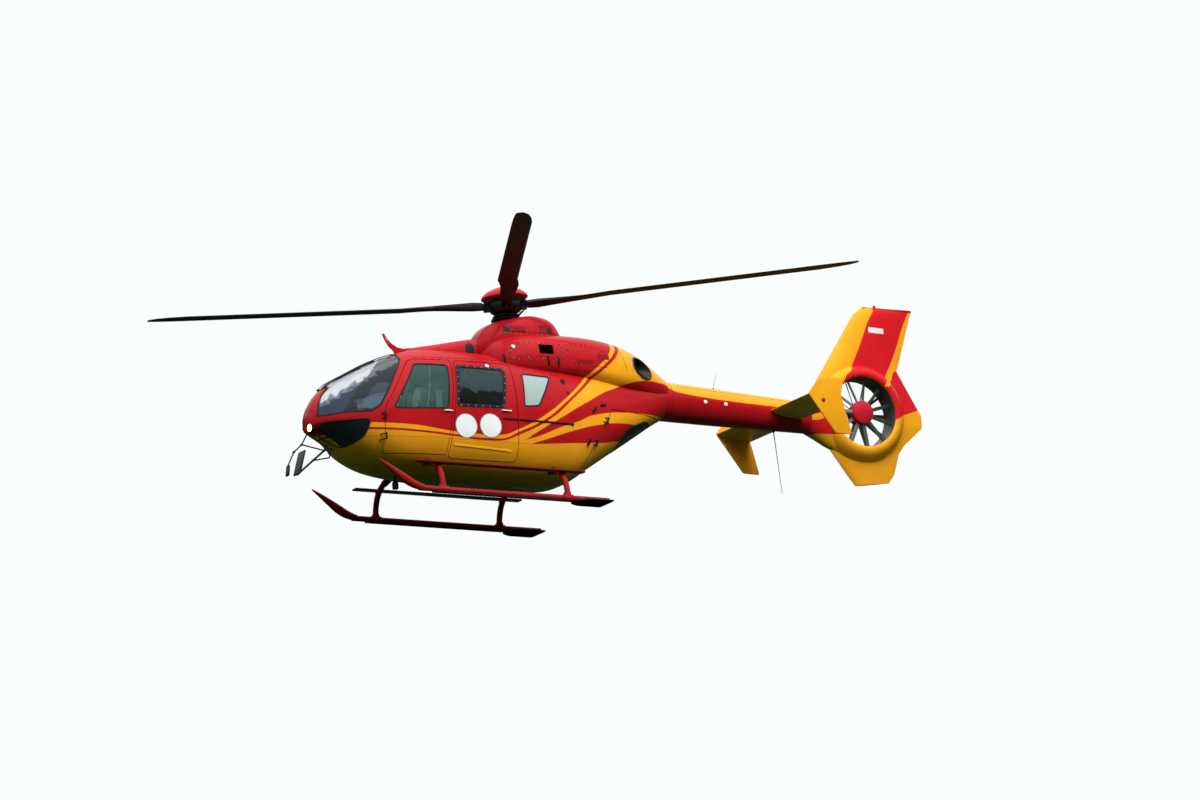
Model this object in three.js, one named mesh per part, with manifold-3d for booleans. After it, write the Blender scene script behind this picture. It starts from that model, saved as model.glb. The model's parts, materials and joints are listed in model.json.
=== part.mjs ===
// A light twin-engine rescue helicopter on skids, with a four-blade main rotor and a ducted tail fan.
//
// Frame: millimetres, +X forward, +Y to the left (port) side, +Z up, floor at Z = 0.
// Every piece is drawn from the point on the floor below the rotor head. The whole aircraft then stands in
// a group moved forward by MAST_X, so that the middle of its outer box is over the origin.

import * as THREE from "three";
import { mergeVertices } from "three/addons/utils/BufferGeometryUtils.js";
import Module from "manifold-3d";

const wasm = await Module();
wasm.setup();

// Driving dimensions, in millimetres and degrees.
const MAST_X = 1109; // mast ahead of the middle of the outer box
const SKIN = 28; // thickness of the cabin wall and of every door
const GAP = 0.3; // between pieces that rest on each other
const DOOR_GAP = 10; // round each door
const GLASS = 6; // thickness of a pane
const GLASS_SET = 5; // pane below the outer skin
const RING = { outside: 20, inside: 12 }; // points round a body section
const FAR = 4000; // reach of a cutter past the body

const HUB_Z = 3060; // height of the blade roots
const MAST_TILT = 2.8; // degrees forward
const BLADE_CONE = 2.5; // degrees up
const BLADE_ANGLE = -25; // first blade, degrees from straight ahead
const BLADES = 4;
const BLADE_CHORD = 289;
const SWASH = { bore: 70, outer: 165, low: -200, split: -168, high: -140, gap: 5 }; // heights from the hub

// Tail duct: its middle, the radius of its bore and of its outside, and half its width.
const DUCT = { x: -5770, z: 1860, radius: 505, outer: 740, lip: 192, sides: 32 };
const FAN = { blades: 10, hub: 150, tip: 492, y: -75, half: 42 };
const STATOR = { vanes: 11, hub: 172, y: 75, half: 30 };
const BOOM_WALL = 14;
const TAIL_WALL = 12;

const SKID_Y = 1000; // half the track
const SHOE = 14; // thickness of the wear shoe under a skid
const SKID_Z = 54; // height of a skid's middle line
const CROSS = { front: 1730, rear: -280, r: 42 };
// Half of a cross tube, [y, z] from the skid to the middle: it goes into the belly and runs under the floor.
const CROSS_PATH = [
  [SKID_Y, SKID_Z + 10],
  [992, 190],
  [940, 330],
  [860, 430],
  [770, 487],
  [640, 530],
  [420, 548],
  [0, 548],
];
const TUBE_GAP = 0.5; // round a tube with flat sides
const BELLY_Z = 388;

// Colours of the finishes.
const COLOURS = {
  paint_red: 0xd3141c,
  paint_yellow: 0xf0a51c,
  paint_black: 0x17181b,
  gear_red: 0xb5121a,
  blade_grey: 0x2b2c33,
  glass_clear: 0x6f8f96,
  glass_dark: 0x11161a,
  metal_dark: 0x3a3d40,
  engine_cast: 0x6a6c6e,
  metal_bare: 0x9a9da0,
  exhaust_steel: 0x4b4a4d,
  seat_fabric: 0x2c2f33,
  trim_grey: 0x5c6166,
  lamp_clear: 0xfff2c0,
};
const METAL = new Set(["metal_dark", "engine_cast", "metal_bare", "exhaust_steel"]);

// Sections of the body. x: station, low and high: bottom and top, half: half width,
// wide: height of the widest point, n_low and n_high: squareness below and above it (2 is an ellipse).
const BODY_COLUMNS = ["x", "low", "high", "half", "wide", "n_low", "n_high"];
const POD = [
  [3340, 1015, 1220, 70, 1100, 1.9, 2.0],
  [3260, 966, 1404, 240, 1100, 1.4, 2.0],
  [3140, 902, 1563, 385, 1110, 1.4, 2.0],
  [2940, 790, 1745, 505, 1120, 1.5, 2.0],
  [2700, 630, 1880, 615, 1130, 2.0, 2.05],
  [2350, 512, 2060, 695, 1140, 2.5, 2.15],
  [1950, 452, 2210, 748, 1150, 2.7, 2.3],
  [1500, 417, 2290, 776, 1160, 2.8, 2.4],
  [900, 395, 2300, 785, 1180, 2.8, 2.5],
  [300, 388, 2270, 785, 1200, 2.8, 2.5],
  [-300, 395, 2230, 770, 1220, 2.8, 2.5],
  [-700, 458, 2190, 725, 1260, 2.8, 2.5],
  [-1100, 705, 2165, 655, 1330, 2.6, 2.5],
  [-1500, 960, 2150, 565, 1450, 2.4, 2.4],
  [-1900, 1215, 2135, 465, 1600, 2.3, 2.2],
  [-2200, 1405, 2125, 370, 1720, 2.2, 2.1],
  [-2450, 1550, 2115, 285, 1830, 2.0, 2.0],
];
const BOOM = [
  [-2450, 1545, 2115, 285, 1830, 2.0, 2.0],
  [-3200, 1530, 2070, 262, 1800, 2.0, 2.0],
  [-4000, 1520, 2020, 240, 1770, 2.0, 2.0],
  [-4850, 1512, 1970, 215, 1745, 2.0, 2.0],
];
const COWLING = [
  [560, 1900, 2290, 250, 2100, 2.2, 2.4],
  [440, 1900, 2470, 470, 2120, 2.4, 2.4],
  [200, 1900, 2560, 570, 2140, 2.6, 2.5],
  [-200, 1900, 2610, 620, 2150, 2.8, 2.6],
  [-900, 1900, 2630, 630, 2150, 2.8, 2.6],
  [-1500, 1800, 2580, 590, 2080, 2.6, 2.5],
  [-1900, 1750, 2460, 510, 2040, 2.4, 2.3],
  [-2200, 1720, 2290, 400, 1990, 2.2, 2.1],
  [-2440, 1700, 2150, 290, 1930, 2.0, 2.0],
];
const FAIRING = [
  [570, 2250, 2450, 150, 2380, 2.4, 2.4],
  [500, 2250, 2600, 250, 2400, 2.6, 2.6],
  [400, 2250, 2710, 310, 2420, 3.0, 3.0],
  [250, 2250, 2785, 340, 2440, 3.2, 3.2],
  [-250, 2250, 2910, 340, 2460, 3.2, 3.2],
  [-460, 2250, 2910, 325, 2460, 3.0, 3.0],
  [-660, 2250, 2845, 285, 2450, 2.8, 2.8],
  [-800, 2250, 2665, 205, 2430, 2.4, 2.4],
];
const ROOF_FAIRING = [
  [1780, 2150, 2250, 60, 2200, 2.0, 2.0],
  [1600, 2150, 2330, 170, 2220, 2.2, 2.0],
  [1250, 2150, 2400, 250, 2240, 2.2, 2.2],
  [900, 2150, 2470, 300, 2260, 2.4, 2.4],
  [690, 2150, 2505, 322, 2285, 2.6, 2.6],
];

const { cos, sin, abs, sign, min, max, PI, hypot } = Math;

// A section table read at any station, along smooth curves through its rows.
function sectionAt(table, x) {
  const last = table.length - 1;
  const found = table.findIndex((row) => row[0] <= x);
  const k = max(1, found < 0 ? last : found);
  const [p0, p1, p2, p3] = [k - 2, k - 1, k, k + 1].map((i) => table[min(max(i, 0), last)]);
  const span = p2[0] - p1[0];
  const t = min(1, max(0, (x - p1[0]) / span));
  const out = { x };
  for (let c = 1; c < BODY_COLUMNS.length; c++) {
    const slope1 = p2 === p0 ? 0 : ((p2[c] - p0[c]) / (p2[0] - p0[0])) * span;
    const slope2 = p3 === p1 ? 0 : ((p3[c] - p1[c]) / (p3[0] - p1[0])) * span;
    const [a, b] = [p1[c], p2[c]];
    const left = (1 - t) ** 2 * (a * (1 + 2 * t) + slope1 * t);
    const right = t ** 2 * (b * (3 - 2 * t) - slope2 * (1 - t));
    out[BODY_COLUMNS[c]] = left + right;
  }
  return out;
}

// One closed ring of a section, smaller by inset all round.
function ringOf(s, inset = 0, count = inset > 11 ? RING.inside : RING.outside) {
  return Array.from({ length: count }, (_, i) => {
    const a = (2 * PI * i) / count;
    const upper = sin(a) >= 0;
    const n = 2 / (upper ? s.n_high : s.n_low);
    const rise = upper ? s.high - s.wide - inset : s.wide - s.low - inset;
    return new THREE.Vector3(
      s.x,
      (s.half - inset) * sign(cos(a)) * abs(cos(a)) ** n,
      s.wide + rise * sign(sin(a)) * abs(sin(a)) ** n,
    );
  });
}

// A closed solid through rings of equal count, each end closed by a fan.
function loft(rings) {
  const count = rings[0].length;
  const points = rings.flat();
  const faces = [];
  for (let r = 0; r + 1 < rings.length; r++)
    for (let i = 0; i < count; i++) {
      const [a, b] = [r * count + i, r * count + ((i + 1) % count)];
      const [c, d] = [a + count, b + count];
      const left = cos((2 * PI * (i + 0.5)) / count) > 0; // both sides are cut into mirrored triangles
      if (left) faces.push([a, b, d], [a, d, c]);
      else faces.push([a, b, c], [b, d, c]);
    }
  const ends = [
    [0, (i, j) => [j, i]],
    [rings.length - 1, (i, j) => [i, j]],
  ];
  for (const [r, order] of ends) {
    const middle = points.length;
    points.push(rings[r].reduce((sum, p) => sum.add(p), new THREE.Vector3()).divideScalar(count));
    for (let i = 0; i < count; i++) {
      const next = r * count + ((i + 1) % count);
      faces.push([...order(r * count + i, next), middle]);
    }
  }
  const g = new THREE.BufferGeometry();
  g.setAttribute("position", new THREE.Float32BufferAttribute(points.flatMap((p) => [p.x, p.y, p.z]), 3));
  g.setIndex(faces.flat());
  return solid(g);
}

// A body through every row of its table, smaller all round by inset, or larger where it is negative.
function body(table, inset = 0) {
  const stations = table.map((row) => row[0]);
  if (inset > 0) {
    stations[0] -= inset;
    while (stations[1] >= stations[0] - 1) stations.splice(1, 1);
  } else {
    stations[0] -= inset;
    stations[stations.length - 1] += inset;
  }
  return loft(stations.map((x) => ringOf({ ...sectionAt(table, x), x }, inset)));
}

// A three.js geometry as a manifold solid, turned right side out if it is inside out.
function solid(geometry) {
  const bare = geometry.clone();
  bare.deleteAttribute("normal");
  bare.deleteAttribute("uv");
  const merged = mergeVertices(bare, 1e-3);
  const triVerts = new Uint32Array(merged.index.array);
  const vertProperties = new Float32Array(merged.attributes.position.array);
  const make = () => new wasm.Manifold(new wasm.Mesh({ numProp: 3, vertProperties, triVerts }));
  const made = make();
  if (made.volume() >= 0) return made;
  for (let i = 0; i < triVerts.length; i += 3) {
    [triVerts[i + 1], triVerts[i + 2]] = [triVerts[i + 2], triVerts[i + 1]];
  }
  return make();
}

function geometryOf(made) {
  const mesh = made.getMesh();
  const g = new THREE.BufferGeometry();
  g.setAttribute("position", new THREE.BufferAttribute(new Float32Array(mesh.vertProperties), 3));
  g.setIndex(new THREE.BufferAttribute(new Uint32Array(mesh.triVerts), 1));
  return g;
}

const union = (...parts) => parts.reduce((sum, p) => sum.add(p));
const moved = (geometry, matrix) => solid(geometry.clone().applyMatrix4(matrix));
const block = (x0, x1, y0, y1, z0, z1) =>
  moved(
    new THREE.BoxGeometry(abs(x1 - x0), abs(y1 - y0), abs(z1 - z0)),
    new THREE.Matrix4().makeTranslation((x0 + x1) / 2, (y0 + y1) / 2, (z0 + z1) / 2),
  );

// The same solid on the other side of the aircraft.
function mirrored(made) {
  return solid(geometryOf(made).applyMatrix4(new THREE.Matrix4().makeScale(1, -1, 1)));
}

// A cylinder or cone between two points.
function rod(from, to, radius, sides = 8, radiusTo = radius) {
  const [a, b] = [new THREE.Vector3(...from), new THREE.Vector3(...to)];
  const along = b.clone().sub(a);
  const upright = new THREE.Vector3(0, 1, 0);
  const turn = new THREE.Quaternion().setFromUnitVectors(upright, along.clone().normalize());
  const middle = a.clone().add(b).multiplyScalar(0.5);
  const matrix = new THREE.Matrix4().compose(middle, turn, new THREE.Vector3(1, 1, 1));
  return moved(new THREE.CylinderGeometry(radiusTo, radius, along.length(), sides), matrix);
}

// A solid turned about +Z. The profile of [radius, height] points starts and ends on the axis, or closes.
function turned(profile, sides = 24) {
  const g = new THREE.LatheGeometry(profile.map(([r, h]) => new THREE.Vector2(r, h)), sides);
  return moved(g, new THREE.Matrix4().makeRotationX(PI / 2));
}

// The same, about the line along +Y through (x, z).
function turnedAcross(profile, x, z, sides = 36) {
  const g = new THREE.LatheGeometry(profile.map(([r, y]) => new THREE.Vector2(r, y)), sides);
  return moved(g, new THREE.Matrix4().makeTranslation(x, 0, z));
}

// A round tube along a smooth curve through points.
function tube(points, radius, steps, sides = 10) {
  const through = points.map((p) => new THREE.Vector3(...p));
  const curve = new THREE.CatmullRomCurve3(through, false, "centripetal");
  const corner = (i) => {
    const turn = (2 * PI * i) / sides;
    return new THREE.Vector2(radius * cos(turn), radius * sin(turn));
  };
  const shape = new THREE.Shape(Array.from({ length: sides }, (_, i) => corner(i)));
  return solid(new THREE.ExtrudeGeometry(shape, { steps, extrudePath: curve, bevelEnabled: false }));
}

// An outline of [x, z] points with its corners rounded by arcs.
function rounded(outline, radius, steps = 2) {
  const out = [];
  outline.forEach((p, i) => {
    const before = outline[(i + outline.length - 1) % outline.length];
    const after = outline[(i + 1) % outline.length];
    const unit = (q) => {
      const d = hypot(q[0] - p[0], q[1] - p[1]);
      return [(q[0] - p[0]) / d, (q[1] - p[1]) / d, d];
    };
    const [u, v] = [unit(before), unit(after)];
    const r = min(radius, u[2] / 2.2, v[2] / 2.2);
    for (let k = 0; k <= steps; k++) {
      const t = k / steps;
      const [a, b] = [(1 - t) ** 2 * r, t ** 2 * r];
      out.push([p[0] + u[0] * a + v[0] * b, p[1] + u[1] * a + v[1] * b]);
    }
  });
  return out;
}

// An outline grown by distance, or shrunk where it is negative.
function grown(outline, distance) {
  const area = outline.reduce((sum, p, i) => {
    const q = outline[(i + 1) % outline.length];
    return sum + p[0] * q[1] - q[0] * p[1];
  }, 0);
  const side = sign(area) * distance;
  return outline.map((p, i) => {
    const before = outline[(i + outline.length - 1) % outline.length];
    const after = outline[(i + 1) % outline.length];
    const normal = (a, b) => {
      const d = hypot(b[0] - a[0], b[1] - a[1]) || 1;
      return [(b[1] - a[1]) / d, -(b[0] - a[0]) / d];
    };
    const [n, m] = [normal(before, p), normal(p, after)];
    const share = side / max(0.3, 1 + n[0] * m[0] + n[1] * m[1]);
    return [p[0] + (n[0] + m[0]) * share, p[1] + (n[1] + m[1]) * share];
  });
}

// A prism of a side-view outline between two Y values.
function prism(outline, y0, y1) {
  const shape = new THREE.Shape(outline.map(([x, z]) => new THREE.Vector2(x, z)));
  const g = new THREE.ExtrudeGeometry(shape, { depth: abs(y1 - y0), bevelEnabled: false });
  const matrix = new THREE.Matrix4().makeTranslation(0, max(y0, y1), 0);
  return moved(g, matrix.multiply(new THREE.Matrix4().makeRotationX(PI / 2)));
}

// Points round an aerofoil, from its leading to its trailing edge and back, and the same smaller by inset.
const FOIL = [0, 0.03, 0.12, 0.3, 0.55, 0.8, 1];
// Thickness of a symmetric aerofoil along its chord: factors of the square root and of the powers 1 to 4.
const FOIL_CURVE = [1.4845, -0.63, -1.758, 1.4215, -0.48];
function foil(lead, trail, half, across, inset = 0, stations = FOIL) {
  const [a, b] = [new THREE.Vector3(...lead), new THREE.Vector3(...trail)];
  const along = b.clone().sub(a).normalize();
  a.addScaledVector(along, 2 * inset);
  b.addScaledVector(along, -4 * inset);
  const [c0, c1, c2, c3, c4] = FOIL_CURVE;
  const share = (t) => c0 * Math.sqrt(t) + c1 * t + c2 * t ** 2 + c3 * t ** 3 + c4 * t ** 4;
  const side = (t) => 2 * (half - inset) * share(t);
  const at = (t, s) => a.clone().lerp(b, t).addScaledVector(new THREE.Vector3(...across), s * side(t));
  const back = stations.slice(1).reverse();
  return [...stations.map((t) => at(t, 1)), ...back.map((t) => at(t, -1))];
}

const root = new THREE.Group();
const aircraft = new THREE.Group();
aircraft.position.x = MAST_X;
root.add(aircraft);

function finish(slot) {
  return new THREE.MeshStandardMaterial({
    name: slot,
    color: COLOURS[slot],
    roughness: slot.startsWith("glass") ? 0.08 : 0.4,
    metalness: METAL.has(slot) ? 0.8 : 0,
    transparent: slot.startsWith("glass"),
    opacity: slot.startsWith("glass") ? 0.4 : 1,
  });
}

function add(name, slot, made, parent = aircraft) {
  const mesh = new THREE.Mesh(geometryOf(made), finish(slot));
  mesh.name = name;
  parent.add(mesh);
}

function addPair(name, slot, left) {
  add(name + "_left", slot, left);
  add(name + "_right", slot, mirrored(left));
}

// Cabin: one skin cut into shell, doors and panes.

const podSkin = body(POD).subtract(body(POD, SKIN));
const podClear = body(POD, -GAP);
const paneSkin = body(POD, GLASS_SET).subtract(body(POD, GLASS_SET + GLASS));

// Side-view outlines, [x, z].
const WINDSCREEN = [
  [3263, 1190],
  [3123, 1182],
  [3005, 1206],
  [2640, 1216],
  [2580, 1238],
  [2500, 1295],
  [2452, 1345],
  [2375, 1475],
  [2290, 1610],
  [2170, 1810],
  [2010, 2050],
  [1930, 2500],
  [3110, 2500],
  [3110, 1570],
  [3150, 1523],
  [3222, 1376],
  [3263, 1223],
];
const CHIN_WINDOW = rounded(
  [
    [3240, 1075],
    [2635, 1100],
    [2700, 870],
    [2850, 765],
    [3190, 945],
  ],
  60,
);
const PILOT_DOOR = rounded(
  [
    [2430, 640],
    [2430, 1260],
    [2060, 1850],
    [1900, 2060],
    [1000, 2060],
    [1000, 640],
  ],
  90,
);
const PILOT_WINDOW = rounded(
  [
    [2290, 1270],
    [1850, 1975],
    [1350, 1970],
    [1445, 1300],
  ],
  60,
);
const SLIDING_DOOR = rounded(
  [
    [1450, 600],
    [1236, 2060],
    [330, 2060],
    [330, 600],
  ],
  90,
);
const SLIDING_WINDOW = rounded(
  [
    [1305, 1345],
    [1215, 1975],
    [440, 1970],
    [545, 1360],
  ],
  60,
);
const SIDE_WINDOW = rounded(
  [
    [215, 1408],
    [170, 1910],
    [-290, 1893],
    [-30, 1432],
  ],
  50,
);
const CLAM_TOP = [-1300, 1500]; // the clamshell doors' front edge, upper end
const CLAM_LOW = [-721, 500]; // and lower end
const CLAMSHELL = [CLAM_TOP, CLAM_LOW, [-721, 300], [-2700, 300], [-2700, 1500]];
const CLAMSHELL_WINDOW = rounded(
  [
    [-1480, 1000],
    [-1640, 1260],
    [-1960, 1400],
    [-2120, 1400],
    [-1900, 1180],
    [-1640, 1000],
  ],
  50,
);
const POST = 35; // half width of the windscreen's middle post
const SHELL_JOIN = 1060; // height at which the cabin's upper and lower shells meet
const NOSE_STRIP = { half: 150, top: 1640 }; // painted strip between the windscreens
const HINGE = { x: 2440, y: 722, r: 12, heights: [850, 1150] }; // pilot door, upright
const SEAM = { reach: 1055, z: 1320, lean: 0.147 }; // rear edge of the pilot door, from its hinge
const CLAM_HINGE = { y: 672, r: 12, heights: [970, 1310] };

const half = (outline, clear = 0) => prism(outline, clear, FAR);
const seamCone = (clear) => {
  const at = (z) => SEAM.reach + clear + SEAM.lean * (z - SEAM.z);
  return rod([HINGE.x, HINGE.y, 0], [HINGE.x, HINGE.y, FAR], at(0), 48, at(FAR));
};
const noseStrip = (clear) => {
  const y = NOSE_STRIP.half + clear;
  return block(2600, 3700, -y, y, 0, NOSE_STRIP.top + clear);
};

const cuts = [
  half(WINDSCREEN, POST).subtract(noseStrip(0)),
  half(CHIN_WINDOW, NOSE_STRIP.half),
  half(PILOT_DOOR).intersect(seamCone(DOOR_GAP)),
  half(SLIDING_DOOR),
  half(SIDE_WINDOW),
  half(CLAMSHELL, -1),
];
let shell = podSkin;
for (const cut of cuts) shell = shell.subtract(cut).subtract(mirrored(cut));

// Panes, each GAP inside its opening.
const pane = (cutter) => paneSkin.intersect(cutter);
const shrunk = (outline) => grown(outline, -GAP);
addPair("windscreen", "glass_clear", pane(half(shrunk(WINDSCREEN), POST + GAP)).subtract(noseStrip(GAP)));
addPair("chin_window", "glass_dark", pane(half(shrunk(CHIN_WINDOW), NOSE_STRIP.half + GAP)));
addPair("side_window", "glass_clear", pane(half(shrunk(SIDE_WINDOW))));
addPair("pilot_door_glass", "glass_clear", pane(half(shrunk(PILOT_WINDOW))));
addPair("sliding_door_glass", "glass_clear", pane(half(shrunk(SLIDING_WINDOW))));
addPair("clamshell_glass", "glass_dark", pane(half(shrunk(CLAMSHELL_WINDOW), 60 + GAP)));

// The fixed and the swinging half of a row of hinges on an axis: knuckles, an arm to each, and the pad that
// the fixed ones share.
const KNUCKLE = { half: 22, fixed: 30, arm: 0.7 }; // half the door's, the length beside it, arm's share of r
const ARM_SUNK = 18; // depth of each arm in the skin
function hinges(at, axisStep, r, heights, padAt, doorAt) {
  const knuckle = KNUCKLE.half;
  const armR = r * KNUCKLE.arm;
  const fixed = [];
  const swinging = [];
  for (const z of heights) {
    const p = (offset) => at(z + offset * axisStep);
    swinging.push(rod(p(-knuckle), p(knuckle), r, 6), rod(p(0), doorAt(z), armR, 4));
    for (const s of [-1, 1]) {
      const armOffset = s * (knuckle + KNUCKLE.fixed / 2);
      fixed.push(rod(p(s * (knuckle + GAP)), p(s * (knuckle + KNUCKLE.fixed)), r, 6));
      fixed.push(rod(p(armOffset), padAt(z + armOffset * axisStep), armR, 4));
    }
  }
  return { fixed: union(...fixed), swinging };
}
const skinY = (x, z) => {
  const s = sectionAt(POD, x);
  const upper = z > s.wide;
  const [rise, n] = upper ? [s.high - s.wide, s.n_high] : [s.wide - s.low, s.n_low];
  return s.half * (1 - min(1, abs(z - s.wide) / rise) ** n) ** (1 / n);
};

// Pilots' doors, hinged at their front edge.
const PILOT_PAD = HINGE.x + 50; // where the fixed arms enter the skin
const PILOT_ARM = HINGE.x - 60; // where the door's arm enters it
const pilotHinges = hinges(
  (z) => [HINGE.x, HINGE.y, z],
  1,
  HINGE.r,
  HINGE.heights,
  (z) => [PILOT_PAD, skinY(PILOT_PAD, z) - ARM_SUNK, z],
  (z) => [PILOT_ARM, skinY(PILOT_ARM, z) - ARM_SUNK, z],
);
const pilotDoor = podSkin
  .intersect(half(grown(PILOT_DOOR, -DOOR_GAP)))
  .intersect(seamCone(0))
  .subtract(half(PILOT_WINDOW));
addPair("pilot_door", "paint_red", union(pilotDoor, ...pilotHinges.swinging));

// Sliding doors, shut.
const slidingDoor = podSkin.intersect(half(grown(SLIDING_DOOR, -DOOR_GAP))).subtract(half(SLIDING_WINDOW));
addPair("sliding_door", "paint_red", slidingDoor);

// Clamshell doors under the boom, hinged along their sloping front edge.
const clamSlope = (CLAM_LOW[0] - CLAM_TOP[0]) / (CLAM_TOP[1] - CLAM_LOW[1]);
const clamX = (z) => CLAM_TOP[0] + clamSlope * (CLAM_TOP[1] - z);
const clamAxis = (z) => [clamX(z) - DOOR_GAP / 2, CLAM_HINGE.y, z];
const CLAM_STEP = 0.865; // height gained per unit along the sloping axis
const CLAM_PAD = { x: 45, z: 28 }; // where the fixed arms enter the skin, from the axis
const CLAM_ARM = { x: -55, z: -30 }; // where the door's arm enters it
const clamHinges = hinges(
  clamAxis,
  CLAM_STEP,
  CLAM_HINGE.r,
  CLAM_HINGE.heights,
  (z) => [clamX(z) + CLAM_PAD.x, skinY(clamX(z) + CLAM_PAD.x, z) - ARM_SUNK, z + CLAM_PAD.z],
  (z) => {
    const x = clamX(z) + CLAM_ARM.x;
    return [x, skinY(x, z + CLAM_ARM.z) - ARM_SUNK, z + CLAM_ARM.z];
  },
);
const clamshell = podSkin
  .intersect(half(grown(CLAMSHELL, -DOOR_GAP), DOOR_GAP / 2))
  .subtract(half(CLAMSHELL_WINDOW, 60));
addPair("clamshell_door", "paint_yellow", union(clamshell, ...clamHinges.swinging));
const fixedHinges = union(pilotHinges.fixed, clamHinges.fixed);
const RAIL = { front: 318, rear: -570, low: 1188, high: 1214, proud: 14 }; // on which the sliding door runs
const railBand = prism(
  [
    [RAIL.rear, RAIL.low],
    [RAIL.front, RAIL.low],
    [RAIL.front, RAIL.high],
    [RAIL.rear, RAIL.high],
  ],
  0,
  FAR,
);
const rail = body(POD, -RAIL.proud).subtract(body(POD, 5)).intersect(railBand);
const crossTube = (x, clear = 0) => {
  const side = (s) => CROSS_PATH.map(([y, z]) => [x, s * y, z]);
  return tube([...side(1), ...side(-1).reverse().slice(1)], CROSS.r + clear, 28, 8);
};
let cabin = union(shell, fixedHinges, rail, mirrored(fixedHinges), mirrored(rail));
for (const x of [CROSS.front, CROSS.rear]) cabin = cabin.subtract(crossTube(x, TUBE_GAP));
add("cabin_shell_upper", "paint_red", cabin.subtract(block(-FAR, FAR, -FAR, FAR, 0, SHELL_JOIN + GAP)));
add("cabin_shell_lower", "paint_yellow", cabin.subtract(block(-FAR, FAR, -FAR, FAR, SHELL_JOIN, FAR)));

// Cowlings over the deck, with the exhaust pipes at their back.

const COWL_WALL = 22;
// Each exhaust pipe leaves through the side of the cowling and points back, outwards and a little down.
const EXHAUST = { from: [-1510, 215, 2315], to: [-2134, 655, 2075], r: 132, wall: 10, proud: 22 };
const mastHole = rod([-50, 0, 2000], [0, 0, 3100], 185, 12);
const cowlingClear = body(COWLING, -GAP);
const pipe = rod(EXHAUST.from, EXHAUST.to, EXHAUST.r, 12);
const alongPipe = (share) => EXHAUST.from.map((v, i) => v + (EXHAUST.to[i] - v) * share);
const pipeHole = rod(alongPipe(-0.05), alongPipe(1.2), EXHAUST.r + GAP, 12);
const pipeBore = rod(alongPipe(0.04), alongPipe(1.2), EXHAUST.r - EXHAUST.wall, 12);
const sideIntake = prism(
  rounded(
    [
      [-405, 2240],
      [-175, 2240],
      [-175, 2385],
      [-405, 2385],
    ],
    25,
  ),
  500,
  FAR,
);
let cowling = body(COWLING).subtract(body(COWLING, COWL_WALL)).subtract(podClear).subtract(mastHole);
for (const hole of [pipeHole, sideIntake]) cowling = cowling.subtract(hole).subtract(mirrored(hole));
add("engine_cowling", "paint_red", cowling);
const exhaust = pipe.intersect(body(COWLING, -EXHAUST.proud)).subtract(pipeBore).subtract(podClear);
addPair("exhaust", "exhaust_steel", exhaust);
const fairing = body(FAIRING).subtract(body(FAIRING, 18)).subtract(cowlingClear).subtract(podClear);
add("mast_fairing", "paint_red", fairing.subtract(mastHole));
const behindRoof = union(podClear, body(FAIRING, -GAP), cowlingClear);
add("roof_fairing", "paint_red", body(ROOF_FAIRING).subtract(behindRoof));

// Engines and gearbox, plain blocks on the deck.
const ENGINE = { rear: -1250, front: -450, inner: 90, outer: 390, low: 1900, high: 2490 };
const engine = block(ENGINE.rear, ENGINE.front, ENGINE.inner, ENGINE.outer, ENGINE.low, ENGINE.high);
addPair("engine", "engine_cast", engine.subtract(podClear));
const MAST_FOOT = -740; // lower end of the mast, from the hub
const HUB = { low: -120, r: 235, top: 80 }; // heights from the blade roots
const CAP = { boss: 110, r: 335, rim: 118, top: 280 };
const tower = turned(
  [
    [0, -1000],
    [165, -1000],
    [165, -520],
    [110, -480],
    [110, SWASH.low - GAP],
    [SWASH.bore, SWASH.low - GAP],
    [SWASH.bore, MAST_FOOT - GAP],
    [0, MAST_FOOT - GAP],
  ],
  16,
);

// Rotor, in a frame whose +Z is the mast.

const rotor = new THREE.Group();
rotor.position.set(0, 0, HUB_Z);
rotor.rotation.y = THREE.MathUtils.degToRad(MAST_TILT);
aircraft.add(rotor);
rotor.updateMatrix();
add("gearbox", "engine_cast", moved(geometryOf(tower), rotor.matrix).subtract(podClear));
const ringOfRevolution = (inner, outer, low, high) => turned(
  [
    [inner, low],
    [outer, low],
    [outer, high],
    [inner, high],
    [inner, low],
  ],
  20,
);
add("swashplate", "metal_bare", ringOfRevolution(SWASH.bore, SWASH.outer, SWASH.low, SWASH.split), rotor);
const hub = turned(
  [
    [0, MAST_FOOT],
    [58, MAST_FOOT],
    [58, HUB.low],
    [HUB.r - 35, HUB.low + 25],
    [HUB.r, HUB.low + 80],
    [HUB.r, HUB.top - 35],
    [HUB.r - 45, HUB.top - 5],
    [0, HUB.top],
  ],
  20,
);
const ROOT_R = 330; // where a blade meets its arm of the hub
const coning = THREE.MathUtils.degToRad(BLADE_CONE);
const arms = [];
const links = [];
for (let i = 0; i < BLADES; i++) {
  const a = THREE.MathUtils.degToRad(BLADE_ANGLE + (360 / BLADES) * i);
  const out = (r, side, z) => [r * cos(a) - side * sin(a), r * sin(a) + side * cos(a), z];
  const onCone = (r) => out(r * cos(coning), 0, r * sin(coning));
  arms.push(rod(onCone(150), onCone(ROOT_R - GAP), 52, 8));
  const horn = out(300, 130, -30);
  links.push(rod(out(140, 120, SWASH.high - 12), horn, 11, 6), rod(horn, out(300, 20, -5), 14, 6));
}
const rotatingRing = ringOfRevolution(50, SWASH.outer + 30, SWASH.split + SWASH.gap, SWASH.high);
add("rotor_hub", "metal_dark", union(hub, ...arms, ...links, rotatingRing), rotor);
add("rotor_cap", "paint_red", turned(
  [
    [0, HUB.top + GAP],
    [CAP.boss, HUB.top + GAP],
    [CAP.boss + 30, CAP.rim - 12],
    [CAP.r - 20, CAP.rim - 16],
    [CAP.r, CAP.rim],
    [CAP.r - 25, CAP.rim + 45],
    [CAP.r - 95, CAP.top - 60],
    [CAP.r - 190, CAP.top - 18],
    [70, CAP.top - 4],
    [0, CAP.top],
  ],
  20,
), rotor);

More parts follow.
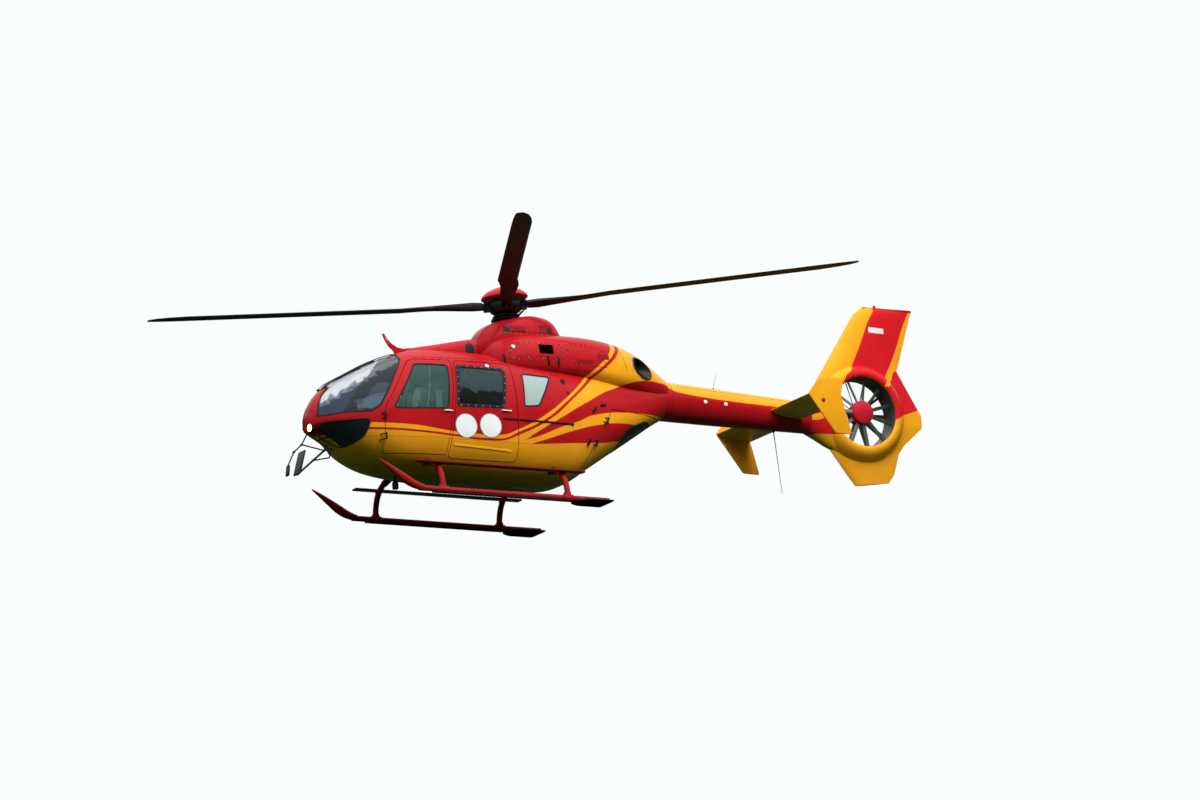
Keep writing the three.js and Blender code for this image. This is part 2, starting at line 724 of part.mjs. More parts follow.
// A blade along +X. r: station, chord, half: half thickness, sweep: leading edge moved back.
const BLADE_COLUMNS = ["r", "chord", "half", "sweep"];
const BLADE = [
  [ROOT_R, 160, 58, 0],
  [480, 240, 62, 0],
  [800, 225, 46, 0],
  [1150, 265, 26, 0],
  [1500, BLADE_CHORD, 17, 0],
  [4550, BLADE_CHORD, 15, 0],
  [4800, 255, 12, 30],
  [4980, 200, 9, 75],
  [5100, 110, 6, 150],
].map((row) => Object.fromEntries(BLADE_COLUMNS.map((c, i) => [c, row[i]])));
for (let i = 0; i < BLADES; i++) {
  const rings = BLADE.map((s) => {
    const lead = s.r < 1500 ? s.chord * 0.45 : BLADE_CHORD * 0.28 - s.sweep;
    return foil([s.r, lead, 0], [s.r, lead - s.chord, 0], s.half, [0, 0, 1]);
  });
  const turn = new THREE.Matrix4().makeRotationZ(THREE.MathUtils.degToRad(BLADE_ANGLE + (360 / BLADES) * i));
  const raised = new THREE.Matrix4().makeRotationY(-coning);
  add(`blade_${i + 1}`, "blade_grey", moved(geometryOf(loft(rings)), turn.multiply(raised)), rotor);
}

// Tail boom, fin with its duct, fan and stator.

const BOOM_REAR = -4850;
const throughBoom = (row, i) => ringOf({ ...sectionAt(BOOM, row[0]), x: row[0] + (i ? -20 : 20) }, BOOM_WALL);
add("tail_boom", "paint_red", body(BOOM).subtract(loft(BOOM.map(throughBoom))));

// Fin sections. z: height, lead and trail: its edges, half: half thickness.
const FIN_COLUMNS = ["z", "lead", "trail", "half"];
const FIN = [
  [3445, -5900, -6745, 30],
  [3400, -5840, -6730, 42],
  [3330, -5757, -6706, 50],
  [2530, -5226, -6440, 90],
  [2250, -5040, -6600, 105],
  [1950, -4990, -6775, 110],
  [1890, -4980, -6812, 110],
  [1710, -4980, -6812, 105],
  [1440, -5060, -6500, 85],
  [1300, -5240, -6395, 46],
  [960, -5490, -6292, 36],
  [740, -5670, -6240, 30],
].map((row) => Object.fromEntries(FIN_COLUMNS.map((c, i) => [c, row[i]])));
const TAIL_CONE = [
  [BOOM_REAR - GAP, 1512, 1970, 215, 1745, 2.0, 2.0],
  [-5000, 1430, 2080, 200, 1750, 2.0, 2.0],
  [-5200, 1320, 2200, 175, 1760, 2.0, 2.0],
  [-5450, 1230, 2300, 140, 1770, 2.0, 2.0],
];
const ringProfile = (inset) => {
  const [r0, r1, y] = [DUCT.radius + inset, DUCT.outer - inset, DUCT.lip - inset];
  const lips = [
    [r0, y - 40],
    [r0 + 60, y],
    [r1 - 28, y - 80],
    [r1, 0],
  ];
  const side = inset ? lips.slice(1) : lips.toSpliced(1, 0, [r0 + 20, y - 10]);
  const back = side.slice(0, -1).reverse();
  return [...side.map(([r, h]) => [r, -h]), ...back, side[0].map((v, i) => (i ? -v : v))];
};
function finBody(inset) {
  const rings = FIN.map((s) => {
    const z = s.z > 3300 ? s.z - inset : s.z;
    return foil([s.lead, 0, z], [s.trail, 0, z], s.half, [0, 1, 0], inset);
  });
  const sides = inset ? DUCT.sides / 2 : DUCT.sides;
  return union(loft(rings), turnedAcross(ringProfile(inset), DUCT.x, DUCT.z, sides));
}
const cone = loft(TAIL_CONE.map((row) => ringOf(sectionAt(TAIL_CONE, row[0]))));
const throughCone = (row, i) => {
  const section = sectionAt(TAIL_CONE, row[0]);
  return ringOf({ ...section, x: row[0] + (i ? 0 : 30) }, TAIL_WALL);
};
const bore = (r) => rod([DUCT.x, -FAR, DUCT.z], [DUCT.x, FAR, DUCT.z], r, DUCT.sides);
const ventralCut = prism(
  [
    [-5500, 765],
    [-6200, 860],
    [-6300, 990],
    [-6800, 990],
    [-6800, 500],
    [-5500, 500],
  ],
  -200,
  200,
);
const front = block(BOOM_REAR - GAP, 0, -FAR, FAR, 0, FAR);
const solidBelow = block(-7000, -4000, -FAR, FAR, 0, 1000); // the ventral fin is too thin to be hollow
const finHollow = union(finBody(TAIL_WALL), loft(TAIL_CONE.map(throughCone)))
  .subtract(bore(DUCT.radius + TAIL_WALL))
  .subtract(solidBelow);
const finOuter = union(finBody(0), cone).subtract(bore(DUCT.radius)).subtract(ventralCut).subtract(front);
const beacon = rod([-6130, 0, 3400], [-6130, 0, 3498], 24, 8);
add("fin_shroud", "paint_red", union(finOuter.subtract(finHollow), beacon));

// A ring of blades or vanes from a hub to the duct, as foils standing across it.
function spokes(count, from, to, chord, thick, y, turn, skip = -1) {
  const [side, up] = [sin(turn), cos(turn)];
  const rings = [from, to].map((r) => {
    const lead = [r, (-chord / 2) * side, (chord / 2) * up];
    const trail = [r, (chord / 2) * side, (-chord / 2) * up];
    return foil(lead, trail, thick, [0, up, side], 0, [0, 0.3, 1]);
  });
  const spoke = geometryOf(loft(rings));
  return Array.from({ length: count }, (_, i) => i)
    .filter((i) => i !== skip)
    .map((i) => {
      const at = new THREE.Matrix4().makeTranslation(DUCT.x, y, DUCT.z);
      return moved(spoke, at.multiply(new THREE.Matrix4().makeRotationY((2 * PI * i) / count)));
    });
}
const fanHub = turnedAcross(
  [
    [0, FAN.y - 75],
    [90, FAN.y - 65],
    [FAN.hub, FAN.y - 20],
    [FAN.hub, FAN.y + FAN.half],
    [0, FAN.y + FAN.half],
  ],
  DUCT.x,
  DUCT.z,
  16,
);
add("tail_fan", "metal_dark", union(fanHub, ...spokes(FAN.blades, FAN.hub - 20, FAN.tip, 66, 5, FAN.y, 0.9)));
const statorHub = turnedAcross(
  [
    [0, FAN.y + FAN.half + GAP],
    [45, FAN.y + FAN.half + GAP],
    [45, FAN.y + FAN.half + 8],
    [STATOR.hub - 20, FAN.y + FAN.half + 8],
    [STATOR.hub, FAN.y + FAN.half + 30],
    [STATOR.hub, STATOR.y + 40],
    [120, STATOR.y + 75],
    [0, STATOR.y + 85],
  ],
  DUCT.x,
  DUCT.z,
  16,
);
const shaft = rod([DUCT.x + DUCT.radius + 20, STATOR.y, DUCT.z], [DUCT.x + 100, STATOR.y, DUCT.z], 38, 12);
const vanes = spokes(STATOR.vanes, STATOR.hub - 20, DUCT.radius + 20, 56, 5, STATOR.y, 0.35, 0);
add("fan_stator", "paint_red", union(statorHub, shaft, ...vanes).intersect(bore(DUCT.radius - GAP)));

// Stabiliser and its end plates.
const STAB = { lead: [-4150, 1755], trail: [-4680, 1665], half: 30, y: 1318, plate: 24 }; // edges as [x, z]
const stabiliserRings = [150, STAB.y - GAP].map((y) => {
  const at = ([x, z]) => [x, y, z];
  return foil(at(STAB.lead), at(STAB.trail), STAB.half, [0, 0, 1]);
});
const END_PLATE = [
  [-4140, 1760],
  [-4320, 1990],
  [-4740, 2020],
  [-4680, 1770],
  [-4830, 1195],
  [-4560, 1200],
];
const endPlate = prism(END_PLATE, STAB.y - 1, STAB.y + STAB.plate);
addPair("stabiliser", "paint_yellow", union(loft(stabiliserRings).subtract(body(BOOM, -GAP)), endPlate));

// Landing gear: skids on two cross tubes, with steps, shoes and rear pads.

// Middle line of a skid: its tube turns up at the front into a flattened, pointed toe. x, height, radius.
const SKID = [
  [-940, SKID_Z, 40],
  [1850, SKID_Z, 40],
  [2050, 64, 46],
  [2200, 103, 58],
  [2330, 170, 62],
  [2450, 248, 50],
  [2590, 340, 32],
  [2740, 432, 9],
];
function skidTube(clear) {
  const sides = 10;
  const rings = SKID.map(([x, z, r], i) => {
    const [a, b] = [SKID[max(0, i - 1)], SKID[min(SKID.length - 1, i + 1)]];
    const length = hypot(b[0] - a[0], b[1] - a[1]);
    const up = [-(b[1] - a[1]) / length, (b[0] - a[0]) / length];
    return Array.from({ length: sides }, (_, k) => {
      const turn = (2 * PI * k) / sides;
      const rise = (r + clear) * sin(turn);
      return new THREE.Vector3(x + up[0] * rise, SKID_Y + (r + clear) * cos(turn), z + up[1] * rise);
    });
  });
  return loft(rings);
}
const shoe = block(-390, 1900, SKID_Y - 30, SKID_Y + 30, 0, SHOE + 8);
const PAD = [
  [-380, SKID_Y - 120],
  [-540, SKID_Y - 220],
  [-925, SKID_Y - 220],
  [-925, SKID_Y + 220],
  [-540, SKID_Y + 220],
  [-380, SKID_Y + 120],
];
const padShape = new THREE.Shape(PAD.map(([x, y]) => new THREE.Vector2(x, y)));
const pad = solid(new THREE.ExtrudeGeometry(padShape, { depth: SHOE + 4, bevelEnabled: false }));
addPair("skid", "gear_red", union(skidTube(0), shoe, pad));
for (const [name, x] of [["front", CROSS.front], ["rear", CROSS.rear]]) {
  const nearby = [skidTube(TUBE_GAP), mirrored(skidTube(TUBE_GAP))];
  add(`cross_tube_${name}`, "gear_red", nearby.reduce((tube, other) => tube.subtract(other), crossTube(x)));
}

// Boarding steps over the skids, on brackets from the cross tubes.
const STEP = { y: 930, width: 120, z: 446, thick: 28, front: 2100, rear: -600 };
const stepEdge = [STEP.y - STEP.width / 2, STEP.y + STEP.width / 2];
const stepBoard = block(STEP.rear, STEP.front, ...stepEdge, STEP.z, STEP.z + STEP.thick);
const STEP_FOOT = { half: 30, low: 372, into: 5 }; // the bracket under each end of a step
const bracket = (x) => block(
  x - STEP_FOOT.half,
  x + STEP_FOOT.half,
  STEP.y - STEP_FOOT.half,
  STEP.y,
  STEP_FOOT.low,
  STEP.z + STEP_FOOT.into,
);
let step = union(stepBoard, bracket(CROSS.front), bracket(CROSS.rear));
for (const x of [CROSS.front, CROSS.rear]) step = step.subtract(crossTube(x, TUBE_GAP));
addPair("boarding_step", "gear_red", step);

// Inside: floor, seats, panel and stretcher.

const room = body(POD, SKIN + GAP);
const FLOOR = { low: 600, high: 630, rear: -560, front: 2560 };
const floorSlab = block(FLOOR.rear, FLOOR.front, -FAR, FAR, FLOOR.low, FLOOR.high);
add("cabin_floor", "trim_grey", room.intersect(floorSlab));
// A seat: half lengths and half widths of the cushion, the back and the pedestal, and their heights.
const CUSHION = { x: 240, y: 230, low: 930, high: 1010 };
const BACK = { rear: 240, front: 150, y: 220, low: 1000, high: 1720 };
const PEDESTAL = { x: 180, y: 110, high: 940 };
const PILOT_SEAT = { x: 1760, y: 350, back: 1 };
const CABIN_SEAT = { x: 950, y: 350, back: -1 }; // faces the stretcher
const seat = ({ x, y, back }) => union(
  block(x - CUSHION.x, x + CUSHION.x, y - CUSHION.y, y + CUSHION.y, CUSHION.low, CUSHION.high),
  block(x - BACK.rear * back, x - BACK.front * back, y - BACK.y, y + BACK.y, BACK.low, BACK.high),
  block(x - PEDESTAL.x, x + PEDESTAL.x, y - PEDESTAL.y, y + PEDESTAL.y, FLOOR.high + GAP, PEDESTAL.high),
);
addPair("pilot_seat", "seat_fabric", seat(PILOT_SEAT));
add("cabin_seat", "seat_fabric", seat(CABIN_SEAT));
const DECK = { rear: -450, front: 1250, right: -560, left: -90, low: 900, high: 980 };
const DECK_BASE = { rear: -300, front: 1100, right: -480, left: -170, high: 910 };
const deck = block(DECK.rear, DECK.front, DECK.right, DECK.left, DECK.low, DECK.high);
const deckBase = block(
  DECK_BASE.rear,
  DECK_BASE.front,
  DECK_BASE.right,
  DECK_BASE.left,
  FLOOR.high + GAP,
  DECK_BASE.high,
);
add("stretcher", "seat_fabric", union(deck, deckBase));
const PANEL = { rear: 2480, front: 2860, y: 330, low: 1080, high: 1330 };
const CONSOLE = { rear: 2380, front: 2560, y: 110, high: 1100 };
const panelBox = block(PANEL.rear, PANEL.front, -PANEL.y, PANEL.y, PANEL.low, PANEL.high);
const consoleBox = block(CONSOLE.rear, CONSOLE.front, -CONSOLE.y, CONSOLE.y, FLOOR.high + GAP, CONSOLE.high);
add("instrument_panel", "paint_black", union(panelBox, consoleBox).intersect(room));

// Small outside pieces.

const NOSE_LAMP = { from: [3220, 70, 1052], to: [3338, 92, 1044], r: 62 }; // on the port side of the nose's tip
const noseLamp = rod(NOSE_LAMP.from, NOSE_LAMP.to, NOSE_LAMP.r, 16);
add("landing_light", "lamp_clear", noseLamp.subtract(podClear));
// The mirrors' frame lies in the middle plane. Its points are [x, z]. Pin and heel lie inside the nose.
const strut = (a, b, r = 10) => rod([a[0], 0, a[1]], [b[0], 0, b[1]], r, 6);
const MIRROR = {
  nose: [3305, 1010],
  joint: [3417, 816],
  elbow: [3550, 700],
  small: [3668, 470],
  low: [3060, 755],
  pin: [3000, 865],
  aft: [2985, 655],
  heel: [2930, 830],
  brace: [3250, 597],
  foot: [3510, 380],
};
const mirrorPlate = ([x, z], rise, lean, half) => prism(
  [
    [x + lean, z - rise],
    [x - lean, z + rise],
    [x - lean + 14, z + rise + 4],
    [x + lean + 14, z - rise + 4],
  ],
  -half,
  half,
);
const mirrorFrame = union(
  strut(MIRROR.nose, MIRROR.joint),
  strut(MIRROR.joint, MIRROR.low),
  strut(MIRROR.low, MIRROR.foot, 15),
  strut(MIRROR.low, MIRROR.pin, 12),
  strut(MIRROR.aft, MIRROR.brace),
  strut(MIRROR.aft, MIRROR.heel),
  strut(MIRROR.joint, MIRROR.elbow),
  strut(MIRROR.elbow, MIRROR.small),
  mirrorPlate([3460, 545], 175, 52, 100),
  mirrorPlate([3655, 420], 80, 12, 42),
);
add("mirror_frame", "metal_dark", mirrorFrame.subtract(podClear));
const WIRE_CUTTER = [
  [1400, 2200],
  [1400, 2330],
  [1700, 2345],
  [2000, 2530],
  [2030, 2515],
  [1860, 2320],
  [1830, 2200],
];
const CUTTER_HALF = 9; // half its thickness
const cutterBlade = prism(WIRE_CUTTER, -CUTTER_HALF, CUTTER_HALF);
add("wire_cutter", "paint_red", cutterBlade.subtract(podClear).subtract(body(ROOF_FAIRING, -GAP)));
const LAMP = { x: 1943, z: 262, r: 45 };
const lamp = turned(
  [
    [0, 0],
    [LAMP.r - 20, 12],
    [LAMP.r, 40],
    [LAMP.r, 110],
    [18, 130],
    [18, 230],
    [0, 230],
  ],
  12,
);
add("belly_lamp", "lamp_clear", lamp.translate(LAMP.x, 0, LAMP.z).subtract(podClear));
const WHIP = { top: [-4316, 0, 1540], tip: [-4403, 0, 592], r: 7, rTip: 4 };
const whip = rod(WHIP.top, WHIP.tip, WHIP.r, 6, WHIP.rTip);
add("antenna_low", "paint_black", whip.subtract(body(BOOM, -GAP)));
const HOOK_PLATE = { x: 120, y: 110, below: 24, above: 60 }; // half length, half width, from BELLY_Z
const hookPlate = block(
  -HOOK_PLATE.x,
  HOOK_PLATE.x,
  -HOOK_PLATE.y,
  HOOK_PLATE.y,
  BELLY_Z - HOOK_PLATE.below,
  BELLY_Z + HOOK_PLATE.above,
);
add("cargo_plate", "metal_bare", hookPlate.subtract(podClear));

export default root;
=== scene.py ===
# %% [markdown]
# # A light rescue helicopter, dressed around its measured frame
# The solids in the frame hold the real sizes, the joints and what carries what. This lesson builds the
# surfaces that are seen: curved skins with their doors, glass and rubber, the rotor, the ducted tail fan,
# the skids, and the paint with its sweeping stripes. Nothing in the frame is moved. Every new piece lies
# where the frame says, rides on the same body, and stands for the plain solid under it.

# %% The frame
import json
import math

import bmesh
import bpy
import numpy as np
from mathutils import Matrix, Vector


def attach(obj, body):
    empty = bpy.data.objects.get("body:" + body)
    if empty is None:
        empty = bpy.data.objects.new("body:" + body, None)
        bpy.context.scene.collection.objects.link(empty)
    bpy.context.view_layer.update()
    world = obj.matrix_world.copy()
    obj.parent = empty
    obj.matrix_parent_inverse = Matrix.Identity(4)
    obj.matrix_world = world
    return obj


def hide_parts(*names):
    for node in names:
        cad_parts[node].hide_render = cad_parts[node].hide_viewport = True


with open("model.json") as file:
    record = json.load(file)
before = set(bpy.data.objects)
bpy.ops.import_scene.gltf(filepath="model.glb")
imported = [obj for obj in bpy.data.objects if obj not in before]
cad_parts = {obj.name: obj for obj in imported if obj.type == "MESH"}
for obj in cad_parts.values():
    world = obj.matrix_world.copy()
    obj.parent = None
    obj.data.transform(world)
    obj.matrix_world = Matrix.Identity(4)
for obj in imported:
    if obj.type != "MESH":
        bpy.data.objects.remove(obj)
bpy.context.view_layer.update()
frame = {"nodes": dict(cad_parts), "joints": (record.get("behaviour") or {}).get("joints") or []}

# %% [markdown]
# The drawings of an aircraft are measured from a datum. Here it is the point on the floor below the rotor
# head, with X forward, Y to port and Z up, and the frame says where that point is. Each table below is in
# metres from it, and `make` adds the datum once, so that no other line has to.

# %% The datum and the joints
joints = {joint["name"]: joint for joint in frame["joints"]}
mast_x, _, hub_z = joints["main_rotor_spin"]["pos_m"]
datum = np.array([mast_x, 0.0, 0.0])
scene = bpy.context.scene
print("datum:", datum.round(3), "rotor head at", round(hub_z, 3))

# %% [markdown]
# The photograph was taken from the ground with a long lens, while the aircraft passed overhead. So the camera
# looks up at the port side from in front and below, and its frame leans a little. It stands far away, because
# a long lens keeps the tail as large as the nose. From there it would see only the underside of the floor, so
# the floor's paint further on lets it look through from below.

# %% Camera
VIEW = {"azimuth": 150.0, "elevation": -13.0, "roll": -3.2, "distance": 200.0, "width": 17.14}
AIM = (-1.472, 0.0, 1.786)
SENSOR = 36.0

camera_data = bpy.data.cameras.new("camera")
camera_data.sensor_width = SENSOR
camera_data.lens = SENSOR * VIEW["distance"] / VIEW["width"]
camera_data.clip_end = 2000
camera = bpy.data.objects.new("camera", camera_data)
scene.collection.objects.link(camera)
turn, lift = math.radians(VIEW["azimuth"]), math.radians(VIEW["elevation"])
away = Vector((math.sin(turn) * math.cos(lift), -math.cos(turn) * math.cos(lift), math.sin(lift)))
camera.location = Vector(AIM) + Vector(datum) + VIEW["distance"] * away
level = away.to_track_quat("Z", "Y").to_matrix()
camera.rotation_euler = (level @ Matrix.Rotation(math.radians(VIEW["roll"]), 3, "Z")).to_euler()
scene.camera = camera
print("camera at", [round(v, 2) for v in camera.location], "lens", round(camera_data.lens, 1), "mm")

# %% [markdown]
# The sky behind the aircraft is almost white, and the light is the even light of a high overcast: bright
# overhead and weak near the horizon. That is why the flanks are bright while the belly is almost black. What
# the gloss shows is the same sky above a dark rim of land, so the upper half of the windscreen is white and
# its lower half is dark. Three readings of one sky are mixed by the kind of ray: seen (also through glass),
# lighting, and reflected.

# %% Sky
SKY = (0.955, 0.985, 0.985)
LIGHTING = {"low": 0.0, "high": 0.65, "dark": 0.04, "bright": 0.80}
REFLECTED = {"low": 0.30, "high": 0.42, "dark": 0.03, "bright": 0.90}
scene.view_settings.view_transform = "Standard"
world = bpy.data.worlds.new("overcast")
scene.world = world
world.use_nodes = True
sky_nodes, sky_links = world.node_tree.nodes, world.node_tree.links
sky_nodes.clear()
sky_out = sky_nodes.new("ShaderNodeOutputWorld")
sky_seen, sky_lights, sky_shine = [sky_nodes.new("ShaderNodeBackground") for _ in range(3)]
seen_or_not, shine_or_not = [sky_nodes.new("ShaderNodeMixShader") for _ in range(2)]
sky_path = sky_nodes.new("ShaderNodeLightPath")
sky_place, sky_height = sky_nodes.new("ShaderNodeTexCoord"), sky_nodes.new("ShaderNodeSeparateXYZ")
sky_links.new(sky_place.outputs["Generated"], sky_height.inputs[0])
for background, bands in ((sky_lights, LIGHTING), (sky_shine, REFLECTED)):
    rise = sky_nodes.new("ShaderNodeMapRange")
    rise.interpolation_type = "SMOOTHSTEP"
    for socket, key in (("From Min", "low"), ("From Max", "high"), ("To Min", "dark"), ("To Max", "bright")):
        rise.inputs[socket].default_value = bands[key]
    sky_links.new(sky_height.outputs["Z"], rise.inputs["Value"])
    sky_links.new(rise.outputs[0], background.inputs["Strength"])
for background in (sky_seen, sky_lights, sky_shine):
    background.inputs["Color"].default_value = (*SKY, 1)
sky_in_view = sky_nodes.new("ShaderNodeMath")
sky_in_view.operation = "MAXIMUM"
for start, end in (
    (sky_path.outputs["Is Glossy Ray"], shine_or_not.inputs[0]),
    (sky_lights.outputs[0], shine_or_not.inputs[1]),
    (sky_shine.outputs[0], shine_or_not.inputs[2]),
    (sky_path.outputs["Is Camera Ray"], sky_in_view.inputs[0]),
    (sky_path.outputs["Is Transmission Ray"], sky_in_view.inputs[1]),
    (sky_in_view.outputs[0], seen_or_not.inputs[0]),
    (shine_or_not.outputs[0], seen_or_not.inputs[1]),
    (sky_seen.outputs[0], seen_or_not.inputs[2]),
    (seen_or_not.outputs[0], sky_out.inputs[0]),
):
    sky_links.new(start, end)
print("sky lights from", LIGHTING["dark"], "at the horizon to", LIGHTING["bright"], "overhead")

# %% [markdown]
# One wide soft light above and two high on the port side do most of the work, so the flanks are lit and the
# belly falls off into the dark. None of them shows in the gloss, which mirrors the sky alone. The floor is
# pale to the camera only: a floor that threw its light up would spoil the dark belly. Its paint is one-sided,
# so from below, where the photograph was taken, the camera looks through it at the aircraft.

# %% Lights and floor


def soft_light(name, place, size, power, target=(0.0, 0.0, 1.4)):
    data = bpy.data.lights.new(name, "AREA")
    data.shape = "RECTANGLE"
    data.size, data.size_y = size
    data.energy = power
    light = bpy.data.objects.new(name, data)
    light.location = place
    light.visible_glossy = False
    light.rotation_euler = (Vector(target) - Vector(place)).to_track_quat("-Z", "Y").to_euler()
    scene.collection.objects.link(light)
    return light


# Lights: name, place, the two sides of the panel, watts.
LIGHTS = [
    ("overhead", (1.0, 3.0, 14.0), (22.0, 14.0), 2000.0),
    ("front_port", (13.0, 12.0, 14.0), (9.0, 6.0), 200.0),
    ("port", (2.0, 19.0, 14.5), (18.0, 8.0), 4300.0),
]
for row in LIGHTS:
    soft_light(*row)

FLOOR_REACH, FLOOR_DROP = 900.0, 0.001
FLOOR_SEEN, FLOOR_BOUNCE, FLOOR_GLOW = (0.42, 0.44, 0.445), (0.020, 0.055, 0.030), 0.52
floor_mesh = bpy.data.meshes.new("floor")
floor_corners = [(-1, -1), (1, -1), (1, 1), (-1, 1)]
floor_points = [(x * FLOOR_REACH, y * FLOOR_REACH, -FLOOR_DROP) for x, y in floor_corners]
floor_mesh.from_pydata(floor_points, [], [(0, 1, 2, 3)])
floor = bpy.data.objects.new("floor", floor_mesh)
scene.collection.objects.link(floor)
floor_paint = bpy.data.materials.new("floor")
floor_paint.use_nodes = True
floor_nodes, floor_links = floor_paint.node_tree.nodes, floor_paint.node_tree.links
floor_colour, floor_path = floor_nodes.new("ShaderNodeMix"), floor_nodes.new("ShaderNodeLightPath")
floor_colour.data_type = "RGBA"
floor_colour.inputs[6].default_value = (*FLOOR_BOUNCE, 1)
floor_colour.inputs[7].default_value = (*FLOOR_SEEN, 1)
floor_shader = floor_nodes["Principled BSDF"]
for socket, value in (("Roughness", 1.0), ("Specular IOR Level", 0.0), ("Emission Color", (*SKY, 1))):
    floor_shader.inputs[socket].default_value = value
floor_glow = floor_nodes.new("ShaderNodeMath")
floor_glow.operation = "MULTIPLY"
floor_glow.inputs[1].default_value = FLOOR_GLOW
floor_side = floor_nodes.new("ShaderNodeNewGeometry")
floor_pane, floor_mix = floor_nodes.new("ShaderNodeBsdfTransparent"), floor_nodes.new("ShaderNodeMixShader")
for start, end in (
    (floor_path.outputs["Is Camera Ray"], floor_colour.inputs[0]),
    (floor_colour.outputs[2], floor_shader.inputs["Base Color"]),
    (floor_path.outputs["Is Camera Ray"], floor_glow.inputs[0]),
    (floor_glow.outputs[0], floor_shader.inputs["Emission Strength"]),
    (floor_side.outputs["Backfacing"], floor_mix.inputs[0]),
    (floor_shader.outputs[0], floor_mix.inputs[1]),
    (floor_pane.outputs[0], floor_mix.inputs[2]),
    (floor_mix.outputs[0], floor_nodes["Material Output"].inputs["Surface"]),
):
    floor_links.new(start, end)
floor_mesh.materials.append(floor_paint)
# %% [markdown]
# Every curved skin of the aircraft is a row of sections. A section is a superellipse: a half width, a
# bottom and a top, the height of its widest point, and how square it is below and above that. Between two
# rows the values run along smooth curves, so a few rows hold the whole shape, and any point of the skin,
# with its normal, can be worked out rather than searched for.

# %% Sections of a body
COLUMNS = ("x", "low", "high", "half", "wide", "n_low", "n_high")


def section(table, x):
    """The columns of a table at stations x, along smooth curves through its rows."""
    rows = np.array(table, float)[::-1]
    x = np.clip(np.atleast_1d(np.asarray(x, float)), rows[0, 0], rows[-1, 0])
    after = np.clip(np.searchsorted(rows[:, 0], x), 1, len(rows) - 1)
    p0, p1 = rows[np.maximum(after - 2, 0)], rows[after - 1]
    p2, p3 = rows[after], rows[np.minimum(after + 1, len(rows) - 1)]
    span = p2[:, :1] - p1[:, :1]
    t = (x[:, None] - p1[:, :1]) / span
    slope1 = (p2 - p0) / (p2[:, :1] - p0[:, :1]) * span
    slope2 = (p3 - p1) / (p3[:, :1] - p1[:, :1]) * span
    left = (1 - t) ** 2 * (p1 * (1 + 2 * t) + slope1 * t)
    right = t ** 2 * (p2 * (3 - 2 * t) - slope2 * (1 - t))
    values = left + right
    values[:, 0] = x
    return dict(zip(COLUMNS, values.T))


def side_y(table, x, z):
    """Half width of the skin at station x and height z."""
    s = section(table, x)
    upper = z > s["wide"]
    rise = np.where(upper, s["high"] - s["wide"], s["wide"] - s["low"])
    n = np.where(upper, s["n_high"], s["n_low"])
    share = np.clip(np.abs(z - s["wide"]) / rise, 0, 1)
    return s["half"] * (1 - share ** n) ** (1 / n)


def top_z(table, x, y):
    """Height of the skin above its widest point, at station x and distance y from the middle."""
    s = section(table, x)
    share = np.clip(np.abs(y) / s["half"], 0, 1)
    return s["wide"] + (s["high"] - s["wide"]) * (1 - share ** s["n_high"]) ** (1 / s["n_high"])


def skin_normals(table, points):
    """Outward directions of the skin at points that lie on it."""
    def level(p):
        s = section(table, p[:, 0])
        upper = p[:, 2] > s["wide"]
        rise = np.where(upper, s["high"] - s["wide"], s["wide"] - s["low"])
        n = np.where(upper, s["n_high"], s["n_low"])
        return np.abs(p[:, 1] / s["half"]) ** n + np.abs((p[:, 2] - s["wide"]) / rise) ** n
    step = 1e-3
    slopes = [level(points + step * axis) - level(points - step * axis) for axis in np.eye(3)]
    normal = np.stack(slopes, 1)
    return normal / np.maximum(np.linalg.norm(normal, axis=1, keepdims=True), 1e-12)


print("a section has", len(COLUMNS), "columns")

# %% [markdown]
# A ring of points round a section is spaced evenly by arc length. Even spacing keeps the faces of the loft
# square, which a smooth paint needs, because long thin faces show as streaks in the reflections.

# %% Rings, lofts and solids
def ring(s, inset=0.0, quarter=28):
    """Points round one section, inset all round, evenly spaced in each quarter."""
    angle = np.linspace(0, math.pi / 2, 240)
    out = []
    half = s["half"] - inset
    for n, rise in ((s["n_high"], s["high"] - s["wide"] - inset), (s["n_low"], s["low"] - s["wide"] + inset)):
        y = half * np.cos(angle) ** (2 / n)
        z = rise * np.sin(angle) ** (2 / n)
        y[-1] = 0
        run = np.concatenate([[0], np.cumsum(np.hypot(np.diff(y), np.diff(z)))])
        even = np.linspace(0, run[-1], quarter + 1)
        out.append(np.stack([np.interp(even, run, y), np.interp(even, run, z)], 1))
    upper, lower = out
    flip = np.array([-1, 1])
    loop = np.concatenate([upper[:-1], (upper * flip)[::-1][:-1], (lower * flip)[:-1], lower[::-1][:-1]])
    points = np.zeros((len(loop), 3))
    points[:, 0] = s["x"]
    points[:, 1] = loop[:, 0]
    points[:, 2] = loop[:, 1] + s["wide"]
    return points


def make(name, points, faces):
    """A mesh object from points that are measured from the datum."""
    mesh = bpy.data.meshes.new(name)
    mesh.from_pydata((np.asarray(points, float) + datum).tolist(), [], faces)
    mesh.update()
    obj = bpy.data.objects.new(name, mesh)
    scene.collection.objects.link(obj)
    return obj


def outward(obj):
    """Turns a closed mesh right side out."""
    bm = bmesh.new()
    bm.from_mesh(obj.data)
    if bm.calc_volume(signed=True) < 0:
        bmesh.ops.reverse_faces(bm, faces=bm.faces)
    bm.to_mesh(obj.data)
    bm.free()
    return obj


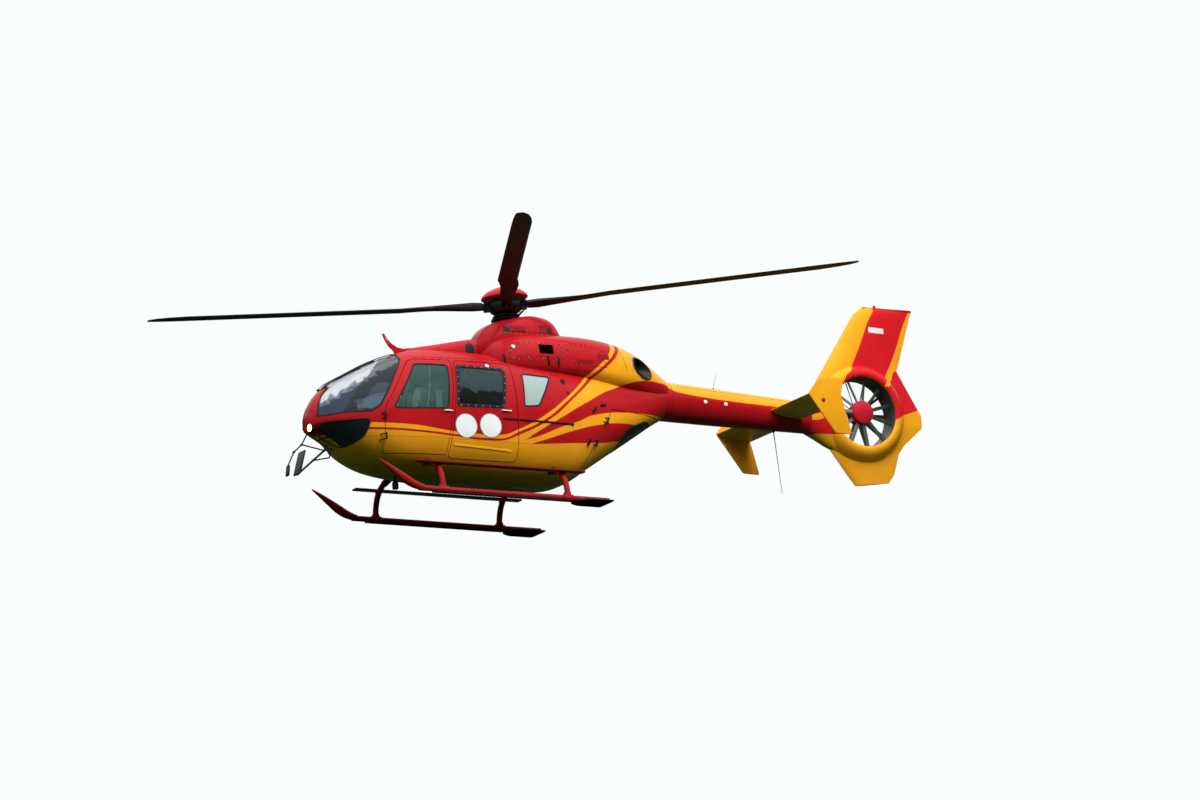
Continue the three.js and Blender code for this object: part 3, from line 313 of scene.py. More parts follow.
def loft(name, rings, closed=False):
    """A solid through rings of equal count, closed by its end rings, or into a loop of rings."""
    rings = np.asarray(rings, float)
    count, size = rings.shape[:2]
    faces = []
    for r in range(count if closed else count - 1):
        a, b = r * size, (r + 1) % count * size
        faces += [(a + i, a + (i + 1) % size, b + (i + 1) % size, b + i) for i in range(size)]
    if not closed:
        faces += [tuple(range(size))[::-1], tuple(range((count - 1) * size, count * size))]
    return outward(make(name, rings.reshape(-1, 3), faces))


def stations(table, between, first=None, last=None):
    """Stations through a table, with the same number between every two rows."""
    rows = [row[0] for row in table]
    if first is not None:
        rows = [first] + [x for x in rows if last < x < first] + [last]
    out = [np.linspace(a, b, between, endpoint=False) for a, b in zip(rows, rows[1:])]
    return np.concatenate(out + [[rows[-1]]])


def body(name, table, inset=0.0, between=8, quarter=28, first=None, last=None):
    """The solid of a section table, inset all round."""
    at = stations(table, between, first, last)
    if first is None and inset:
        keep = at[(at < at[0] - inset - 1e-4)] if inset > 0 else at[1:]
        at = np.concatenate([[at[0] - inset], keep])
    rings = []
    for x in at:
        s = {k: v[0] for k, v in section(table, x).items()}
        s["x"] = x
        rings.append(ring(s, inset, quarter))
    return loft(name, rings)


print("shape helpers ready")

# %% [markdown]
# Doors and windows are drawn as outlines in the side view and pushed through the skin as prisms, the way a
# panel is trimmed to a template. Blender's manifold solver joins and cuts closed meshes exactly and in
# milliseconds. Several cuts are stacked as modifiers and evaluated once.

# %% Cutting and joining
def remove(*objs):
    for obj in objs:
        mesh = obj.data
        bpy.data.objects.remove(obj)
        bpy.data.meshes.remove(mesh)


def settle(obj):
    """Makes what an object's modifiers give into its own mesh."""
    graph = bpy.context.evaluated_depsgraph_get()
    done = bpy.data.meshes.new_from_object(obj.evaluated_get(graph))
    obj.modifiers.clear()
    old, obj.data = obj.data, done
    bpy.data.meshes.remove(old)
    return obj


def combine(obj, steps, keep=()):
    """Applies [operation, cutter] pairs to obj, and removes the cutters that aren't kept."""
    for operation, cutter in steps:
        modifier = obj.modifiers.new("cut", "BOOLEAN")
        modifier.solver = "MANIFOLD"
        modifier.operation = operation
        modifier.object = cutter
    settle(obj)
    remove(*{cutter for _, cutter in steps if cutter not in keep})
    return obj


def cut(obj, *cutters, keep=()):
    return combine(obj, [("DIFFERENCE", c) for c in cutters], keep)


def join(obj, *others):
    return combine(obj, [("UNION", o) for o in others])


def within(obj, *others, keep=()):
    return combine(obj, [("INTERSECT", o) for o in others], keep)


def copied(obj, name):
    """A second object with a mesh of its own."""
    twin = obj.copy()
    twin.data = obj.data.copy()
    twin.name = twin.data.name = name
    scene.collection.objects.link(twin)
    return twin


def mirrored(obj, name):
    """The same mesh on the other side of the aircraft."""
    twin = copied(obj, name)
    twin.data.transform(Matrix.Diagonal((1, -1, 1, 1)))
    twin.data.flip_normals()
    return twin


def gathered(name, objs):
    """Several meshes as one piece, without joining their surfaces."""
    bm = bmesh.new()
    for obj in objs:
        bm.from_mesh(obj.data)
    mesh = bpy.data.meshes.new(name)
    bm.to_mesh(mesh)
    bm.free()
    materials = [m for m in objs[0].data.materials]
    remove(*objs)
    for material in materials:
        mesh.materials.append(material)
    piece = bpy.data.objects.new(name, mesh)
    scene.collection.objects.link(piece)
    return piece


print("cutting helpers ready")

# %% [markdown]
# Outlines are lists of [x, z] points with few corners. Two small tools finish them: one rounds the corners,
# and one grows or shrinks the whole outline, which gives a door its gap and a window its rubber.

# %% Outlines
def rounded(outline, radius, steps=8):
    out = []
    count = len(outline)
    for i, corner in enumerate(outline):
        p = np.array(corner, float)
        before, after = np.array(outline[i - 1], float) - p, np.array(outline[(i + 1) % count], float) - p
        reach = min(radius, np.linalg.norm(before) / 2.2, np.linalg.norm(after) / 2.2)
        u, v = before / np.linalg.norm(before), after / np.linalg.norm(after)
        for t in np.linspace(0, 1, steps + 1):
            out.append(p + u * reach * (1 - t) ** 2 + v * reach * t ** 2)
    return np.array(out)


def grown(outline, distance):
    p = np.asarray(outline, float)
    after, before = np.roll(p, -1, 0), np.roll(p, 1, 0)
    area = np.sum(p[:, 0] * after[:, 1] - after[:, 0] * p[:, 1])
    def normal(a, b):
        d = b - a
        return np.stack([d[:, 1], -d[:, 0]], 1) / np.maximum(np.linalg.norm(d, axis=1, keepdims=True), 1e-9)
    n, m = normal(before, p), normal(p, after)
    share = np.sign(area) * distance / np.maximum(0.3, 1 + np.sum(n * m, 1, keepdims=True))
    return p + (n + m) * share


def extruded(name, points):
    """A closed solid from the points of one outline, followed by their copies on its far side."""
    size = len(points) // 2
    faces = [(i, (i + 1) % size, size + (i + 1) % size, size + i) for i in range(size)]
    faces += [tuple(range(size))[::-1], tuple(range(size, 2 * size))]
    return outward(make(name, points, faces))


def prism(name, outline, y0, y1):
    """A side-view outline pushed from y0 to y1."""
    return extruded(name, [(x, y, z) for y in (y0, y1) for x, z in outline])


def flat_prism(name, outline, z0, z1):
    """An outline of [x, y] points pushed from z0 to z1."""
    return extruded(name, [(x, y, z) for z in (z0, z1) for x, y in outline])


def block(name, low, high):
    x, y, z = zip(low, high)
    outline = [(x[0], z[0]), (x[1], z[0]), (x[1], z[1]), (x[0], z[1])]
    return prism(name, outline, y[0], y[1])


def rod(name, start, end, radius, sides=24, end_radius=None):
    """A cylinder or cone between two points."""
    start, end = np.array(start, float), np.array(end, float)
    return tube(name, [start, end], [radius, radius if end_radius is None else end_radius], sides)


def tube(name, path, radius, sides=16):
    """A round tube along points, with one radius or one for each point."""
    path = np.asarray(path, float)
    radius = np.broadcast_to(radius, len(path))
    along = np.gradient(path, axis=0)
    along /= np.linalg.norm(along, axis=1, keepdims=True)
    across = np.array([0.0, 0.0, 1.0]) if abs(along[0, 2]) < 0.9 else np.array([0.0, 1.0, 0.0])
    angle = np.linspace(0, 2 * math.pi, sides, endpoint=False)
    rings = []
    for p, t, r in zip(path, along, radius):
        across = across - t * (across @ t)
        across /= np.linalg.norm(across)
        other = np.cross(t, across)
        rings.append(p + r * (np.cos(angle)[:, None] * across + np.sin(angle)[:, None] * other))
    return loft(name, rings)


def smooth_path(points, step=0.02):
    """Points along a smooth curve through the given ones, about a step apart."""
    points = np.asarray(points, float)
    padded = np.concatenate([[2 * points[0] - points[1]], points, [2 * points[-1] - points[-2]]])
    out = []
    for p0, p1, p2, p3 in zip(padded, padded[1:], padded[2:], padded[3:]):
        count = max(2, int(np.linalg.norm(p2 - p1) / step))
        t = np.linspace(0, 1, count, endpoint=False)[:, None]
        out.append(0.5 * (2 * p1 + (p2 - p0) * t + (2 * p0 - 5 * p1 + 4 * p2 - p3) * t ** 2
                          + (3 * p1 - p0 - 3 * p2 + p3) * t ** 3))
    return np.concatenate(out + [points[-1:]])


def turned(name, profile, origin=(0, 0, 0), axis=(0, 0, 1), sides=64):
    """A solid turned from [radius, height] pairs about an axis through the origin point."""
    axis = Vector(axis).normalized()
    matrix = np.array(axis.to_track_quat("Z", "Y").to_matrix())
    angle = np.linspace(0, 2 * math.pi, sides, endpoint=False)
    rings = []
    for r, h in profile:
        r = max(r, 1e-5)
        local = np.stack([r * np.cos(angle), r * np.sin(angle), np.full(sides, h)], 1)
        rings.append(local @ matrix.T + np.array(origin, float))
    closes = profile[0] == profile[-1]
    return loft(name, rings[:-1] if closes else rings, closed=closes)


print("outline helpers ready")

# %% [markdown]
# Rubber seals, seams, rails and painted bars all lie on a skin. A ribbon follows a path over the skin: its
# width runs along the surface and its height along the surface's own normal, so it hugs the curve
# everywhere. A path is drawn in the side view or from above, evened out, and laid on the skin.

# %% Ribbons on a skin
RIBBON_PROFILE = [(-0.5, 0.0), (-0.5, 0.6), (-0.38, 1.0), (0.38, 1.0), (0.5, 0.6), (0.5, 0.0)]


def evened(path, closed, step=0.018):
    """The same line in points about a step apart."""
    path = np.asarray(path, float)
    if closed:
        path = np.concatenate([path, path[:1]])
    run = np.concatenate([[0], np.cumsum(np.linalg.norm(np.diff(path, axis=0), axis=1))])
    count = max(3, int(run[-1] / step))
    at = np.linspace(0, run[-1], count, endpoint=not closed)
    return np.stack([np.interp(at, run, path[:, c]) for c in range(path.shape[1])], 1)


def on_side(table, path, closed=True, side=1, step=0.018):
    """A side-view path laid on the skin."""
    flat = evened(path, closed, step)
    return np.stack([flat[:, 0], side * side_y(table, flat[:, 0], flat[:, 1]), flat[:, 1]], 1)


def on_top(table, path, closed=False, step=0.018):
    """A path seen from above, as [x, y], laid on the upper skin."""
    flat = evened(path, closed, step)
    return np.stack([flat[:, 0], flat[:, 1], top_z(table, flat[:, 0], flat[:, 1])], 1)


def ribbon(name, table, path, width, top=0.003, base=-0.004, closed=True):
    """A strip along a path on the skin, from base below it to top above it."""
    normal = skin_normals(table, path)
    if closed:
        along = np.roll(path, -1, 0) - np.roll(path, 1, 0)
    else:
        along = np.gradient(path, axis=0)
    side = np.cross(along, normal)
    side /= np.linalg.norm(side, axis=1, keepdims=True)
    edges = [path + side * width * u + normal * (base + (top - base) * v) for u, v in RIBBON_PROFILE]
    return loft(name, np.stack(edges, 1), closed=closed)


def strip(name, table, ends, width, top, base=-0.004):
    """A ribbon along an open line of the side view."""
    return ribbon(name, table, on_side(table, ends, False), width, top, base, closed=False)


print("ribbon helpers ready")

# %% [markdown]
# A piece is finished in one place: it gets its material and its smooth shading, it is told which body it
# rides on, and the plain solids that it stands for are hidden. The finish of the record that it stands for is
# looked up from the material, by a table further on, unless a call names another.

# %% Finishing a piece
SHARP = math.radians(32)
# The bodies that a port piece and its starboard twin ride on.
FIXED = ("airframe", "airframe")
PILOT_BODIES = ("pilot_door_port", "pilot_door_starboard")
CLAM_BODIES = ("clamshell_port", "clamshell_starboard")
triangles = {}


def piece(obj, material, ride="airframe", replaces=(), slot=None, sharp=SHARP):
    """Shades and paints a finished mesh, puts it on its body, hides the solids that it replaces and counts
    its triangles.
    """
    obj.data.materials.clear()
    obj.data.materials.append(material)
    obj.data.shade_smooth()
    obj.data.set_sharp_from_angle(angle=sharp)
    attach(obj, ride)
    slot = slot or usual_slot[material.name]
    if replaces:
        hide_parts(*([replaces] if isinstance(replaces, str) else replaces))
    triangles[obj.name] = sum(len(face.vertices) - 2 for face in obj.data.polygons)
    return obj


def pair(port, name, material, rides=FIXED, replaces=None, slot=None, sharp=SHARP):
    """A port piece and its starboard twin. A replaced node's name has {} for the side."""
    starboard = mirrored(port, f"{name}_right")
    port.name = f"{name}_left"
    done = []
    for obj, side, ride in ((port, "left", rides[0]), (starboard, "right", rides[1])):
        nodes = [n.format(side) for n in ([replaces] if isinstance(replaces, str) else replaces or [])]
        done.append(piece(obj, material, ride, nodes, slot, sharp))
    return done


print("finishing helpers ready")
# %% [markdown]
# Finishes come next. Each one is a Principled shader with its own nodes on Object coordinates, so a pattern
# stays with the piece. A small class keeps the node code short: `node` adds a node and fills its sockets,
# where a socket may take a number, a colour or another node's output, and `plus`, `less` and `times` add the
# nodes for sums.

# %% Building a finish
class Finish:
    def __init__(self, name, colour=(0.5, 0.5, 0.5), roughness=0.5, **sockets):
        self.material = bpy.data.materials.new(name)
        self.material.use_nodes = True
        self.tree = self.material.node_tree
        self.shader = self.tree.nodes["Principled BSDF"]
        self.set(self.shader, {"Base Color": colour, "Roughness": roughness})
        self.set(self.shader, {key.replace("_", " "): value for key, value in sockets.items()})
        self.place = self.node("ShaderNodeTexCoord").outputs["Object"]

    def set(self, node, values):
        for key, value in values.items():
            socket = node.inputs[key]
            if isinstance(value, bpy.types.NodeSocket):
                self.tree.links.new(value, socket)
            elif isinstance(value, tuple) and len(value) == 3 and socket.type == "RGBA":
                socket.default_value = (*value, 1.0)
            else:
                socket.default_value = value

    def node(self, kind, values=None, **settings):
        node = self.tree.nodes.new(kind)
        for key, value in settings.items():
            setattr(node, key, value)
        self.set(node, values or {})
        return node

    def math(self, operation, a, b=0.0, clamp=False):
        node = self.node("ShaderNodeMath", {0: a, 1: b}, operation=operation, use_clamp=clamp)
        return node.outputs[0]

    def plus(self, a, b, clamp=False):
        return self.math("ADD", a, b, clamp)

    def less(self, a, b):
        return self.math("SUBTRACT", a, b)

    def times(self, a, b, clamp=False):
        return self.math("MULTIPLY", a, b, clamp)

    def noise(self, scale, detail=3.0, stretch=(1, 1, 1), roughness=0.55):
        where = self.place
        if stretch != (1, 1, 1):
            where = self.node("ShaderNodeMapping", {"Vector": where, "Scale": stretch}).outputs[0]
        values = {"Vector": where, "Scale": scale, "Detail": detail, "Roughness": roughness}
        return self.node("ShaderNodeTexNoise", values).outputs["Fac"]

    def spread(self, value, low, high, start=0.35, end=0.65):
        """Maps the middle of a noise onto a range."""
        values = {"Value": value, "From Min": start, "From Max": end, "To Min": low, "To Max": high}
        return self.node("ShaderNodeMapRange", values).outputs[0]

    def mix(self, factor, a, b, blend="MIX"):
        node = self.tree.nodes.new("ShaderNodeMix")
        node.data_type = "RGBA"
        node.blend_type = blend
        for index, value in ((0, factor), (6, a), (7, b)):
            socket = node.inputs[index]
            if isinstance(value, bpy.types.NodeSocket):
                self.tree.links.new(value, socket)
            else:
                socket.default_value = (*value, 1.0) if isinstance(value, tuple) else value
        return node.outputs[2]

    def bump(self, height, strength, distance):
        values = {"Height": height, "Strength": strength, "Distance": distance}
        self.set(self.shader, {"Normal": self.node("ShaderNodeBump", values).outputs[0]})

    def toned(self, colour, shade):
        """A colour multiplied by a grey."""
        grey = self.node("ShaderNodeCombineColor", {0: shade, 1: shade, 2: shade}).outputs[0]
        return self.mix(1.0, colour, grey, "MULTIPLY")

    def station_and_height(self):
        """x and z of the shaded point, from the datum."""
        x, _, z = self.node("ShaderNodeSeparateXYZ", {0: self.place}).outputs
        return self.less(x, float(mast_x)), z


print("finish builder ready")

# %% [markdown]
# The paint is a clear-coated two-pack enamel. Real enamel is never one flat colour: it has a faint orange
# peel, its gloss varies from place to place, and it gathers a film of exhaust and road dirt low down.
# One function adds that to any paint, so that every painted piece has aged in the same way.

# %% Colours and the enamel
# The body's red and the fin's red below are one paint in two tones: the body's is the darker one, a painted
# shade that matches how its flank is lit.
RED_SHADED = (0.45, 0.007, 0.012)
FIN_RED = (0.66, 0.012, 0.018)
YELLOW = (0.90, 0.37, 0.012)
GRIME = (0.035, 0.028, 0.022)
ENAMEL_GLOSS = {"Specular IOR Level": 0.12, "Coat Weight": 0.1, "Coat Roughness": 0.07}


def enamel(finish, colour, dirt=0.16, low=0.45, high=1.5):
    """Clear-coated paint of a colour or a colour socket, dirtier towards height low."""
    cloud = finish.noise(2.2, 4.0)
    shade = finish.spread(cloud, 0.93, 1.05)
    toned = finish.toned(colour, shade)
    height = finish.node("ShaderNodeSeparateXYZ", {0: finish.place}).outputs[2]
    depth = finish.node("ShaderNodeMapRange", {0: height, 1: high, 2: low, 3: 0.12, 4: 1.0}).outputs[0]
    streak = finish.spread(finish.noise(5.0, 6.0, (0.35, 1.0, 1.6)), 0.0, 1.0, 0.42, 0.74)
    film = finish.times(finish.times(streak, depth), dirt, clamp=True)
    finish.set(finish.shader, {"Base Color": finish.mix(film, toned, GRIME)})
    dull = finish.plus(finish.spread(cloud, 0.24, 0.34), finish.times(film, 0.7))
    finish.set(finish.shader, {"Roughness": dull, **ENAMEL_GLOSS})
    finish.bump(finish.noise(260.0, 2.0), 0.035, 0.001)
    return finish.material


def plain_enamel(name, colour, dirt=0.16, low=0.45, high=1.5):
    return enamel(Finish(name), colour, dirt, low, high)


paint_red = plain_enamel("enamel_red", RED_SHADED)
paint_yellow = plain_enamel("enamel_yellow", YELLOW)
paint_gear = plain_enamel("enamel_gear_red", (0.36, 0.012, 0.016), 0.5, 0.0, 0.7)
# The step's dark maroon is painted shade: the step lies in the shade under the cabin.
paint_step_shade = plain_enamel("enamel_step", (0.16, 0.006, 0.009), 0.5, 0.0, 0.7)
print("plain enamels:", paint_red.name, paint_yellow.name, paint_gear.name)

# %% [markdown]
# The stripes sweep up from the nose, over the doors and the cowling, and along the boom. They cross nine
# panels, so they can't be painted panel by panel. Each edge of a stripe is one curve, a height for every
# station, and a Float Curve node holds it. The paint compares each point's height with those curves, so
# the stripes run on unbroken over every panel that shares the finish.

# %% Edges of the stripes
# Height of each edge at stations along the aircraft, from the datum.
STRIPE_TOP = [(3.36, 0.92), (2.95, 0.98), (2.72, 1.05), (2.0, 1.035), (1.38, 0.97), (0.95, 0.955),
              (0.6, 0.965), (0.32, 1.07), (0.0, 1.23), (-0.47, 1.56), (-0.97, 1.99), (-1.34, 2.34),
              (-1.5, 2.7)]
STRIPE_LOW = [(3.36, 0.85), (2.72, 0.985), (2.0, 0.968), (1.38, 0.932), (0.95, 0.905), (0.62, 0.91),
              (0.32, 1.03), (-0.08, 1.22), (-0.57, 1.59), (-1.03, 1.985), (-1.43, 2.355), (-1.58, 2.7)]
THIN_LOW = [(3.36, 0.83), (2.72, 0.955), (2.0, 0.938), (1.38, 0.902), (0.95, 0.873), (0.62, 0.88),
            (0.32, 0.985), (-0.17, 1.23), (-0.63, 1.59), (-1.1, 1.985), (-1.49, 2.34), (-1.64, 2.7)]
SWOOSH_TOP = [(0.22, 0.918), (0.02, 1.05), (-0.36, 1.27), (-0.86, 1.555), (-1.4, 1.825), (-1.96, 1.985),
              (-2.35, 2.0), (-2.6, 1.92), (-3.0, 1.872), (-3.95, 1.826), (-4.9, 1.81)]
SWOOSH_LOW = [(0.22, 0.918), (-0.02, 0.995), (-0.36, 1.14), (-0.68, 1.255), (-1.0, 1.385), (-1.5, 1.475),
              (-2.1, 1.52), (-2.4, 1.54), (-2.55, 1.4), (-4.9, 1.3)]
WEDGE_TOP = [(0.126, 0.868), (-0.12, 0.95), (-0.58, 1.11), (-1.08, 1.25), (-1.42, 1.31), (-1.9, 1.342)]
WEDGE_LOW = [(0.126, 0.864), (-0.43, 0.915), (-1.09, 0.995), (-1.57, 1.09), (-1.9, 1.12)]
EDGE_SHARPNESS = 350.0


def curve_through(finish, value, points):
    """A value looked up on a smooth curve through [value, result] points."""
    points = sorted(points)
    low = [min(p[c] for p in points) for c in (0, 1)]
    high = [max(p[c] for p in points) for c in (0, 1)]
    share = finish.node("ShaderNodeMapRange", {0: value, 1: low[0], 2: high[0]}).outputs[0]
    node = finish.node("ShaderNodeFloatCurve", {"Value": share})
    curve = node.mapping.curves[0]
    scaled = [[(p[c] - low[c]) / (high[c] - low[c]) for c in (0, 1)] for p in points]
    for end, place in ((0, scaled[0]), (1, scaled[-1])):
        curve.points[end].location = place
    for place in scaled[1:-1]:
        curve.points.new(*place)
    for point in curve.points:
        point.handle_type = "AUTO_CLAMPED"
    node.mapping.update()
    return finish.node("ShaderNodeMapRange", {0: node.outputs[0], 3: low[1], 4: high[1]}).outputs[0]


def past(finish, value, edge):
    """1 where value is over edge, else 0, with a soft line about 3 mm wide between."""
    over = finish.less(value, edge)
    return finish.plus(finish.times(over, EDGE_SHARPNESS), 0.5, clamp=True)


def between(finish, value, low, high):
    over = past(finish, value, low)
    return finish.times(over, finish.less(1.0, past(finish, value, high)))


def livery(name):
    finish = Finish(name)
    x, z = finish.station_and_height()
    edge = lambda points: curve_through(finish, x, points)
    red = past(finish, z, edge(STRIPE_TOP))
    for low, high in ((THIN_LOW, STRIPE_LOW), (SWOOSH_LOW, SWOOSH_TOP), (WEDGE_LOW, WEDGE_TOP)):
        red = finish.math("MAXIMUM", red, between(finish, z, edge(low), edge(high)))
    return enamel(finish, finish.mix(red, YELLOW, RED_SHADED), dirt=0.2)


paint_livery = livery("enamel_livery")
print("livery has", len(paint_livery.node_tree.nodes), "nodes")

# %% [markdown]
# The fin has its own sweep. Its edges run up and down rather than along, so here the curve gives a station
# for every height. A plain white bar sits near its top.

# %% Tail paint
FIN_FRONT = [(3.4, -6.08), (3.2, -5.957), (2.95, -5.845), (2.73, -5.735), (2.48, -5.6),
             (2.32, -5.455), (1.9, -5.41)]
FIN_BAND_FRONT = [(3.45, -6.70), (3.35, -6.651), (3.15, -6.555), (2.93, -6.469), (2.685, -6.357),
                  (2.484, -6.249), (2.26, -6.12)]
FIN_BAND_REAR = [(3.45, -6.86), (2.56, -6.47), (2.513, -6.382), (2.38, -6.315), (2.26, -6.20)]
FLARE_LOW = [(-5.0, 1.49), (-5.46, 1.50), (-5.55, 1.62), (-6.1, 1.72), (-6.3, 1.777), (-6.43, 1.85),
             (-6.67, 1.941), (-6.85, 2.01)]
TONGUE_TOP = [(-4.70, 1.682), (-4.78, 1.725), (-4.86, 1.746), (-5.1, 1.805), (-5.46, 1.86)]
TONGUE_LOW = [(-4.70, 1.682), (-4.876, 1.671), (-5.1, 1.718), (-5.46, 1.74)]
WHITE_BAR = {"front": -5.975, "rear": -6.235, "low": 3.07, "high": 3.15, "slope": 0.02,
             "level_at": -6.1}
BAND_FOOT = 2.25
TAIL_FRONT = -5.42
# The bore's dark grey is partly grey paint and partly painted shade for the inside of the duct.
BORE_GREY_AND_SHADE = {"x": -5.77, "z": 1.86, "edge": 0.514, "colour": (0.052, 0.056, 0.050)}


def tail_livery(name):
    finish = Finish(name)
    x, z = finish.station_and_height()
    behind = finish.less(1.0, past(finish, x, curve_through(finish, z, FIN_FRONT)))
    flare = past(finish, z, curve_through(finish, x, FLARE_LOW))
    red = finish.times(behind, flare)
    band_rear = curve_through(finish, z, FIN_BAND_REAR)
    band = between(finish, x, band_rear, curve_through(finish, z, FIN_BAND_FRONT))
    band = finish.times(band, past(finish, z, BAND_FOOT))
    red = finish.times(red, finish.less(1.0, band))
    boom_line = curve_through(finish, x, [(-4.85, 1.81), (-5.42, 1.86)])
    boom_red = between(finish, z, curve_through(finish, x, FLARE_LOW), boom_line)
    boom_red = finish.times(boom_red, past(finish, x, TAIL_FRONT))
    red = finish.math("MAXIMUM", red, boom_red)
    tongue = between(finish, z, curve_through(finish, x, TONGUE_LOW), curve_through(finish, x, TONGUE_TOP))
    tongue = finish.times(tongue, past(finish, x, TAIL_FRONT))
    red = finish.times(red, finish.less(1.0, tongue))
    paint = finish.mix(red, YELLOW, FIN_RED)
    lean = finish.times(finish.less(x, WHITE_BAR["level_at"]), WHITE_BAR["slope"])
    tilted = finish.less(z, lean)
    bar = finish.times(between(finish, tilted, WHITE_BAR["low"], WHITE_BAR["high"]),
                      between(finish, x, WHITE_BAR["rear"], WHITE_BAR["front"]))
    marked = finish.mix(bar, paint, (0.8, 0.78, 0.76))
    place = finish.node("ShaderNodeCombineXYZ", {0: x, 2: z}).outputs[0]
    fan_axis = finish.node("ShaderNodeCombineXYZ", {0: BORE_GREY_AND_SHADE["x"], 2: BORE_GREY_AND_SHADE["z"]}).outputs[0]
    ends = {0: place, 1: fan_axis}
    reach = finish.node("ShaderNodeVectorMath", ends, operation="DISTANCE").outputs["Value"]
    # Inside the bore the paint turns dark grey: grey paint with painted shade.
    bore_shade = finish.less(1.0, past(finish, reach, BORE_GREY_AND_SHADE["edge"]))
    return enamel(finish, finish.mix(bore_shade, marked, BORE_GREY_AND_SHADE["colour"]), dirt=0.2)


paint_tail = tail_livery("enamel_tail")
print("tail paint has", len(paint_tail.node_tree.nodes), "nodes")

# %% [markdown]
# Glass on a helicopter is thin acrylic. It is modelled as thin solid panes, so a Principled shader with
# transmission gives the right double reflection. The windscreen is nearly clear. The door windows are tinted
# green-grey and low in gloss, or they would mirror the rotor blade above them as a black bar. The chin
# windows look black because nothing behind them is lit, so their glass is near-black, a painted shade, and
# the small side windows are frosted. Low down, the windscreen and the sliding doors' windows look almost
# black as well, because a full cabin is dark, and this one is not full. So their glass has a painted shade of
# its own below a ragged line.

# %% Glass
SHADE_RAGGED = 0.05
SHADE_SHARPNESS = 40.0


def glass(name, tint, roughness=0.02, transmission=1.0, haze=0.0, ior=1.49, shade=None):
    """A pane; shade is painted shade in the glass: a darker colour, the height of its upper edge over the
    datum, and that edge's slope.
    """
    finish = Finish(name, tint, roughness, IOR=ior, Transmission_Weight=transmission)
    if shade:
        dark, foot, slope = shade
        x, z = finish.station_and_height()
        run = finish.times(x, slope)
        ragged = finish.spread(finish.noise(7.0, 4.0), -SHADE_RAGGED, SHADE_RAGGED)
        over = finish.less(z, finish.plus(finish.plus(run, foot), ragged))
        clear = finish.plus(finish.times(over, SHADE_SHARPNESS), 0.5, clamp=True)
        finish.set(finish.shader, {"Base Color": finish.mix(clear, dark, tint)})
    smear = finish.spread(finish.noise(3.5, 5.0, (1, 1, 2.5)), 0.0, 1.0, 0.45, 0.8)
    dull = finish.plus(finish.times(smear, 0.05 + haze), roughness)
    finish.set(finish.shader, {"Roughness": dull})
    finish.bump(finish.noise(1.6, 1.0), 0.05, 0.02)
    return finish.material


# Painted shade low in the windscreen and in the sliding doors' panes: a darker colour below a ragged line,
# for a dark cabin.
SCREEN_SHADE = ((0.13, 0.17, 0.25), 3.15, -0.56)
glass_clear = glass("acrylic_clear", (0.86, 0.89, 0.93), shade=SCREEN_SHADE)
glass_door = glass("acrylic_green", (0.23, 0.40, 0.37), transmission=0.86, ior=1.15)
SLIDE_SHADE = ((0.045, 0.06, 0.045), 1.60, 0.0)
glass_slide = glass("acrylic_slide", (0.22, 0.33, 0.36), transmission=0.86, ior=1.15, shade=SLIDE_SHADE)
# Near-black glass for the chin and clamshell panes: painted shade for the unlit space behind them.
glass_dark = glass("acrylic_black", (0.02, 0.025, 0.03), transmission=0.55)
glass_frosted = glass("acrylic_frosted", (0.50, 0.62, 0.58), 0.35, 0.35, haze=0.1)
print("glass finishes:", [m.name for m in (glass_clear, glass_door, glass_slide, glass_dark, glass_frosted)])

# %% [markdown]
# The rest are metals, rubber and plastics. Cast metal gets a pebbled bump, bare metal gets fine
# scratches along one direction, and rubber and moulded plastic get a fine grain. Steel that carries exhaust
# gas turns straw and blue near the hot end.

# %% Metals, rubber and plastics
def metal(name, colour, roughness=0.4, grain=(1, 1, 1), scale=60.0, depth=0.0004, dirt=0.3):
    finish = Finish(name, colour, roughness, Metallic=1.0)
    fine = finish.noise(scale, 5.0, grain)
    wear = finish.spread(finish.noise(9.0, 5.0), 0.0, 1.0, 0.45, 0.75)
    finish.set(finish.shader, {
        "Base Color": finish.mix(finish.times(wear, dirt), colour, GRIME),
        "Roughness": finish.plus(finish.times(fine, 0.25), roughness - 0.1),
    })
    finish.bump(fine, 0.5, depth)
    return finish.material


def moulded(name, colour, roughness=0.55, scale=420.0, depth=0.0003, contrast=0.25):
    """Rubber, plastic or a painted composite with a fine grain."""
    finish = Finish(name, colour, roughness)
    grain = finish.noise(scale, 3.0)
    cloud = finish.spread(finish.noise(6.0, 5.0), 1.0 - contrast, 1.0 + contrast)
    finish.set(finish.shader, {
        "Base Color": finish.toned(colour, cloud),
        "Roughness": finish.plus(finish.times(grain, 0.2), roughness - 0.1),
    })
    finish.bump(grain, 0.35, depth)
    return finish.material


def hot_steel(name):
    finish = Finish(name, (0.12, 0.115, 0.11), 0.42, Metallic=0.9)
    x = finish.node("ShaderNodeSeparateXYZ", {0: finish.place}).outputs[0]
    heat = finish.node("ShaderNodeMapRange", {0: x, 1: -0.98, 2: -0.68, 3: 0.0, 4: 1.0}).outputs[0]
    wave = finish.plus(heat, finish.times(finish.noise(14.0, 4.0), 0.25))
    ramp = finish.node("ShaderNodeValToRGB", {0: wave})
    stops = [(0.15, (0.10, 0.10, 0.11)), (0.45, (0.16, 0.12, 0.08)),
             (0.7, (0.06, 0.065, 0.09)), (1.0, (0.02, 0.02, 0.02))]
    elements = ramp.color_ramp.elements
    elements.remove(elements[0])
    elements[0].position = stops[0][0]
    elements[0].color = (*stops[0][1], 1)
    for position, colour in stops[1:]:
        elements.new(position).color = (*colour, 1)
    finish.set(finish.shader, {"Base Color": ramp.outputs[0]})
    finish.bump(finish.noise(120.0, 4.0), 0.4, 0.0005)
    return finish.material


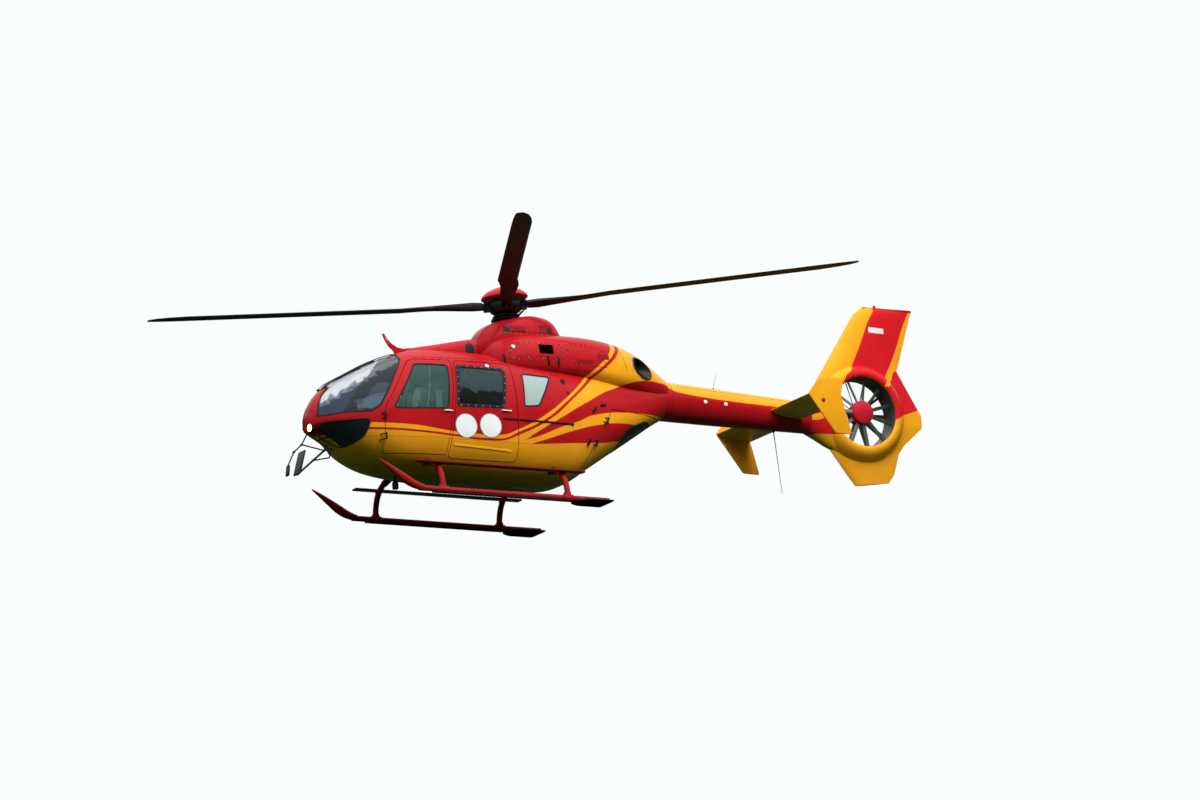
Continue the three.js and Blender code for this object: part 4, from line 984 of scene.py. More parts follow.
rubber = moulded("rubber_black", (0.012, 0.012, 0.013), 0.62)
black_paint = moulded("satin_black", (0.010, 0.010, 0.012), 0.42, 200.0, 0.0002)
dark_metal = metal("anodised_dark", (0.060, 0.062, 0.068), 0.45)
fan_metal = metal("fan_grey", (0.42, 0.43, 0.43), 0.5)
cast_metal = metal("cast_alloy", (0.27, 0.27, 0.28), 0.55, scale=160.0, depth=0.0012)
bare_metal = metal("bare_alloy", (0.62, 0.63, 0.65), 0.34, (1, 14, 1), 35.0, 0.0002, 0.15)
steel_hot = hot_steel("exhaust_steel")
trim_grey = moulded("trim_grey", (0.15, 0.16, 0.17), 0.6)
trim_dark = moulded("trim_dark", (0.030, 0.032, 0.035), 0.65)
white_film = moulded("white_film", (0.93, 0.94, 0.93), 0.35, 150.0, 0.0001, 0.03)
grey_film = moulded("grey_film", (0.30, 0.32, 0.33), 0.4, 150.0, 0.0001, 0.03)
print("metals and plastics:", [m.name for m in bpy.data.materials][-10:])

# %% [markdown]
# The landing lamp is lit in the photograph. Its lens glows a warm white with fine ribs, and the small
# position lamps are coloured glass with a faint glow.

# %% Lamps
def lens(name, colour, glow, strength, ribs=120.0):
    finish = Finish(name, colour, 0.12, Coat_Weight=1.0, Emission_Strength=strength)
    wave = finish.node("ShaderNodeTexWave", {"Vector": finish.place, "Scale": ribs, "Distortion": 0.2})
    finish.set(finish.shader, {
        "Emission Color": finish.mix(finish.times(wave.outputs["Fac"], 0.4), glow, colour),
    })
    finish.bump(wave.outputs["Fac"], 0.3, 0.001)
    return finish.material


lamp_lit = lens("lens_lit", (1.0, 0.75, 0.25), (1.0, 0.74, 0.24), 9.0)
lamp_off = lens("lens_clear", (0.75, 0.78, 0.78), (0.3, 0.3, 0.3), 0.02)
lens_red = lens("lens_red", (0.55, 0.01, 0.01), (0.5, 0.01, 0.01), 0.15)
lens_green = lens("lens_green", (0.01, 0.30, 0.08), (0.01, 0.3, 0.08), 0.15)
# The finish of the record that each material usually stands for.
SLOTS = {
    "paint_red": (paint_red, paint_livery, paint_tail),
    "paint_yellow": (paint_yellow,),
    "gear_red": (paint_gear, paint_step_shade),
    "paint_black": (rubber, black_paint, trim_dark),
    "metal_dark": (dark_metal, fan_metal),
    "metal_bare": (bare_metal,),
    "exhaust_steel": (steel_hot,),
    "trim_grey": (white_film, grey_film),
    "lamp_clear": (lamp_lit, lamp_off, lens_red, lens_green),
}
usual_slot = {material.name: slot for slot, materials in SLOTS.items() for material in materials}
print("lamp finishes ready")
# %% [markdown]
# The cabin is one egg-shaped composite skin, 28 mm thick, cut into the fixed shell and its doors. Making
# each panel on its own would leave their curves slightly apart at every gap. So the whole skin is made once
# as an outer and an inner body, and the shell and every door are cut from copies of it, as the real mould
# makes them. The same outlines give the panes and the rubbers, so they fit by construction.

# %% Tables of the cabin
# Stations from the nose to the back of the cabin: x, low, high, half, wide, n_low, n_high.
POD = [
    (3.34, 1.015, 1.22, 0.07, 1.10, 1.9, 2.0),
    (3.26, 0.966, 1.404, 0.24, 1.10, 1.4, 2.0),
    (3.14, 0.902, 1.563, 0.385, 1.11, 1.4, 2.0),
    (2.94, 0.79, 1.745, 0.505, 1.12, 1.5, 2.0),
    (2.7, 0.63, 1.88, 0.615, 1.13, 2.0, 2.05),
    (2.35, 0.512, 2.06, 0.695, 1.14, 2.5, 2.15),
    (1.95, 0.452, 2.21, 0.748, 1.15, 2.7, 2.3),
    (1.5, 0.417, 2.29, 0.776, 1.16, 2.8, 2.4),
    (0.9, 0.395, 2.30, 0.785, 1.18, 2.8, 2.5),
    (0.3, 0.388, 2.27, 0.785, 1.20, 2.8, 2.5),
    (-0.3, 0.395, 2.23, 0.77, 1.22, 2.8, 2.5),
    (-0.7, 0.458, 2.19, 0.725, 1.26, 2.8, 2.5),
    (-1.1, 0.705, 2.165, 0.655, 1.33, 2.6, 2.5),
    (-1.5, 0.96, 2.15, 0.565, 1.45, 2.4, 2.4),
    (-1.9, 1.215, 2.135, 0.465, 1.60, 2.3, 2.2),
    (-2.2, 1.405, 2.125, 0.37, 1.72, 2.2, 2.1),
    (-2.45, 1.55, 2.115, 0.285, 1.83, 2.0, 2.0),
]
SKIN = 0.028
DOOR_GAP = 0.010
PANE_SET, PANE = 0.005, 0.006
REACH = 4.0
# The windscreen from its front corner along the bottom, up the rear edge, over the roof and back.
WINDSCREEN_LOW = [(3.263, 1.19), (3.123, 1.182), (3.005, 1.206), (2.64, 1.216), (2.58, 1.238)]
WINDSCREEN_REAR = [(2.5, 1.295), (2.452, 1.345), (2.375, 1.475), (2.29, 1.61), (2.17, 1.81), (2.01, 2.05)]
WINDSCREEN_ROOF = [(1.93, 2.5), (3.11, 2.5)]
WINDSCREEN_FRONT = [(3.11, 1.57), (3.15, 1.523), (3.222, 1.376), (3.263, 1.223)]
WINDSCREEN = WINDSCREEN_LOW + WINDSCREEN_REAR + WINDSCREEN_ROOF + WINDSCREEN_FRONT
CHIN_WINDOW = rounded([(3.24, 1.075), (2.635, 1.10), (2.7, 0.87), (2.85, 0.765), (3.19, 0.945)], 0.06)
PILOT_DOOR = rounded([(2.43, 0.64), (2.43, 1.26), (2.06, 1.85), (1.9, 2.06), (1.0, 2.06), (1.0, 0.64)], 0.09)
PILOT_WINDOW = rounded([(2.29, 1.27), (1.85, 1.975), (1.35, 1.97), (1.445, 1.3)], 0.06)
SLIDING_DOOR = rounded([(1.45, 0.6), (1.236, 2.06), (0.33, 2.06), (0.33, 0.6)], 0.09)
SLIDING_WINDOW = rounded([(1.305, 1.345), (1.215, 1.975), (0.44, 1.97), (0.545, 1.36)], 0.06)
SIDE_WINDOW = rounded([(0.215, 1.408), (0.17, 1.91), (-0.29, 1.893), (-0.03, 1.432)], 0.05)
CLAM_TOP, CLAM_LOW = (-1.3, 1.5), (-0.721, 0.5)
CLAMSHELL = [CLAM_TOP, CLAM_LOW, (-0.721, 0.3), (-2.7, 0.3), (-2.7, 1.5)]
CLAM_WINDOW = [(-1.48, 1.0), (-1.64, 1.26), (-1.96, 1.4), (-2.12, 1.4), (-1.9, 1.18), (-1.64, 1.0)]
CLAM_WINDOW = rounded(CLAM_WINDOW, 0.05)
CLAM_WINDOW_FROM = 0.06
POST = 0.035
NOSE_STRIP = {"half": 0.15, "top": 1.64}
HINGE = {"x": 2.44, "y": 0.722}
SEAM_CONE = {"reach": 1.055, "z": 1.32, "lean": 0.147}
# The cross tubes go through the belly under the floor. Half of one, from the skid to the middle: y, z.
CROSS = {"front": 1.73, "rear": -0.28, "r": 0.042}
CROSS_BOW = [(1.0, 0.064), (0.992, 0.19), (0.94, 0.33), (0.86, 0.43), (0.77, 0.487), (0.64, 0.53),
             (0.42, 0.548), (0.0, 0.548)]
TUBE_GAP = 0.0005
print("cabin:", len(POD), "rows")

# %% [markdown]
# The rear edge of a pilot's door is part of a cone round its hinge line. Any other edge would strike the
# sliding door when it swings. The cutters below repeat each opening, once for port and once for starboard.

# %% Cutters and the whole skin
def half_prism(name, outline, clear=0.0):
    return prism(name, outline, clear, REACH)


def both(cutter):
    return cutter, mirrored(cutter, cutter.name + "_twin")


def seam_cone(clear):
    at = lambda z: SEAM_CONE["reach"] + clear + SEAM_CONE["lean"] * (z - SEAM_CONE["z"])
    foot = (HINGE["x"], HINGE["y"], 0.0)
    return rod("seam_cone", foot, (HINGE["x"], HINGE["y"], REACH), at(0.0), 256, at(REACH))


def nose_strip(clear):
    y = NOSE_STRIP["half"] + clear
    return block("nose_strip", (2.6, -y, 0.0), (3.7, y, NOSE_STRIP["top"] + clear))


pod_outer = body("pod_outer", POD)
pod_inner = body("pod_inner", POD, SKIN, between=4, quarter=18)
pod_skin = cut(pod_outer, pod_inner)
print("whole skin:", len(pod_skin.data.polygons), "faces")


def cross_tube(x, clear=0.0):
    bow = [(x, y, z) for y, z in CROSS_BOW] + [(x, -y, z) for y, z in CROSS_BOW[-2::-1]]
    return tube("cross", smooth_path(bow, 0.035), CROSS["r"] + clear, 24)


def tube_cutters():
    return [cross_tube(CROSS[which], TUBE_GAP) for which in ("front", "rear")]


# %% The fixed shell
windscreen_cut = cut(half_prism("windscreen_cut", WINDSCREEN, POST), nose_strip(0.0))
pilot_door_cut = within(half_prism("pilot_door_cut", PILOT_DOOR), seam_cone(DOOR_GAP))
openings = [
    windscreen_cut,
    half_prism("chin_cut", CHIN_WINDOW, NOSE_STRIP["half"]),
    pilot_door_cut,
    half_prism("sliding_door_cut", SLIDING_DOOR),
    half_prism("side_window_cut", SIDE_WINDOW),
    half_prism("clamshell_cut", CLAMSHELL, -0.001),
]
cabin_skin = copied(pod_skin, "cabin_skin")
cut(cabin_skin, *[c for opening in openings for c in both(opening)], *tube_cutters())
piece(cabin_skin, paint_livery, replaces=("cabin_shell_upper", "cabin_shell_lower"))
print("cabin skin:", triangles["cabin_skin"], "triangles")

# %% Doors cut from the same skin
def door(name, outline, window, *bounds, clear=0.0, window_from=0.0):
    """A door with its window: the skin within the outline less its gap, and within further bounds."""
    leaf = half_prism("leaf", grown(outline, -DOOR_GAP), clear)
    return cut(within(copied(pod_skin, name), leaf, *bounds), half_prism("window", window, window_from))


pilot_door = door("pilot_door", PILOT_DOOR, PILOT_WINDOW, seam_cone(0.0))
sliding_door = door("sliding_door", SLIDING_DOOR, SLIDING_WINDOW)
clamshell = door("clamshell", CLAMSHELL, CLAM_WINDOW, clear=DOOR_GAP / 2, window_from=CLAM_WINDOW_FROM)
remove(pod_skin)
pair(pilot_door, "pilot_door_skin", paint_livery, PILOT_BODIES, "pilot_door_{}")
pair(sliding_door, "sliding_door_skin", paint_livery, replaces="sliding_door_{}")
pair(clamshell, "clamshell_skin", paint_livery, CLAM_BODIES, "clamshell_door_{}", "paint_yellow")
print("doors:", {n: t for n, t in triangles.items() if "skin" in n})

# %% [markdown]
# A pane sits 5 mm below the skin, in its rubber. Blown acrylic follows the same curve as the body, so each
# pane is cut from a thinner skin that lies between two further insets of the same table.

# %% Panes
pane_skin = cut(body("pane_outer", POD, PANE_SET), body("pane_inner", POD, PANE_SET + PANE))
EASE = 0.0003


def pane(outline, clear=0.0, *cutters):
    copy = copied(pane_skin, "pane")
    within(copy, half_prism("pane_cut", grown(outline, -EASE), clear + EASE if clear else 0.0))
    return cut(copy, *cutters) if cutters else copy


panes = [
    ("windscreen_pane", pane(WINDSCREEN, POST, nose_strip(EASE)), glass_clear, FIXED, "windscreen_{}"),
    ("chin_pane", pane(CHIN_WINDOW, NOSE_STRIP["half"]), glass_dark, FIXED, "chin_window_{}"),
    ("side_pane", pane(SIDE_WINDOW), glass_frosted, FIXED, "side_window_{}"),
    ("pilot_door_pane", pane(PILOT_WINDOW), glass_door, PILOT_BODIES, "pilot_door_glass_{}"),
    ("sliding_door_pane", pane(SLIDING_WINDOW), glass_slide, FIXED, "sliding_door_glass_{}"),
    ("clamshell_pane", pane(CLAM_WINDOW, CLAM_WINDOW_FROM), glass_dark, CLAM_BODIES, "clamshell_glass_{}"),
]
for name, port, material, rides, node in panes:
    slot = "glass_dark" if material is glass_dark else "glass_clear"
    pair(port, name, material, rides, node, slot)
remove(pane_skin)
print("panes:", [name for name, *_ in panes])
# %% [markdown]
# Over the cabin roof stand three covers: the long engine cowling, the mast fairing on top of it, and the
# fairing in front that guides air to the intakes. Each is a shell from its own table. They are cut where
# they meet the roof and each other, so every joint line is a real edge and not a painted one.

# %% Tables of the covers
COWLING = [
    (0.56, 1.90, 2.29, 0.25, 2.10, 2.2, 2.4),
    (0.44, 1.90, 2.47, 0.47, 2.12, 2.4, 2.4),
    (0.2, 1.90, 2.56, 0.57, 2.14, 2.6, 2.5),
    (-0.2, 1.90, 2.61, 0.62, 2.15, 2.8, 2.6),
    (-0.9, 1.90, 2.63, 0.63, 2.15, 2.8, 2.6),
    (-1.5, 1.80, 2.58, 0.59, 2.08, 2.6, 2.5),
    (-1.9, 1.75, 2.46, 0.51, 2.04, 2.4, 2.3),
    (-2.2, 1.72, 2.29, 0.40, 1.99, 2.2, 2.1),
    (-2.44, 1.70, 2.15, 0.29, 1.93, 2.0, 2.0),
]
FAIRING = [
    (0.57, 2.25, 2.45, 0.15, 2.38, 2.4, 2.4),
    (0.5, 2.25, 2.60, 0.25, 2.40, 2.6, 2.6),
    (0.4, 2.25, 2.71, 0.31, 2.42, 3.0, 3.0),
    (0.25, 2.25, 2.785, 0.34, 2.44, 3.2, 3.2),
    (-0.25, 2.25, 2.91, 0.34, 2.46, 3.2, 3.2),
    (-0.46, 2.25, 2.91, 0.325, 2.46, 3.0, 3.0),
    (-0.66, 2.25, 2.845, 0.285, 2.45, 2.8, 2.8),
    (-0.8, 2.25, 2.665, 0.205, 2.43, 2.4, 2.4),
]
ROOF_FAIRING = [
    (1.78, 2.15, 2.25, 0.06, 2.20, 2.0, 2.0),
    (1.6, 2.15, 2.33, 0.17, 2.22, 2.2, 2.0),
    (1.25, 2.15, 2.40, 0.25, 2.24, 2.2, 2.2),
    (0.9, 2.15, 2.47, 0.30, 2.26, 2.4, 2.4),
    (0.69, 2.15, 2.505, 0.322, 2.285, 2.6, 2.6),
]
COWL_WALL = 0.022
TOUCH = 0.0003
EXHAUST = {"start": (-1.51, 0.215, 2.315), "end": (-2.134, 0.655, 2.075),
           "r": 0.132, "wall": 0.008, "proud": 0.022}
SIDE_INTAKE = rounded([(-0.405, 2.24), (-0.175, 2.24), (-0.175, 2.385), (-0.405, 2.385)], 0.025)


def along_exhaust(share):
    start, end = np.array(EXHAUST["start"]), np.array(EXHAUST["end"])
    return start + (end - start) * share


def pod_clear():
    return body("pod_clear", POD, -TOUCH)


def mast_hole():
    return rod("mast_hole", (-0.05, 0, 2.0), (0, 0, 3.1), 0.185, 48)


# %% Engine cowling and exhausts
cowling = body("cowling_skin", COWLING, quarter=24)
cut(cowling, body("inner", COWLING, COWL_WALL, 4, 16), pod_clear(), mast_hole())
pipe_hole = rod("pipe_hole", along_exhaust(-0.05), along_exhaust(1.2), EXHAUST["r"] + TOUCH, 48)
intake_hole = prism("intake_hole", SIDE_INTAKE, 0.5, REACH)
cut(cowling, *both(pipe_hole), *both(intake_hole))
piece(cowling, paint_livery, replaces="engine_cowling")

exhaust = rod("exhaust", along_exhaust(0), along_exhaust(1), EXHAUST["r"], 48)
within(exhaust, body("near_cowling", COWLING, -EXHAUST["proud"]))
bore = rod("bore", along_exhaust(0.04), along_exhaust(1.2), EXHAUST["r"] - EXHAUST["wall"], 48)
cut(exhaust, bore, pod_clear())
pair(exhaust, "exhaust_pipe", steel_hot, replaces="exhaust_{}")
collar = rod("collar", along_exhaust(0.3), along_exhaust(1.2), EXHAUST["r"] + 0.009, 64)
within(collar, body("near_cowling", COWLING, -0.009))
hole = rod("hole", along_exhaust(0.2), along_exhaust(1.3), EXHAUST["r"] + TOUCH, 64)
cut(collar, hole, body("under", COWLING, 0.003))
pair(collar, "exhaust_collar", bare_metal, slot="exhaust_steel")

# %% Mast fairing and roof fairing
fairing = cut(body("fairing_skin", FAIRING, quarter=20), body("inner", FAIRING, 0.018, 4, 12))
cut(fairing, body("cowling_clear", COWLING, -TOUCH), pod_clear(), mast_hole())
piece(fairing, paint_red, replaces="mast_fairing")
roof_fairing = body("roof_fairing_skin", ROOF_FAIRING, quarter=20)
cut(roof_fairing, pod_clear(), body("c", COWLING, -TOUCH))
piece(roof_fairing, paint_red, replaces="roof_fairing")
print("covers:", triangles["cowling_skin"], triangles["fairing_skin"], triangles["roof_fairing_skin"])

# %% [markdown]
# The boom is a tapered tube, and the fin stands on a short cone behind it. The duct is a thick ring through
# the fin. Round mouths matter here: the lip of the duct catches the light all round, so its profile is a
# smooth curve turned about the fan's axis, and not the few corners of the plain solid.

# %% Tail boom
BOOM = [
    (-2.45, 1.545, 2.115, 0.285, 1.83, 2.0, 2.0),
    (-3.2, 1.53, 2.07, 0.262, 1.80, 2.0, 2.0),
    (-4.0, 1.52, 2.02, 0.24, 1.77, 2.0, 2.0),
    (-4.85, 1.512, 1.97, 0.215, 1.745, 2.0, 2.0),
]
BOOM_WALL = 0.014
boom_hollow = list(BOOM)
boom_hollow[0] = (BOOM[0][0] + 0.02,) + BOOM[0][1:]
boom_hollow[-1] = (BOOM[-1][0] - 0.02,) + BOOM[-1][1:]
stations_through = [row[0] for row in boom_hollow]
sections = [{k: v[0] for k, v in section(boom_hollow, x).items()} for x in stations_through]
through = loft("through", [ring(s, BOOM_WALL, 12) for s in sections])
boom = cut(body("boom_skin", BOOM, between=10, quarter=20), through)
piece(boom, paint_livery, replaces="tail_boom")
print("boom:", triangles["boom_skin"], "triangles")

# %% Fin and duct
# Sections of the fin: height, leading edge, trailing edge, half thickness.
FIN = [
    (3.445, -5.90, -6.745, 0.030),
    (3.4, -5.84, -6.73, 0.042),
    (3.33, -5.757, -6.706, 0.050),
    (2.53, -5.226, -6.44, 0.090),
    (2.25, -5.04, -6.6, 0.105),
    (1.95, -4.99, -6.775, 0.110),
    (1.89, -4.98, -6.812, 0.110),
    (1.71, -4.98, -6.812, 0.105),
    (1.44, -5.06, -6.5, 0.085),
    (1.3, -5.24, -6.395, 0.046),
    (0.96, -5.49, -6.292, 0.036),
    (0.74, -5.67, -6.24, 0.030),
]
TAIL_CONE = [
    (-4.8503, 1.512, 1.97, 0.215, 1.745, 2.0, 2.0),
    (-5.0, 1.43, 2.08, 0.20, 1.75, 2.0, 2.0),
    (-5.2, 1.32, 2.20, 0.175, 1.76, 2.0, 2.0),
    (-5.45, 1.23, 2.30, 0.14, 1.77, 2.0, 2.0),
]
DUCT = {"x": -5.77, "z": 1.86, "radius": 0.505, "outer": 0.74, "lip": 0.192}
VENTRAL_CUT = [(-5.5, 0.765), (-6.2, 0.86), (-6.3, 0.99), (-6.8, 0.99), (-6.8, 0.5), (-5.5, 0.5)]
FOIL_CURVE = (1.4845, -0.63, -1.758, 1.4215, -0.48)
ACROSS = (0, 1, 0)


def foil(lead, trail, half, across=ACROSS, count=24):
    """Points round a symmetric aerofoil from its leading to its trailing edge and back."""
    t = (1 - np.cos(np.linspace(0, math.pi, count))) / 2
    c0, c1, c2, c3, c4 = FOIL_CURVE
    side = 2 * half * (c0 * np.sqrt(t) + c1 * t + c2 * t ** 2 + c3 * t ** 3 + c4 * t ** 4)
    lead, trail, across = np.array(lead, float), np.array(trail, float), np.array(across, float)
    line = lead + (trail - lead) * t[:, None]
    upper = line + across * side[:, None]
    lower = (line - across * side[:, None])[::-1]
    return np.concatenate([upper, lower[:-1]])


def duct_axis(name, profile, sides=128):
    """A solid turned about the fan's axis from [radius, y] pairs."""
    return turned(name, profile, (DUCT["x"], 0, DUCT["z"]), ACROSS, sides)


def duct_profile():
    """The ring's section: a straight bore, round lips and a flank that falls to the rim."""
    lip, bore, rim = DUCT["lip"], DUCT["radius"], DUCT["outer"]
    turn = np.linspace(math.pi, math.pi / 2, 9)
    nose = [(bore + 0.055 + 0.055 * math.cos(a), lip - 0.05 + 0.05 * math.sin(a)) for a in turn]
    sweep = np.linspace(0, 1, 12)[1:]
    flank = [(bore + 0.055 + (rim - bore - 0.055) * t, lip * (1 - t ** 2.2) * 0.995) for t in sweep[:-1]]
    front = nose + flank + [(rim, 0.0)]
    back = [(r, -y) for r, y in front[:-1]][::-1]
    return front + back


fin_rings = []
for (z0, *a), (z1, *b) in zip(FIN, FIN[1:]):
    steps = 8 if abs(z0 - z1) > 0.3 else 4
    for t in np.linspace(0, 1, steps, endpoint=False):
        lead, trail, half = (u + (v - u) * t for u, v in zip(a, b))
        z = z0 + (z1 - z0) * t
        fin_rings.append(foil((lead, 0, z), (trail, 0, z), half))
z, lead, trail, half = FIN[-1]
fin_rings.append(foil((lead, 0, z), (trail, 0, z), half))
fin = loft("fin_skin", fin_rings)
profile = duct_profile()
join(fin, duct_axis("duct", profile + profile[:1]), body("tail_cone", TAIL_CONE, between=8, quarter=20))
bore = rod("bore", (DUCT["x"], -1, DUCT["z"]), (DUCT["x"], 1, DUCT["z"]), DUCT["radius"], 128)
ahead = block("ahead", (BOOM[-1][0] - TOUCH, -1, 0), (0, 1, 4))
cut(fin, bore, prism("ventral_cut", VENTRAL_CUT, -0.3, 0.3), ahead)
piece(fin, paint_tail, replaces="fin_shroud", sharp=math.radians(24))
print("fin:", triangles["fin_skin"], "triangles")
# %% [markdown]
# A ring of like parts is the clearest use of Geometry Nodes. The tree takes one part, a count, a centre and
# an axis. It puts that many points at the centre, turns each by its share of a circle, and places the part
# there. The same tree makes the fan's blades, the stator's vanes, the links and the bolts of the rotor head.

# %% Ring and row trees
def new_tree(name, inputs):
    tree = bpy.data.node_groups.new(name, "GeometryNodeTree")
    tree.interface.new_socket("Geometry", in_out="INPUT", socket_type="NodeSocketGeometry")
    tree.interface.new_socket("Geometry", in_out="OUTPUT", socket_type="NodeSocketGeometry")
    for label, kind in inputs:
        tree.interface.new_socket(label, in_out="INPUT", socket_type=kind)
    return tree, tree.nodes.new("NodeGroupInput"), tree.nodes.new("NodeGroupOutput")


def finish_tree(tree, group_in, group_out, instances):
    """Realizes the instances and gives them their material."""
    realize = tree.nodes.new("GeometryNodeRealizeInstances")
    paint = tree.nodes.new("GeometryNodeSetMaterial")
    tree.links.new(instances, realize.inputs[0])
    tree.links.new(realize.outputs[0], paint.inputs["Geometry"])
    tree.links.new(group_in.outputs["Material"], paint.inputs["Material"])
    tree.links.new(paint.outputs[0], group_out.inputs[0])
    return tree


def part_of(tree, group_in):
    info = tree.nodes.new("GeometryNodeObjectInfo")
    tree.links.new(group_in.outputs["Part"], info.inputs["Object"])
    return info.outputs["Geometry"]


def ring_tree():
    tree, group_in, group_out = new_tree("ring_of_parts", [
        ("Part", "NodeSocketObject"), ("Count", "NodeSocketInt"), ("Centre", "NodeSocketVector"),
        ("Axis", "NodeSocketVector"), ("First angle", "NodeSocketFloat"), ("Material", "NodeSocketMaterial")])
    points = tree.nodes.new("GeometryNodePoints")
    index = tree.nodes.new("GeometryNodeInputIndex")
    share, angle, offset = [tree.nodes.new("ShaderNodeMath") for _ in range(3)]
    share.operation, angle.operation, offset.operation = "DIVIDE", "MULTIPLY", "ADD"
    angle.inputs[1].default_value = 2 * math.pi
    rotation = tree.nodes.new("FunctionNodeAxisAngleToRotation")
    place = tree.nodes.new("GeometryNodeInstanceOnPoints")
    for start, end in (
        (group_in.outputs["Count"], points.inputs["Count"]),
        (group_in.outputs["Centre"], points.inputs["Position"]),
        (index.outputs[0], share.inputs[0]),
        (group_in.outputs["Count"], share.inputs[1]),
        (share.outputs[0], angle.inputs[0]),
        (angle.outputs[0], offset.inputs[0]),
        (group_in.outputs["First angle"], offset.inputs[1]),
        (offset.outputs[0], rotation.inputs["Angle"]),
        (group_in.outputs["Axis"], rotation.inputs["Axis"]),
        (points.outputs[0], place.inputs["Points"]),
        (part_of(tree, group_in), place.inputs["Instance"]),
        (rotation.outputs[0], place.inputs["Rotation"]),
    ):
        tree.links.new(start, end)
    return finish_tree(tree, group_in, group_out, place.outputs[0])


def row_tree():
    tree, group_in, group_out = new_tree("row_of_parts", [
        ("Part", "NodeSocketObject"), ("Count", "NodeSocketInt"), ("Start", "NodeSocketVector"),
        ("Step", "NodeSocketVector"), ("Material", "NodeSocketMaterial")])
    points = tree.nodes.new("GeometryNodePoints")
    index = tree.nodes.new("GeometryNodeInputIndex")
    along, at = tree.nodes.new("ShaderNodeVectorMath"), tree.nodes.new("ShaderNodeVectorMath")
    along.operation, at.operation = "SCALE", "ADD"
    place = tree.nodes.new("GeometryNodeInstanceOnPoints")
    for start, end in (
        (group_in.outputs["Count"], points.inputs["Count"]),
        (group_in.outputs["Step"], along.inputs[0]),
        (index.outputs[0], along.inputs["Scale"]),
        (along.outputs[0], at.inputs[0]),
        (group_in.outputs["Start"], at.inputs[1]),
        (at.outputs[0], points.inputs["Position"]),
        (points.outputs[0], place.inputs["Points"]),
        (part_of(tree, group_in), place.inputs["Instance"]),
    ):
        tree.links.new(start, end)
    return finish_tree(tree, group_in, group_out, place.outputs[0])


def grow(name, tree, inputs, path=None):
    """Runs a tree on an empty mesh, or on a path, and keeps the result as a plain mesh."""
    host = path or bpy.data.objects.new(name, bpy.data.meshes.new(name))
    if path is None:
        scene.collection.objects.link(host)
    modifier = host.modifiers.new("grow", "NODES")
    modifier.node_group = tree
    sockets = {item.name: item.identifier for item in tree.interface.items_tree if item.in_out == "INPUT"}
    for label, value in inputs.items():
        modifier[sockets[label]] = value
    settle(host)
    host.name = host.data.name = name
    part = inputs.get("Part")
    if part is not None:
        remove(part)
    return host


RING, ROW = ring_tree(), row_tree()


def ring_of(name, part, count, centre, axis, material, first=0.0):
    """The part is drawn round the origin of the frame, and the ring moves it to its centre."""
    part.data.transform(Matrix.Translation(-Vector(datum)))
    inputs = {"Part": part, "Count": count, "Centre": tuple(np.array(centre) + datum), "Axis": tuple(axis),
              "First angle": first, "Material": material}
    return grow(name, RING, inputs)


def row_of(name, part, count, step, material):
    """Copies of a part that is drawn in its first place."""
    inputs = {"Part": part, "Count": count, "Start": (0.0, 0.0, 0.0),
              "Step": tuple(step), "Material": material}
    return grow(name, ROW, inputs)


print("trees:", RING.name, ROW.name)

# %% [markdown]
# The tail fan has ten blades on a turned hub and runs in a stator of eleven vanes. The uneven numbers keep
# the noise down. The blades are twisted: they lie flatter at the tip than at the root.

# %% Tail fan and stator
FAN = {"blades": 10, "hub": 0.15, "tip": 0.492, "y": -0.075, "half": 0.042, "chord": 0.066, "pitch": 0.9}
STATOR = {"vanes": 11, "hub": 0.172, "y": 0.075, "chord": 0.056, "pitch": 0.35}
DUCT_CENTRE = (DUCT["x"], 0.0, DUCT["z"])


def spoke(name, start, end, chord, thick, y, root_turn, tip_turn, steps=8):
    """A foil that stands out along X from the fan's axis and is set at an angle across it."""
    rings = []
    for t in np.linspace(0, 1, steps):
        r, turn = start + (end - start) * t, root_turn + (tip_turn - root_turn) * t
        s, c = math.sin(turn), math.cos(turn)
        lead, trail = (r, y - chord / 2 * s, chord / 2 * c), (r, y + chord / 2 * s, -chord / 2 * c)
        rings.append(foil(lead, trail, thick * (1.15 - 0.3 * t), (0, c, s), 10))
    return loft(name, rings)


fan_blade = spoke("blade", FAN["hub"] - 0.02, FAN["tip"], FAN["chord"], 0.006, FAN["y"], 1.05, 0.72)
fan_blades = ring_of("fan_blades", fan_blade, FAN["blades"], DUCT_CENTRE, ACROSS, fan_metal)
y = FAN["y"]
fan_hub = duct_axis("fan_hub", [
    (0, y - 0.075), (0.045, y - 0.073), (0.09, y - 0.064), (0.125, y - 0.045), (0.146, y - 0.02),
    (0.15, y - 0.005), (0.15, y + FAN["half"]), (0, y + FAN["half"])], 64)
fan_bolt = rod("bolt", (0.105, y - 0.062, 0), (0.105, y - 0.046, 0), 0.006, 6)
fan_bolts = ring_of("fan_bolts", fan_bolt, 12, DUCT_CENTRE, ACROSS, bare_metal)
piece(fan_blades, fan_metal, "tail_fan_rotor")
piece(fan_hub, dark_metal, "tail_fan_rotor", "tail_fan")
piece(fan_bolts, bare_metal, "tail_fan_rotor")

